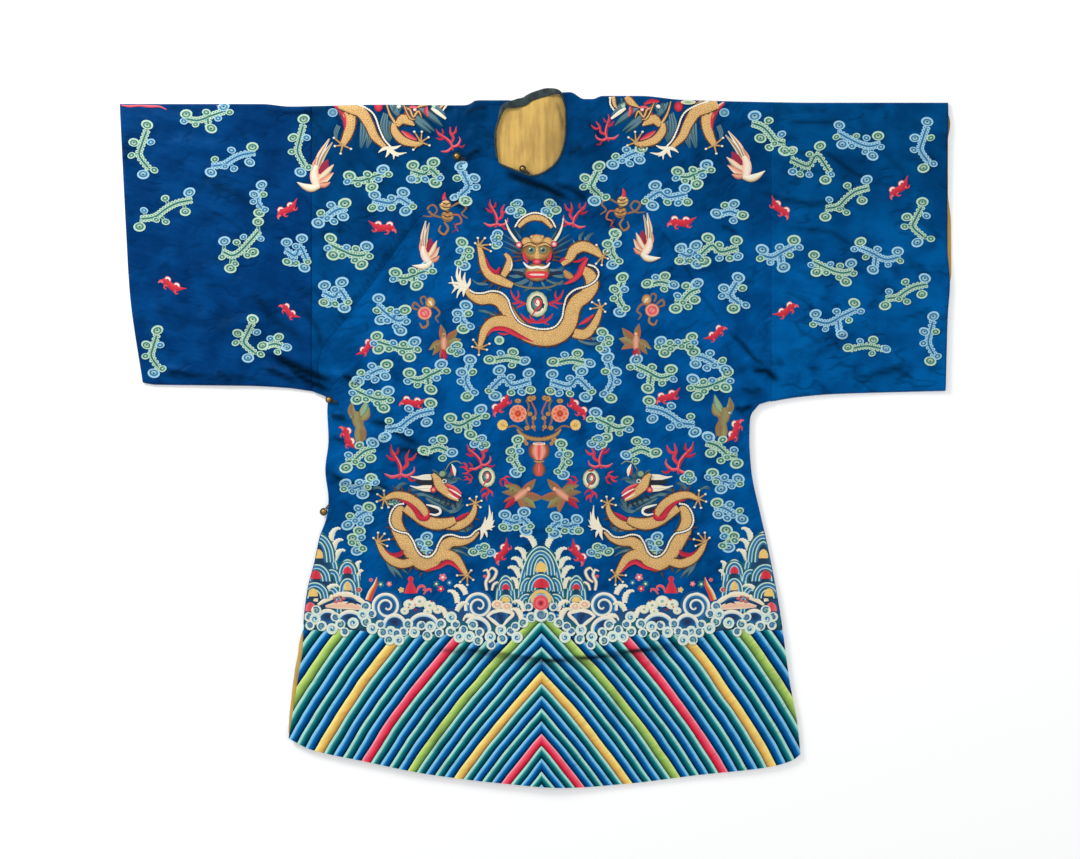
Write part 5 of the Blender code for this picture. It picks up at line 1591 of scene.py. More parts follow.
# %% The shoulder dragons
SHOULDER_MIRROR = 1057.0      # the right-hand one stands a little nearer the neck
SHOULDER_DRAGON = [
    ("smoke", [[(364, 120, 3.4), (364, 134, 4.6), (361, 148, 1.2)], [(368, 126, 2.4),
     (370, 138, 3.4), (367, 148, 1)], [(386, 114, 3), (384, 128, 4.6), (388, 141, 1.2)],
     [(391, 122, 2.6), (391, 134, 2.6), (389, 142, 1)], [(392, 104, 4), (396, 112, 4.4),
     (402, 120, 1.2)], [(402, 104, 3), (408, 110, 4), (414, 114, 1.2)], [(412, 114, 4),
     (422, 122, 5), (434, 131, 1.4)], [(420, 108, 4.4), (432, 117, 5), (442, 126, 1.4)],
     [(432, 103, 4), (438, 108, 4.4), (445, 116, 1.4)], [(416, 121, 3), (424, 128, 3.4),
     (431, 133, 1)], [(339, 126, 2.4), (336, 134, 2.4), (337, 142, 1)]]),
    ("spots", [(333, 113, 5, 4.4, "rim_blue", "ring_blue", "eye_blue")]),
    ("gold", [(344, 104, 7), (348, 112.6, 8), (350.4, 124, 6.2), (348, 135, 5.2),
     (343, 145, 3.4)]),
    ("white-coral-red-wine", [(333, 103, 1.4), (344.4, 114, 3.8), (346.4, 124, 3),
     (345, 131, .6)]),
    ("claws", (343, 145.6), [(351.3, 149.4), (341, 154), (335.2, 146.6), (334.3, 138.4)]),
    ("gold", [(340, 103, 7), (352, 107, 8), (362, 113, 6.4), (370, 126, 5.2), (375, 137, 4.6),
     (386, 148.4, 2.4)]),
    ("comb", [(349, 101.6), (361, 106), (371, 111.6), (376, 118.6), (379.4, 128.6), (384.6, 140),
     (390.6, 147)]),
    ("fan", (389, 148.4), [(407, 153.2, .2), (401.3, 146, .1), (394, 160, -.2), (386, 158, -.1),
     (378.7, 153.2, .1), (399, 157, .1)]),
    ("gold", [(386.2, 102, .9), (390, 114.4, 1.4), (397, 125.8, 1.8)]),
    ("gold", [(414.6, 126, 1.2), (409, 122, 4.2), (403, 119.6, 5.4), (397, 126, 3)]),
    ("gold", [(394, 123.9, 2.6), (395, 132, 4.4), (403.2, 141, 4.6), (416.4, 144.7, 3.2),
     (422, 143, 2.6)]),
    ("pink-coral-wine", [(417, 140.4, .8), (409, 136, 2.4), (402, 131.6, .8)]),
    ("claws", (421.2, 142.8), [(429.7, 146), (413.6, 150.3), (428.7, 138), (422.1, 132.4),
     (414.6, 132.4)]),
    ("spots", [(378.7, 107, 4.4, 5.4, "wine", "red", "coral"), (369, 102.6, 7.6, 2.4, "cream",
     "sage"), (399, 107, 2.2, 2, "cream", "white"), (415, 110, 2, 1.8, "pink", "white"),
     (406, 113.6, 1.6, 1.6, "wine", "coral")]),
    ("gold", [(444, 97, 2.6), (442.6, 105, 2.2), (440, 109, 1)]),
    ("gold", [(431, 97, 3), (427, 102, 4.2), (421, 106, 2), (417, 108.6, .8)]),
    ("coral-red-wine", [(413, 104.6, 1), (406, 101.6, 2.2), (398, 101.8, 1)]),
    ("pink-coral-wine", [(427, 107, 1), (426, 111.4, 2.2), (428, 117, .8)]),
    ("pink-coral", [(419, 108, .6), (412, 107.4, 1.3), (407, 110.4, .6)]),
    ("gold", [(422, 118.4, .7), (418.6, 111.6, 1.4), (413.6, 117.6, 1.4), (410, 110, 1.4),
     (404.6, 108, .8)]),
    ("gold", [(416, 120, .7), (411, 119.4, 1.3), (407, 113, 1.2), (403, 103, .8)]),
    ("comb", [(447, 97.4), (446.7, 105), (443, 111)]),
    ("white-cream", [(431.6, 108.6, 1.2), (437.2, 112.6, 1.9), (446, 119.4, 1.1)]),
    ("spots", [(434, 106, 2.2, 2.8, "sage", "rim_green")]),
    ("hair", "smoke", [(396, 104, 393, 112), (401, 108, 399, 115), (436, 99, 434, 106)])]

dragon_work = Embroidery()
draw_dragon(dragon_work, CHEST_DRAGON)
for mirror in (None, 2 * CHART_SEAM):
    draw_dragon(dragon_work, STRIDING_DRAGON, mirror)
for mirror in (None, SHOULDER_MIRROR):
    draw_dragon(dragon_work, SHOULDER_DRAGON, mirror)
dragon_work.settle("dragons", thread_look)

# %% [markdown]
# ## Pearls, flames and corals
#
# The three dragons on the body each chase a flaming pearl, a white disc ringed in blue with
# flames of red silk. Red corals float between the clouds. All are small, so each is drawn once
# round its own middle and repeated at its places.

# %% Pearls and corals
FLAME = [
    # %% Pearls and corals
    ("stroke", ["coral", "red", "wine"], [(0, 3, .8), (-1.5, -2, 1.3), (1, -6, 1.2),
     (0, -11, .2)]),
    ("stroke", ["red", "coral"], [(-1, 0, .8), (-5, -2, 1.1), (-6, -7, .2)]),
    ("stroke", ["coral", "red"], [(0, -3, .8), (4, -5, 1.1), (5, -9, .2)]),
    ("stroke", ["wine", "red"], [(0, 2, .8), (4, 1, 1.2), (7, -3, .2)])]
CORAL = [
    ("stroke", ["wine", "red", "coral"], [(0, 12, .8), (.6, 5, 1.5), (-3, -3, 1.4), (-8, -8, 1.2),
     (-9, -15, .3)]),
    ("stroke", ["red", "coral"], [(0, 5, 1.1), (5, 0, 1.4), (4, -6, 1.2), (6, -12, .4)]),
    ("stroke", ["wine", "red"], [(-3, -3, 1), (-8, -3, 1.2), (-12, -6, .4)]),
    ("stroke", ["coral", "red"], [(4.6, -4, .9), (9, -5, 1.2), (12, -10, .4)]),
    ("stroke", ["red", "wine"], [(-6, -6, .9), (-3, -9, 1.1), (-3, -13, .4)]),
    ("stroke", ["pink", "red"], [(0, 8, 1), (6, 9, 1.3), (11, 5, .9), (11, 1, .3)]),
    ("stroke", ["red", "pink"], [(0, 9, 1), (-6, 11, 1.3), (-12, 9, .4)]),
    ("stroke", ["wine", "red"], [(7, 9, .9), (10, 12, 1.1), (14, 11, .3)]),
    ("stroke", "pink", [(.6, 9, .3), (.4, 2, .5), (-4, -5, .4), (-8, -11, .2)])]
PEARL = [
    ("spot", ["shadow_green", "shadow_green"], 0, 0, 10.4, 12.2),
    ("spot", ["eye_green", "cream", "white", "cream"], 0, 0, 9.6, 11.4),
    ("spot", ["dark", "ring_green", "steel", "smoke"], 0, -.4, 5.6, 7.2),
    ("spot", ["cream", "white"], .6, -1.6, 2.6, 3.4),
    ("stroke", ["red", "coral"], [(-4.6, 10, .4), (-1, 5, 1), (2.6, 1.4, 1.1), (2.8, -3, 1),
     (-.2, -4.6, .9), (-1.6, -1.4, .8), (.4, 0, .4)])]

PEARL_MIRROR = 1074.0         # the chest pearl's flames stand on both sides of its middle
treasure_work = Embroidery()
# flames round the two lower pearls
for x, y, turn, size in ((470, 469, -78, .95), (471, 478, -110, .7), (503, 480, 112, .9),
                         (487, 490, 180, .95), (608, 478, 80, .95), (575, 481, -112, .9),
                         (591, 492, 180, .95)):
    treasure_work.figure(FLAME, x, y, turn, size)
for mirror in (None, PEARL_MIRROR):
    treasure_work.mirrored = mirror
    treasure_work.motif()
    for line in ([(510.6, 290, .3), (513, 296, 1.1), (518, 301, 1.4), (526, 304, .8)],
                 [(518, 291, .3), (519, 296, 1.0), (516.6, 300, .8)],
                 [(511, 304, .3), (516, 303.4, 1.1), (521, 302, .6)],
                 [(516, 309, .3), (520, 306, 1.0), (525, 304.6, .6)],
                 [(521, 314, .4), (525, 318.6, 1.3), (531, 321.6, 1.5), (537.4, 322.6, 1.2)],
                 [(525, 325, .3), (529, 323, 1.0), (533, 321.6, .6)],
                 [(530, 314.6, .3), (531, 318, 1.0), (535, 321, .6)]):
        treasure_work.stroke(line, ["wine", "red", "coral"])
treasure_work.mirrored = None
for x, y, size in ((537, 304.4, 1.14), (487, 477, .88), (591, 479, .88)):
    treasure_work.figure(PEARL, x, y, 0, size)
for x, y, turn, size, flip in (
        (497, 216, 8, 1.0, 1), (575, 216, -8, 1.0, -1), (401, 464, 6, 1.25, 1),
        (680, 459, -6, 1.25, -1), (479, 457, -12, 1.0, 1), (599, 457, 12, 1.0, -1),
        (449, 140, -20, .95, 1), (605, 131, 20, .95, -1)):
    treasure_work.figure(CORAL, x, y, turn, size, flip)
treasure_work.settle("treasures", thread_look)

# %% [markdown]
# ## Bats, cranes and phoenixes
#
# Small creatures carry good wishes: the red bat stands for luck, the crane for a long life. Each
# is a short list of strokes and spots drawn once about its own middle, then turned over, tilted
# and placed many times. Wings are fans of tapered strokes, so they read as feathers.

# %% Flying creatures
BAT = [
    ("stroke", ["coral", "red", "red", "wine"], [(-11.6, 1, 1), (-8.6, .6, 3.5), (-5.6, .4, 4.3),
     (-1, .6, 3.2), (3.6, -.4, 4.3), (6.8, -1.8, 3.4), (10.2, -4.6, 1.4), (14, -8, .3)],
     None, .5, 4, 1.2),
    ("stroke", ["pink", "coral"], [(-9.6, 2, 2), (-12.4, 3.8, 1.3), (-12.6, 6.6, .4)]),
    ("stroke", "coral", [(-6, 3.6, 1), (-4.4, 6.4, .8), (-1.6, 6.4, .3)]),
    ("stroke", "coral", [(6, 2.4, 1), (9, 3.4, .8), (11, 1.4, .3)]),
    ("spot", ["coral", "white", "white"], -7.2, -2.8, 3.7, 3),
    ("spot", ["coral", "white", "white"], 4.2, -4, 3.7, 3),
    ("spot", ["wine", "red"], -6.6, -1.8, 2.1, 1.5),
    ("spot", ["wine", "red"], 4.6, -3, 2.1, 1.5),
    ("spot", ["coral", "pink"], -4.4, 2.6, 1.9, 1.4),
    ("spot", ["coral", "pink"], 6, 1, 1.9, 1.3),
    ("spot", ["wine", "red"], -1, .6, 2.1, 2)]
CRANE = [
    ("stroke", ["peach", "cream", "brown", "white", "cream"], [(-3, -2, 2.6), (-1, -16, 3),
     (6, -34, .6)], None, .4, 4),
    ("stroke", ["cream", "brown", "cream"], [(-1, -3, 2.2), (2.4, -16, 2.2), (9.6, -31, .5)]),
    ("stroke", ["rust", "peach"], [(-3.6, -14, .6), (-6, -4, 2.2), (-5, 5, 1)]),
    ("stroke", ["wine", "maroon", "wine"], [(1, 2, 2.6), (5, -6, 4.2), (7.6, -13, .5)]),
    ("stroke", ["peach", "cream", "brown"], [(0, 8, 2.6), (7, 1, 3.8), (14, -9, .4)]),
    ("stroke", ["rust", "peach", "cream"], [(1, 11, 2.6), (8, 6, 3.4), (15, -1, .4)]),
    ("stroke", ["brown", "peach", "rust"], [(1, 13, 2.6), (8, 12, 3), (13, 9, .5)]),
    ("hair", "brown", [(3, 5, 11, -4), (3, 9, 12, 2), (3, 12, 11, 9)]),
    ("stroke", ["peach", "cream", "white", "peach"], [(-3, -6, 2.4), (-4, 2, 4.2), (-2, 9, 4.8),
     (1, 15, 2.8)], None, .5, 4, 1.6),
    ("stroke", ["brown", "cream", "white", "cream"], [(3, 14, 2.4), (-4, 17.4, 3.8),
     (-11, 17, 3.2), (-20, 13.6, .3)], None, .5, 4, 1.6),
    ("spot", ["wine"], -12, 15.6, 1.1, .8)]
PHOENIX = [
    ("stroke", ["rust", "brown", "drab"], [(1, -1, 3.2), (8, -9, 4.2), (13, -17, .4)]),
    ("stroke", ["moss", "brown"], [(2, 1, 3.2), (11, -3, 4), (18, -6, .4)]),
    ("stroke", ["drab", "rust"], [(2, 3, 2.9), (10, 3, 3.4), (17, 6, .4)]),
    ("stroke", ["rust", "brown", "drab"], [(-1, -2, 2.9), (-3, -11, 3.7), (-6, -19, .4)]),
    ("stroke", ["moss", "brown"], [(-2, 0, 3.2), (-8, 3, 4), (-15, 10, .4)]),
    ("stroke", ["brown", "drab"], [(-2, 2, 2.9), (-6, 8, 3.2), (-10, 15, .4)]),
    ("hair", "outline", [(6, -7, 8, -5), (8, -11, 10, -9), (9, -2, 11, 0), (-3, -10, -1, -9),
     (-4, -14, -2, -13), (-8, 4, -6, 6), (-11, 7, -9, 9)]),
    ("stroke", ["brown", "peach", "brown"], [(-1, -7, 2.4), (0, -1, 5), (1, 5, 4), (2, 9, 1.3)],
     None, .4, 4, 1.8),
    ("stroke", ["wine", "red"], [(1, 7, 2.4), (3, 13, 2.6), (5, 20, .4)]),
    ("stroke", ["wine", "rust"], [(0, 7, 1.8), (-1, 13, 2.1), (-1, 18, .3)]),
    ("spot", ["brown", "peach", "pale_gold"], -1, -8.6, 2.4, 2.2)]
LONG_PHOENIX = [
    ("stroke", ["drab", "brown", "moss"], [(1, 10, 2.9), (2, 20, 4.1), (0, 33, .4)]),
    ("stroke", ["moss", "drab"], [(-1, 10, 2.2), (-3, 19, 2.6), (-4, 28, .4)]),
    ("stroke", ["brown", "drab"], [(4, 9, 2.2), (6, 17, 2.4), (6, 26, .4)]),
    ("stroke", ["moss", "sage", "smoke"], [(3, -2, 2.9), (9, -9, 4.6), (13, -20, .6)]),
    ("stroke", ["drab", "moss", "brown"], [(4, 2, 2.9), (10, -2, 4.3), (14, -10, .5)]),
    ("stroke", ["drab", "brown", "moss"], [(-3, 0, 2.9), (-6, -9, 4.1), (-4, -19, .5)]),
    ("hair", "smoke", [(8, -8, 11, -7), (10, -12, 13, -11), (-6, -8, -3, -8), (-5, -13, -3, -12),
     (1, 16, 4, 17), (1, 21, 3, 22)]),
    ("stroke", ["brown", "drab", "moss", "brown"], [(1, -7, 2.6), (0, 1, 6.5), (1, 9, 4.8),
     (2, 13, 1.2)], None, .4, 4, 1.8),
    ("spot", ["moss", "smoke", "cream"], -5.5, -2, 3.2, 2.6)]
# what, x, y, turn, size, flip
CREATURES = [
    (BAT, 288, 210, -20, .92, 1), (BAT, 172, 286, 40, .95, 1), (BAT, 289, 312, 55, .8, 1),
    (BAT, 383, 228, 4, 1.0, -1), (BAT, 367, 348, 62, .8, -1), (BAT, 413, 403, 14, .95, 1),
    (BAT, 502, 405, -34, .95, 1), (BAT, 348, 438, 78, .95, 1), (BAT, 503, 552, -46, .95, 1),
    (BAT, 577, 553, -46, .95, -1), (BAT, 577, 408, -34, .95, -1), (BAT, 668, 397, -8, .95, 1),
    (BAT, 735, 431, 78, .95, -1), (BAT, 716, 334, 50, .85, -1), (BAT, 681, 223, 10, 1.0, 1),
    (BAT, 779, 209, -30, .95, -1), (BAT, 899, 189, -28, .95, 1), (BAT, 786, 311, 44, .9, -1),
    (CRANE, 319, 172, 8, 1.0, 1), (CRANE, 742, 163, 14, 1.0, -1), (CRANE, 427, 251, -12, .86, 1),
    (CRANE, 646, 243, -12, .86, -1), (PHOENIX, 444, 343, 8, .92, 1),
    (PHOENIX, 636, 342, 8, .92, -1), (LONG_PHOENIX, 358, 418, -6, .9, 1),
    (LONG_PHOENIX, 724, 414, -6, .9, -1), (PHOENIX, 521, 494, 62, 1.05, 1),
    (PHOENIX, 562, 494, 62, 1.05, -1)]

flock = Embroidery()
for creature, x, y, turn, size, flip in CREATURES:
    flock.figure(creature, x, y, turn, size, flip)
flock.settle("creatures", thread_look)

# %% [markdown]
# ## Gourds, fruit and the flower basket
#
# Treasures of the immortals float beside the dragons: a double gourd with long ribbons, a round
# fruit, and between the lower dragons a vase of flowers. They are worked in gold with touches of
# red, so gold discs and looped ribbons do most of the drawing.

# %% Gourds and basket
def blossom(x, y, r, petal, rim, middle):
    """Rows for a round flower: a ring of petals round a small middle."""
    rows = [("spot", [rim, petal, petal], x, y, r, r)]
    for i in range(8):
        t = i * pi / 4
        rows.append(("spot", [rim, petal], x + r * 0.66 * cos(t), y + r * 0.66 * sin(t),
                     r * 0.27, r * 0.27))
    return rows + [("spot", [middle, petal], x, y, r * 0.26, r * 0.26)]


GOURD = [
    ("stroke", "brown", [(4, -4, .8), (13, -10, 1.2), (21, -6, 1.1), (17, 1, .9), (24, 5, .5)]),
    ("stroke", "rust", [(6, 4, .8), (14, 3, 1), (18, 10, .9), (12, 14, .8), (16, 20, .4)]),
    ("stroke", "brown", [(-4, 8, .8), (-14, 6, 1.3), (-19, 0, 1.2), (-14, -4, 1), (-9, 1, .9),
     (-14, 8, .8), (-23, 9, .4)]),
    ("stroke", "dark_gold", [(0, 12, .8), (5, 18, 1.2), (2, 25, 1.2), (-4, 22, 1), (-3, 16, .5)]),
    ("stroke", "wine", [(10, 12, .5), (14, 17, .7), (10, 22, .3)]),
    ("spot", ["outline", "gold", "dark_gold", "gold"], 2.6, 5.6, 7, 6.4),
    ("spot", ["outline", "pale_gold", "gold", "gold"], -1.4, -5.6, 6.4, 6),
    ("stroke", "dark", [(-6, -8, .4), (-1, -6.6, .8), (4, -8.4, .4)]),
    ("stroke", "dark", [(-6.4, -4.4, .4), (-1, -2.8, .8), (4.6, -4.6, .4)]),
    ("stroke", "dark", [(-3.6, .4, .4), (1.6, 1.6, .9), (6.6, -.6, .4)]),
    ("stroke", "dark", [(-3.6, 4.8, .4), (2.4, 6.4, .8), (8.6, 4.2, .4)]),
    ("stroke", "dark", [(-2, 9, .3), (3, 10, .6), (8, 8, .3)]),
    ("stroke", ["red", "coral"], [(-2.6, -10, 2.2), (-4, -14, 1.8), (-3.4, -19, .4)])]
FRUIT = [
    ("stroke", "brown", [(3, -4, .8), (10, -3, 1.2), (14, 3, 1.1), (10, 7, .9), (13, 12, .4)]),
    ("stroke", "brown", [(-5, -3, .8), (-11, -8, 1.2), (-13, -3, 1.1), (-8, -1, .8)]),
    ("stroke", "dark_gold", [(1, 7, .8), (2, 14, 1.2), (-3, 17, 1.1), (-6, 12, .6)]),
    ("stroke", "brown", [(-3, -6, .8), (-5, -12, 1), (-1, -14, .9), (1, -9, .4)]),
    ("spot", ["brown", "gold", "pale_gold"], 4.6, -8, 5, 5.6),
    ("spot", ["outline", "peach", "coral", "pink", "peach"], -1, 2.4, 7.6, 7.2),
    ("stroke", "brown", [(-5, -1, .3), (-1, 1.6, .6), (1, 6.4, .3)]),
    ("stroke", "white", [(2.4, -9.6, .3), (5, -8, .8), (6.6, -5, .3)])]
BASKET = [
    ("stroke", "brown", [(-9, 4, .8), (-13, -6, 1.0), (-10, -18, .9), (-13, -25, .6)]),
    ("stroke", "brown", [(9, 4, .8), (13, -6, 1.0), (10, -18, .9), (13, -25, .6)]),
    ("stroke", "rust", [(-4, 6, .8), (-6, -4, 1.0), (-3, -12, .9), (-7, -22, .7), (-10, -28, .5)]),
    ("stroke", "rust", [(4, 6, .8), (6, -4, 1.0), (3, -12, .9), (7, -22, .7), (10, -28, .5)]),
    ("stroke", "brown", [(-16, 6, .7), (-24, 1, .9), (-31, 2, .8), (-36, 0, .5)]),
    ("stroke", "brown", [(16, 6, .7), (24, 1, .9), (31, 2, .8), (36, 0, .5)]),
    *[("spot", ["outline", "gold", "brown"], side * x, y, w, h) for side in (-1, 1)
      for x, y, w, h in ((9, -26, 3.6, 3.4), (5.4, -27, 2.6, 2.8), (21, -24, 3.6, 2.6),
                         (9, -11, 2.6, 2.4), (5, -7, 2.8, 2.6), (12, 3, 2.8, 2.6),
                         (5.6, 2, 2.6, 2.4), (15, 15, 3.2, 3.2), (12.4, 18.6, 2.2, 2.2))],
    *[row for side in (-1, 1)
      for row in blossom(side * 36.4, 0, 5.4, "yellow", "pale_gold", "rust")],
    *[row for side in (-1, 1)
      for row in blossom(side * 21, -11.4, 8.8, "orange", "peach", "wine")],
    ("stroke", ["outline", "gold", "brown"], [(-22, 4, .9), (-17, 9.4, 1.9), (-9, 13, 2.2),
                                              (0, 14.2, 2.2), (9, 13, 2.2), (17, 9.4, 1.9),
                                              (22, 4, .9)], None, .4, 3, 2.0, (3.4, .14)),
    ("stroke", ["outline", "rust", "peach", "coral", "peach", "rust", "outline"],
     [(0, 18, 5.6), (0, 21, 9.4), (0, 26, 10.6), (0, 31, 9), (0, 35, 4.6)], None, .5, 6, 1.8),
    ("stroke", ["white", "cream"], [(-6, 19, 1.2), (0, 19.4, 1.9), (6, 19, 1.2)]),
    ("stroke", ["brown", "coral"], [(0, 22, .4), (0, 27, 1.0), (0, 33, .4)]),
    ("stroke", ["pink", "peach"], [(-5, 22, .6), (-6, 27, 1.6), (-3, 32, .6)]),
    ("stroke", ["pink", "peach"], [(5, 22, .6), (6, 27, 1.6), (3, 32, .6)]),
    ("stroke", ["outline", "gold", "outline"], [(-5, 36, .8), (0, 37, 1.6), (5, 36, .8)]),
    ("stroke", ["outline", "rust", "coral", "rust", "outline"],
     [(0, 38, 3.4), (0, 42, 6), (0, 47, 6.2), (0, 51, 3.4)], None, .5, 4, 1.8),
    ("stroke", "cream", [(0, 39, .3), (0, 43, .9), (0, 49, .4)])]
OFFERINGS = [(GOURD, 446, 211, 8, .95, 1), (GOURD, 622, 207, 8, .95, -1),
             (FRUIT, 426, 311, 0, 1.0, 1), (FRUIT, 651, 308, 0, 1.0, -1),
             (BASKET, 539, 425, 0, 1.0, 1)]

basketry = Embroidery()
for thing, x, y, turn, size, flip in OFFERINGS:
    basketry.figure(thing, x, y, turn, size, flip)
basketry.motif()
# red stitches along the shoulder fold of the wearer's right sleeve
for line in ([(122, 105.6, .5), (130, 106.6, 1.1), (140, 106.0, .9), (150, 106.8, 1.2),
              (160, 107.0, .8), (167, 110, .4)],
             [(217, 106.4, .5), (223, 107, 1.4), (229, 106.4, .5)]):
    basketry.stroke(line, ["pink", "red"])
basketry.settle("offerings", thread_look)

# %% [markdown]
# ## Mountains and waves
#
# The sea at the hem is built up the way the embroiderer pads it: a dark base and curling rings,
# then the peaks with their nested arches, then treasures, breaking waves and foam, and last the
# bubbles that hide where the slanting stripes begin. Both halves of the robe carry nearly the
# same sea, so it is drawn once for the left half and once mirrored across the centre seam.

# %% Parts of the sea
MIDDLE = 1082.0               # a place x on the left half answers to MIDDLE - x on the right
WHORL_TURNS, WHORL_BEGIN = 1.9, 200
ARCHES = ["mint", "blue", "rim_blue", "teal"]


def arc(work, x, y, r, thick, colour, pad, begin=180, end=0, tall=1.0, lanes=1):
    """A stroke round part of an oval, with angles counted up from the right."""
    steps = max(3, int(abs(end - begin) / 28))
    angles = [radians(begin + (end - begin) * i / steps) for i in range(steps + 1)]
    work.stroke([(x + r * cos(t), y - r * tall * sin(t), thick) for t in angles],
                colour, pad=pad, lanes=lanes, spacing=1.9)


def dome(work, x, base, wide, high, colours, pad=0.6):
    """A half-round patch with a flat foot."""
    work.stroke([(x, base - high, wide * 0.18), (x, base - high * 0.86, wide * 0.58),
                 (x, base - high * 0.6, wide * 0.86), (x, base - high * 0.25, wide),
                 (x, base, wide * 0.96)], colours, pad=pad, lanes=6, spacing=1.6)


def scale(work, x, base, wide, high, count):
    """One scale of a mountain: a dark patch with nested arches, pale and mid by turns."""
    dome(work, x, base, wide, high, ["teal", "shadow_blue", "shadow_green", "deep", "teal"], 0.0)
    for i in range(count):
        inset = 1.5 + i * 1.75
        r = wide - inset
        arc(work, x, base, r, 0.62 if i % 2 == 0 else 0.8, ARCHES[i % 4],
            tall=(high - inset) / r, pad=0.25)


def peak(work, rows):
    """Scales, which end with their count of arches, and bright hills, with their two colours."""
    for x, base, wide, high, *what in rows:
        if len(what) == 1:
            scale(work, x, base, wide, high, *what)
        else:
            dome(work, x, base, wide, high, [what[0], what[1], what[0]])


def whorl(work, x, y, r):
    """A curling wave: a ring that winds inwards, pale outside and dark within."""
    work.spot(x, y, r, r, ["deep", "blue", "deep", "deep"], sides=20, pad=0.1)
    steps = int(WHORL_TURNS * 11)
    line = []
    for i in range(steps + 1):
        share = i / steps
        t = radians(WHORL_BEGIN) - share * WHORL_TURNS * 2 * pi
        reach = (r - 2.1) * (1 - share) ** 0.8 + 1.2 * share
        line.append((x + reach * cos(t), y - reach * sin(t), 2.0 - 0.9 * share))
    work.stroke(line, ["cream", "white", "white", "cream", "sky", "blue"], pad=0.5, lanes=5,
                spacing=1.8)


def breaker(work, x, base, wide, high, turn=0.0):
    """An arched wave with a pale crest over a blue hollow."""
    work.spot(x, base - high * 0.42, wide * 0.92, high * 0.6, ["blue", "deep", "navy"], turn,
              pad=0.2, sides=16)
    c, s = cos(radians(turn)), sin(radians(turn))
    line = []
    for i in range(8):
        t = pi * (1 - i / 7)
        px, py = wide * cos(t), -(high - 1.6) * sin(t)
        line.append((x + px * c - py * s, base + px * s + py * c, 2.4 - 0.6 * abs(cos(t))))
    work.stroke(line, ["cream", "white", "sky"], pad=0.5, lanes=3, spacing=2.0)


def bubble(work, x, y, r, hue="steel"):
    """A round of spray with a pale rim and a curl inside."""
    work.spot(x, y, r, r, ["mint", "white", hue, hue], pad=0.08, sides=12)
    curl = []
    for i in range(9):
        t, reach = radians(x * 9 + y * 5 - i * 52), r * (0.7 - 0.075 * i)
        curl.append((x + reach * cos(t), y - reach * sin(t), 0.75))
    work.stroke(curl, "mint" if hue in ("ring_blue", "blue") else "ring_blue", pad=0.2, lanes=1,
                spacing=1.4)


def claw_of_foam(work, tip, foot, wide, colours=("white", "cream", "mint")):
    """A tongue of surf that rises from its foot and hooks over at the tip."""
    (tx, ty), (fx, fy) = tip, foot
    vx, vy = tx - fx, ty - fy
    nx, ny = -vy * 0.24, vx * 0.24
    if ny > 0:
        nx, ny = -nx, -ny
    line = [(fx, fy, wide * 0.75), (fx + vx * 0.3 + nx * 0.8, fy + vy * 0.3 + ny * 0.8, wide),
            (fx + vx * 0.62 + nx, fy + vy * 0.62 + ny, wide * 0.8),
            (fx + vx * 0.88 + nx * 0.5, fy + vy * 0.88 + ny * 0.5, wide * 0.5),
            (tx, ty + 1.2, wide * 0.3)]
    work.stroke(line, list(colours), pad=0.6, lanes=3, spacing=1.0, teeth=(2.2, 0.16))


print("arches in turn:", ", ".join(ARCHES))

# %% Bubbles and surf
BUBBLES = [
    (309.1, 616.4), (316.8, 610.0), (315.6, 618.6), (310.5, 625.0), (322.3, 625.4),
    (332.3, 628.3), (335.7, 616.4), (340.6, 623.9), (353.6, 622.6), (345.2, 631.6),
    (366.3, 606.0), (363.4, 614.0), (372.3, 613.1), (366.6, 621.2), (372.6, 628.0),
    (380.6, 624.0), (383.2, 632.0), (391.2, 631.0), (397.4, 632.6), (389.8, 639.2),
    (399.2, 639.4), (404.2, 630.6), (408.4, 623.2), (414.6, 631.6), (421.6, 625.0),
    (427.8, 634.9), (430.8, 626.2), (439.7, 632.0), (441.4, 623.1), (451.5, 616.6),
    (455.6, 623.6), (451.0, 630.6), (459.4, 636.2), (463.6, 629.4), (473.2, 624.6),
    (469.6, 635.8), (479.9, 631.4), (478.2, 639.6), (490.4, 636.0), (491.2, 644.2),
    (502.4, 638.4), (501.0, 629.6), (515.6, 626.0), (523.4, 622.0), (517.2, 636.6),
    (511.2, 630.8), (531.4, 616.6)]
BUBBLE_HUES = ["steel", "ring_blue", "eye_blue", "steel", "blue", "sage"]
CREAM_FOAM = ("cream", "white", "cream")
SURF = [((520.2, 535.2), (535.2, 547.2)), ((515.0, 547.6), (525.4, 560.4)),
        ((511.4, 557.8), (522.6, 568.2)), ((507.8, 566.8), (520.0, 577.4)),
        ((510.4, 577.6), (518.0, 588.2))]
SIDE_SURF = [((341, 527.5), (332, 541)), ((343.6, 539), (334, 551)),
             ((361.6, 560.6), (358, 571)), ((363.6, 569.6), (358.6, 580)),
             ((345.6, 549.6), (336, 560))]
print(len(BUBBLES), "bubbles on each half")


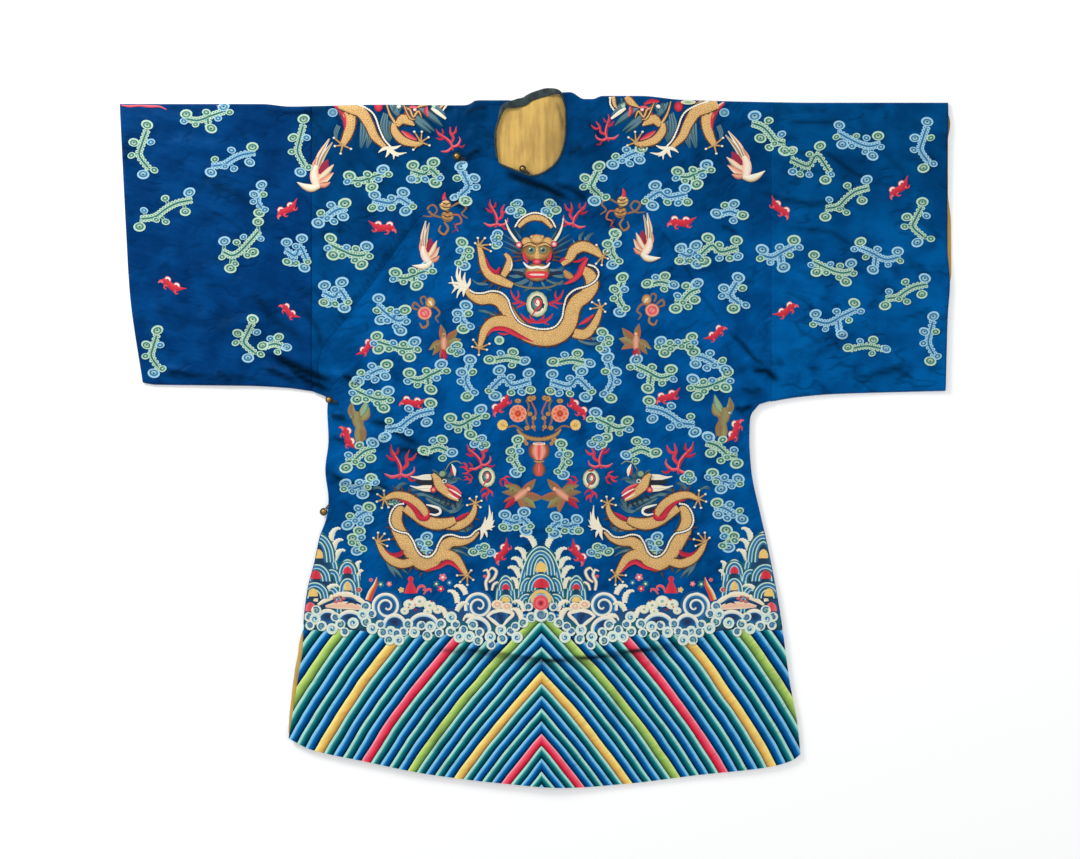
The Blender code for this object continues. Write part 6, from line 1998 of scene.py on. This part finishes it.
# %% Peaks and what floats beside them
def draw_peaks(work):
    """The dark base, the curling rings and the smaller peaks."""
    work.motif()
    work.stroke([(300, 617, 13), (345, 617, 12), (400, 621, 13), (450, 621, 13),
                 (500, 623, 14), (524, 616, 10)],
                ["deep", "deep", "teal", "navy"], pad=0.1, lanes=3, spacing=6.0)
    for x, y, r in ((387.0, 606.2, 15.8), (479.0, 605.6, 15.6)):
        work.order = 3
        whorl(work, x, y, r)
    work.order = 3
    # the side peak, cut by the seam
    peak(work, [(317, 612, 26, 82, 4), (319, 562, 17, 29, 6), (332, 581, 9.6, 13, 4),
                (317, 581, 15, 18, 6), (331, 598, 9.6, 13, 4), (315, 598, 15, 17, 5),
                (319, 558, 4.8, 9, "pale_gold", "yellow"), (316.5, 578.5, 5.2, 8.4, "coral", "red"),
                (313.5, 596, 5, 8, "pale_gold", "yellow"), (311, 611, 5.4, 9, "pink", "coral")])
    work.order = 6
    # the small peak beside it, and the one beside the middle
    peak(work, [(348, 598, 13.5, 40, 4), (348, 574, 9.6, 13.6, 4),
                (348, 573, 4.4, 6.6, "coral", "red"), (348, 591, 9.6, 14, 4),
                (348, 590, 3.6, 9, "yellow", "pale_gold"), (505.8, 604, 11, 30, 4),
                (505.8, 590, 8.2, 12, 3), (505.8, 589, 4, 5.4, "coral", "red"),
                (505.8, 603, 8.4, 9.6, 3), (505.8, 601.6, 4.6, 5.6, "pale_gold", "yellow")])


def draw_treasures(work):
    """A coral, a flame, blossoms, loops and knots that float on the waves."""
    work.motif()
    work.stroke([(411, 576, 1.2), (411, 578.6, 3.0), (411, 581.6, 1.9), (411, 585, 3.6),
                 (411, 589, 5.2), (411, 593, 6.6)], ["coral", "red", "red", "coral"], lanes=4)
    work.stroke([(368.6, 600, 3.2), (371.6, 592, 3.0), (375.4, 585, 2.2), (377.4, 577, .4)],
                ["white", "yellow", "orange", "red", "orange"], lanes=5)
    for x, y, r, petal, middle in ((381, 584, 3.0, "ring_green", "white"),
                                   (389.6, 583.6, 2.4, "pink", "cream"),
                                   (371.4, 579.6, 1.8, "pink", "red"),
                                   (401.6, 589.6, 2.6, "pale_gold", "yellow"),
                                   (443, 577, 3.4, "pink", "white"),
                                   (436.6, 583.6, 2.8, "ring_green", "white"),
                                   (449.6, 582.4, 2.6, "ring_blue", "white"),
                                   (441, 588.4, 2.8, "coral", "cream"),
                                   (359.6, 589.6, 2.6, "pink", "red")):
        for i in range(5):
            t = radians(i * 72 + x)
            work.spot(x + r * 0.72 * cos(t), y + r * 0.72 * sin(t), r * 0.5, r * 0.46,
                      [petal, petal], pad=0.3, sides=6)
        work.spot(x, y, r * 0.42, r * 0.42, [middle, middle], pad=0.3, sides=6)
    for line in ([(417, 592, .6), (419, 587, 1.3), (423, 585.4, 1.3), (425.4, 588, 1.0),
                  (423, 590, .6)],
                 [(424, 594, .6), (427, 589.6, 1.2), (431, 589, 1.0), (431, 592, .5)]):
        work.stroke(line, ["pink", "coral", "pink"])
    for line in ([(487, 590, 1.6), (486, 582, 2), (489, 575, 2), (487, 569.6, 1.6),
                  (483, 571, .6)],
                 [(489, 582, 1.2), (494, 578, 1.9), (496.6, 571, 1.9), (492, 567.6, 1.5),
                  (489, 571, .6)],
                 [(492, 590, 1.4), (494, 584, 1.8), (498.6, 582, 1.4), (498, 586, .6)]):
        work.stroke(line, ["outline", "white", "cream", "outline"], lanes=3)
    work.spot(485, 576, 1.8, 1.6, ["pink", "coral"], pad=0.3, sides=8)


print("peaks and treasures can be drawn")


# %% Breakers, foam and spray
def draw_side_foam(work):
    """The breakers and the long roll of surf before the side peak."""
    work.order = 8
    breaker(work, 328.0, 621, 10.0, 12)
    breaker(work, 350.5, 622, 12.5, 12)
    work.stroke([(318.5, 604.5, 1.2), (328, 598.5, 2.6), (341, 593.6, 3.0), (355, 596.5, 2.8),
                 (369.5, 606, 1.4)], ["white", "cream", "cream"], pad=0.6, lanes=3)
    work.stroke([(326, 606, 1.0), (338, 605, 3.4), (352, 605.5, 3.6), (366, 608.5, 1.6)],
                ["cream", "peach", "cream"], pad=0.5, lanes=3)
    work.stroke([(345, 597.2, 0.6), (352, 598.4, 1.5), (358, 601.6, 0.7)], ["blue", "navy"],
                pad=0.3)
    work.stroke([(346, 604.0, 0.5), (352, 601.4, 1.2), (357, 604.2, 0.5)], "navy", pad=0.3)
    for x, y in ((335, 597.4), (339.5, 596.2), (344, 598.0), (336.5, 601.6), (341, 600.4)):
        work.spot(x, y, 2.2, 1.7, ["pink", "wine", "peach"], pad=0.5, sides=8)
    work.spot(359, 589.4, 3.4, 3.0, ["cream", "wine", "pink"], pad=0.6, sides=10)
    claw_of_foam(work, (340, 585.6), (325, 595), 2.4)
    claw_of_foam(work, (327, 589), (316, 601), 2.6, ("yellow", "cream", "white"))


def draw_middle_foam(work):
    """The breakers and the foam between the curling rings and the middle peak."""
    work.order = 9
    breaker(work, 395.0, 627, 11.0, 13.5)
    breaker(work, 424.0, 627, 14.5, 14.5)
    for x, y, w, h in ((410, 604, 6.5, 5.2), (420, 601, 7.0, 5.8), (430, 605, 6.2, 5.0),
                       (438, 609, 5.0, 4.4), (405, 610.5, 4.4, 3.8), (428, 611, 4.6, 3.6)):
        work.spot(x, y, w, h, ["mint", "cream", "white", "sage"], pad=0.7, sides=12)
    for x, y, hue in ((411.5, 599.6, "red"), (415.6, 604.0, "pink"), (409.0, 606.6, "coral"),
                      (432, 601.0, "wine"), (421.6, 603.4, "teal"), (437, 606.4, "gold"),
                      (416, 609.2, "wine")):
        work.spot(x, y, 1.7, 1.3, [hue, hue], pad=0.5, sides=6)
    work.order = 10
    claw_of_foam(work, (448, 590), (457.5, 602.5), 3, CREAM_FOAM)
    claw_of_foam(work, (454.6, 585.6), (466, 594), 3, CREAM_FOAM)
    claw_of_foam(work, (469, 603.2), (457, 610.5), 2.8)
    claw_of_foam(work, (434.5, 606.5), (446.5, 617), 2.6, CREAM_FOAM)
    work.order = 12
    breaker(work, 478.0, 627.5, 12.0, 11.0, 24)
    claw_of_foam(work, (463.6, 619), (474.5, 616.5), 2.4, CREAM_FOAM)
    work.stroke([(497, 613, 2), (500, 615.5, 8.5), (501.5, 620, 5.5), (502.5, 626, 1)],
                ["blue", "deep", "navy", "deep", "blue"], pad=0.3, lanes=4, spacing=1.6)
    work.stroke([(487, 616.5, 1.3), (493, 611.6, 1.8), (503, 610.2, 2.0), (513, 613.4, 1.8),
                 (507, 620.4, 1.5), (501.0, 627.4, 1.2)], ["cream", "white", "cream"],
                pad=0.6, lanes=2)
    work.stroke([(487.6, 616.0, 1.0), (493.5, 620.6, 1.7), (500.5, 626.6, 1.3)],
                ["white", "cream"], pad=0.6)
    for x, y, w, h in ((497.5, 604.0, 6.0, 4.6), (507.0, 606.0, 5.6, 4.2)):
        work.spot(x, y, w, h, ["cream", "cream", "peach", "cream"], pad=0.7, sides=12)
    work.spot(506.4, 604.8, 2.6, 2.4, ["pink", "coral", "white"], pad=0.6, sides=8)
    claw_of_foam(work, (513.4, 600.8), (524.6, 610.6), 3, CREAM_FOAM)
    claw_of_foam(work, (511, 608.6), (521.4, 618.2), 3, CREAM_FOAM)


def draw_spray(work):
    """Bubbles over the first stripes, and tongues of surf beside the peaks."""
    work.order = 16
    for number, (x, y) in enumerate(BUBBLES):
        bubble(work, x, y, 5.0 + 0.5 * ((number * 7) % 3 - 0.5),
               BUBBLE_HUES[(number * 5) % len(BUBBLE_HUES)])
        work.order = 16 + number % 4
    for tip, foot in SURF:
        work.order = 2
        claw_of_foam(work, tip, foot, 3.1)
    work.motif()
    for tip, foot in SIDE_SURF:
        claw_of_foam(work, tip, foot, 2.8)


print("foam and spray can be drawn")

# %% The whole sea
sea_work = Embroidery()
for mirror in (None, MIDDLE):
    sea_work.mirrored = mirror
    for draw in (draw_peaks, draw_treasures, draw_side_foam, draw_middle_foam, draw_spray):
        draw(sea_work)
sea_work.mirrored = None
# the middle peak stands in front of both halves
sea_work.order = 8
peak(sea_work, [(540.8, 606, 24.5, 61, 4), (540.8, 575, 15.6, 26, 7),
                (541, 571.5, 5.8, 10, "pale_gold", "yellow")])
for low, far, wide in ((591, 12.5, 9.4), (607, 14, 10.4)):
    for side in (-1, 1):
        scale(sea_work, 541 + side * far, low, wide, 14.6, 5)
    scale(sea_work, 541, low - 1, 14.6, 17.4, 6)
    if low < 600:
        dome(sea_work, 541.4, 587.2, 7.8, 9.2, ["coral", "red", "coral"])
arc(sea_work, 541, 599.5, 8.8, 1.8, ["pale_gold", "yellow"], begin=195, end=-15, pad=0.6,
    lanes=2)
sea_work.spot(540.8, 602.6, 8.2, 8.0, ["pink", "coral", "pink", "coral", "wine"], pad=1.0,
              sides=16)
bubble(sea_work, 541, 613.8, 7.6)
bubble(sea_work, 528.8, 606.4, 4.4)
bubble(sea_work, 553.2, 606.4, 4.4)
sea_work.settle("sea", thread_look)

# %% [markdown]
# ## Linings
#
# The robe is lined with plain golden silk, which shows behind the neck, at the side slit and
# past the left cuff. Lining is cut a little loose, so it settles into soft lengthwise pleats.
# Their shade comes from the same crease attribute as the satin's.

# %% Linings
LINING_RIGHT = [(6, -21), (-12, -15), (-30, -8), (-44, -1), (-52, 3), (-75, 8), (-82, 30),
                (-85, 66), (-83, 92), (-77, 108), (-50, 122), (-20, 131)]
LINING_LEFT = [(12, -21), (20, -18), (27, -14), (29, -11), (40, -8), (49, 8), (50, 30),
               (48, 62), (42, 86), (32, 102), (18, 116), (-16, 131)]
LINING_LOW = WALL + 0.3       # the underside of a lining, above the table
LINING = 0.8                  # its thickness
LINING_TOP = LINING_LOW + LINING
LINING_HIGH, LINING_DEEP = -20, 151   # the neck lining starts here, and is this deep
CUFF_STAND = [(1.0, 20), (3.0, 32), (0.8, 56), (0.8, 140), (5.5, 190), (6.0, 225), (3.0, 272),
              (0.6, 284)]
# path, height, reach and the darkness of the shade painted into its hollow, as in CREASES
PLEATS = [
    ([(533, 106), (534, 130), (533, 150), (534, 176)], 0.5, 7, .30),
    ([(546, 98), (547, 124), (546, 150), (549, 172)], 0.5, 10, .34),
    ([(556, 100), (559, 110), (563, 124), (564, 134)], 0.6, 7, .75),
    ([(522, 108), (521, 132), (523, 158)], 0.4, 8, .16),
    ([(510, 112), (509, 140), (511, 168)], 0.4, 9, .14),
    ([(540, 120), (539, 146), (541, 170)], 0.3, 5, .22),
    ([(504, 142), (516, 146), (530, 144)], 0.2, 4, .16),
    ([(502, 124), (514, 127), (526, 124)], 0.2, 4, .14),
    ([(527, 160), (528, 168), (525, 178)], 0.3, 4, .30),
    ([(506, 128), (504, 150), (506, 166)], 0.3, 6, .18)]


def lining_silk():
    """Golden silk with fine cords across it, and lengthwise streaks of painted light and shade."""
    made, shader, place = finish_of("yellow_lining_silk", Roughness=0.55,
                                    Specular_IOR_Level=0.2)
    a, d = robe_measure(place)
    drawn = place.node("Mapping", {"vector_type": "TEXTURE"}, Vector=place, Scale=(1, 6, 1))
    # the streaks are painted light and shade: their colour follows the same noise as the bump
    streak = noise(place.of(drawn), 9, 2.0, 3.0) * 0.7 + noise(place, 24, 2.0, 5.0) * 0.3
    colour = streak.step(0.34, 0.66).blend(*mix_of((186, 150, 84), (216, 178, 96)))
    # darker towards the upper right of the neck lining
    darker_upper_right = (a + (d - 40) * 0.1).step(-6, 34) * (1 - d.step(60, 120))
    cord = (d * (2 * pi / 0.9)).math("SINE") * 0.5 + 0.5
    hollow_shade = place.attribute("crease")
    # painted shade in the pleats' hollows and between the cords, and the darker upper right
    dim = (1 - hollow_shade * 0.7) * (1 - darker_upper_right * 0.30) * (0.96 + cord * 0.04)
    place.feed(shader, Base_Color=colour.scaled(dim),
               Normal=bump(streak * 0.8 + cord * 0.04 - hollow_shade * 0.5))
    return made


# cut_cloth also hands over each row's offset near a pressed fold, which a lining does not have
def lining_place(column, share, _):
    d = LINING_HIGH + share * LINING_DEEP
    left, right = reading(LINING_RIGHT, True)(d), reading(LINING_LEFT, True)(d)
    return left * (1 - column) + right * column, d


def strip_place(edge, width, high, low):
    """Places a grid on a narrow strip that follows an edge."""
    def place(column, share, _):
        d = high + share * (low - high)
        return edge(d) + column * width(d), d
    return place


yellow_silk = lining_silk()
stand_out = reading(CUFF_STAND, True)
slit_stand = reading([(b, a) for a, b in SLIT_EDGE], True)
for name, columns, rows, place, top, low, node, flat, area in (
        ("neck_lining", even(40), cell_shares(46), lining_place,
         lambda a, d: LINING_TOP + crease_field(a, d, PLEATS)[0],
         lambda a, d: LINING_LOW + 0 * a, "lining_neck", (0.138, 0.152), 0.0174),
        ("cuff_lining", even(4), cell_shares(80),
         strip_place(lambda d: cuff_left(d) + 0.8, stand_out, 20, 284),
         lambda a, d: 1.4 + 0.2 * np.sin(d / 9), lambda a, d: 0 * a + BACK_BOTTOM,
         "lining_cuff", (0.010, 0.264), 0.0009),
        ("side_slit_lining", even(4), cell_shares(60),
         strip_place(lambda d: side_right(d) - slit_stand(d), lambda d: slit_stand(d) + 1.8,
                     846, 1006),
         lambda a, d: LINING_TOP + 0.1 * np.sin(d / 11), lambda a, d: LINING_LOW + 0 * a,
         "lining_side_slit", (0.010, 0.16), 0.00125)):
    piece = finish_piece(name, cut_cloth(columns, rows, place, top, low, PLEATS),
                         yellow_silk, [node])
    print(name, len(piece.data.polygons), "faces")

# %% [markdown]
# ## Neck binding
#
# A bias strip of charcoal satin edges the neck. It lies on the flap and the fronts, and is
# widest behind the neck. A strip that is turned in along both edges is a little rounded, so its
# height follows a half circle across its width.

# %% Binding
BINDING_LINE = [(-65, 98, 3), (-48, 104, 3), (-29, 111, 3), (-17, 115, 3), (-5, 113.5, 3),
                (9, 106.5, 3), (21, 96, 3), (29.6, 82, 3), (36, 59, 3), (37.6, 32, 2.5),
                (36.8, 7, 2.5), (33, -6, 3), (26, -14, 7), (12, -11.5, 13), (-5, -7, 13),
                (-15, -3, 13), (-25, 4, 14), (-40, 8, 14), (-57, 10, 9), (-67, 28, 3),
                (-72, 46, 3), (-72, 66, 3), (-70, 84, 3), (-69.5, 88, 3)]
inner_edge = smooth_path(BINDING_LINE, 3.0)
edge_run = np.gradient(inner_edge[:, :2], axis=0)
edge_run /= np.hypot(*edge_run.T)[:, None]


def binding_place(column, share, _):
    at = share * (len(inner_edge) - 1)
    count = np.arange(len(inner_edge))
    a, d, wide, run, fall = (np.interp(at, count, values) for values in
                             (*inner_edge.T, *edge_run.T))
    return a - fall * wide * column, d + run * wide * column


def binding_level(a, d):
    """Underside of the binding: on the flap, on the fronts, or on the lining behind the neck."""
    on_flap = (a > -67) & (d > 88) & (a < 0)
    level = np.where(on_flap, overlap_level(a, d), first_level(a, d)) + WALL
    behind = ease((14 - d) / 10) * ease((a + 50) / 20) * ease((24 - a) / 16)
    return level * (1 - behind) + LINING_TOP * behind + 0.3


def binding_top(a, d):
    off, along = near_path([tuple(p) for p in inner_edge[:, :2]], a, d)
    wide = np.interp(along * (len(inner_edge) - 1), np.arange(len(inner_edge)), inner_edge[:, 2])
    share = np.clip(np.abs(off) / wide, 0, 1) * 2 - 1
    puckers = 0.12 * np.sin(along * 260) * (wide > 6)
    return binding_level(a, d) + 0.4 + 0.7 * np.sqrt(np.maximum(0, 1 - share ** 2)) + puckers


def dark_satin():
    """Charcoal satin, unevenly worn, with a slanting grain."""
    made, shader, place = finish_of("charcoal_satin", Roughness=0.45, Specular_IOR_Level=0.3)
    cloudy = noise(place, 12, 3.0, 2.0) * 0.6 + noise(place, 2.5, 2.0, 6.0) * 0.4
    weave = place.node("TexWave", {"wave_type": "BANDS", "bands_direction": "DIAGONAL"},
                       Vector=place, Scale=0.9, Distortion=1.0)
    grain = place.of(weave, 1)
    colour = cloudy.step(0.34, 0.68).blend(*mix_of((22, 32, 40), (54, 70, 70)))
    place.feed(shader, Base_Color=colour.scaled(0.86 + grain * 0.14),
               Normal=bump(cloudy * 0.8 + grain * 0.05))
    return made


charcoal = dark_satin()
binding = finish_piece("collar_binding",
                       cut_cloth(even(8), cell_shares(len(inner_edge) * 2), binding_place,
                                 binding_top, binding_level, PLEATS),
                       charcoal, ["neck_binding"])
print("binding", round(float(np.hypot(*np.diff(inner_edge[:, :2], axis=0).T).sum())), "mm long")

# %% [markdown]
# ## Buttons and loops
#
# Four gilt brass balls close the robe. Each is cast hollow with chased petals round it, and its
# gilding is worn to brown in the grooves. It is held by a loop of rolled charcoal satin, whipped
# with thread, whose doubled ends are sewn to the cloth.

# %% Buttons and loops
LOOP_TURN = {"neck": 40, "chest": 23, "underarm": 20, "side": -50}   # degrees
CORD = 0.95                   # radius of the rolled satin, mm
LOOP_TAIL = 9.0               # its ends reach this far past the ring, mm
THREAD, WHIP_STEP = 0.16, 1.3  # the whipping's radius, and from one turn to the next, mm


def box_of(node):
    """The middle and the size of a CAD node, in mm."""
    solid = bpy.data.objects[node]
    corners = np.array([solid.matrix_world @ Vector(corner) for corner in solid.bound_box]) / MM
    return (corners.min(0) + corners.max(0)) / 2, np.ptp(corners, axis=0)


def worn_gilt():
    """Gilt brass, bright where it is rubbed and brown in the grooves."""
    made, shader, place = finish_of("worn_gilt_brass", Metallic=0.85)
    wear = noise(place, 1.6, 3.0, 4.0) * 0.6 + noise(place, 0.5, 2.0, 8.0) * 0.4
    groove = place.attribute("groove")
    bright = wear.step(0.3, 0.7).blend(*mix_of((142, 106, 48), (206, 168, 92)))
    place.feed(shader, Base_Color=(groove * 0.85).blend(bright, (*linear((52, 40, 22)), 1)),
               Roughness=0.3 + wear * 0.3, Normal=bump(wear * 0.06 - groove * 0.1))
    return made


def chased_ball(name, middle, radius):
    """A ball whose sides are chased with eight petals, between two rings."""
    bm = bmesh.new()
    bmesh.ops.create_uvsphere(bm, u_segments=48, v_segments=24, radius=1.0)
    layer = bm.verts.layers.float.new("groove")
    for vert in bm.verts:
        x, y, z = vert.co
        turn = np.arctan2(y, x)
        petals = max(0.0, 1 - abs(abs(cos(4 * turn)) - 0.08) * 6) * (abs(z) < 0.8)
        rings = max(0.0, 1 - abs(abs(z) - 0.8) * 12)
        vert[layer] = max(petals, rings)
        vert.co *= 1 - 0.05 * vert[layer]
    bmesh.ops.scale(bm, verts=bm.verts, vec=[radius * MM] * 3)
    bmesh.ops.rotate(bm, verts=bm.verts, matrix=Matrix.Rotation(radians(55), 3, "X"))
    bmesh.ops.translate(bm, verts=bm.verts, vec=Vector(middle) * MM)
    return finish_piece("gilt_" + name, bm, brass, [name])


def tube(name, path, radius):
    """A closed tube along a path in mm, with rounded sides."""
    curve = bpy.data.curves.new(name, "CURVE")
    curve.dimensions = "3D"
    curve.bevel_depth = radius * MM
    curve.bevel_resolution = 3
    curve.use_fill_caps = True
    spline = curve.splines.new("POLY")
    spline.points.add(len(path) - 1)
    for point, place in zip(spline.points, path):
        point.co = (*(Vector(place) * MM), 1.0)
    made = bpy.data.objects.new(name, curve)
    mesh = bpy.data.meshes.new_from_object(made)
    bpy.data.objects.remove(made)
    return mesh


def whipped(path, radius, pitch):
    """A thread that winds round a path."""
    path = np.array(path)
    run = np.gradient(path, axis=0)
    run /= np.linalg.norm(run, axis=1)[:, None]
    aside = np.cross(run, (0, 0, 1))
    far = np.concatenate([[0], np.cumsum(np.linalg.norm(np.diff(path, axis=0), axis=1))])
    at = np.arange(0, far[-1], pitch / 10)
    turn = at / pitch * 2 * pi
    read = [np.stack([np.interp(at, far, values) for values in part.T], -1)
            for part in (path, aside)]
    return read[0] + radius * (read[1] * np.cos(turn)[:, None]
                               + np.array((0, 0, 1)) * np.sin(turn)[:, None])


brass = worn_gilt()
for name, degrees_turned in LOOP_TURN.items():
    middle, size = box_of("button_" + name)
    radius = size[2] / 2
    chased_ball("button_" + name, middle, radius)
    level = box_of("loop_" + name)[0][2]
    ring = np.sqrt((radius + CORD + 0.3) ** 2 - (level - middle[2]) ** 2)
    half_gap = CORD + 0.15
    opening = np.arctan2(half_gap, ring)
    angles = np.linspace(opening, 2 * pi - opening, 30)
    route = [(ring + LOOP_TAIL, half_gap), (ring + 5, half_gap), (ring + 1.5, half_gap)]
    route += [(ring * cos(t), ring * sin(t)) for t in angles[1:-1]]
    route += [(ring + 1.5, -half_gap), (ring + 5, -half_gap), (ring + LOOP_TAIL, -half_gap)]
    c, s = cos(radians(degrees_turned)), sin(radians(degrees_turned))
    path = [(middle[0] + along * c - aside * s, middle[1] - along * s - aside * c, level)
            for along, aside in route]
    bm = bmesh.new()
    for mesh in (tube("cord", path, CORD),
                 tube("thread", whipped(path, CORD, WHIP_STEP), THREAD)):
        bm.from_mesh(mesh)
        bpy.data.meshes.remove(mesh)
    cord = finish_piece("cord_" + name, bm, charcoal, ["loop_" + name])
    print(cord.name, len(cord.data.polygons), "faces")

# %% [markdown]
# ## The back of the robe
#
# The back carries the same design as the front, and here it lies on the table. The same drawn
# shapes are dropped onto the underside and pressed into the little room below it, so that the
# robe still lies flat.

# %% Back embroidery
for name, drawn in (("clouds", sky), ("dragons", dragon_work), ("treasures", treasure_work),
                    ("creatures", flock), ("offerings", basketry), ("sea", sea_work)):
    drawn.settle("back_" + name, thread_look, underside=True)
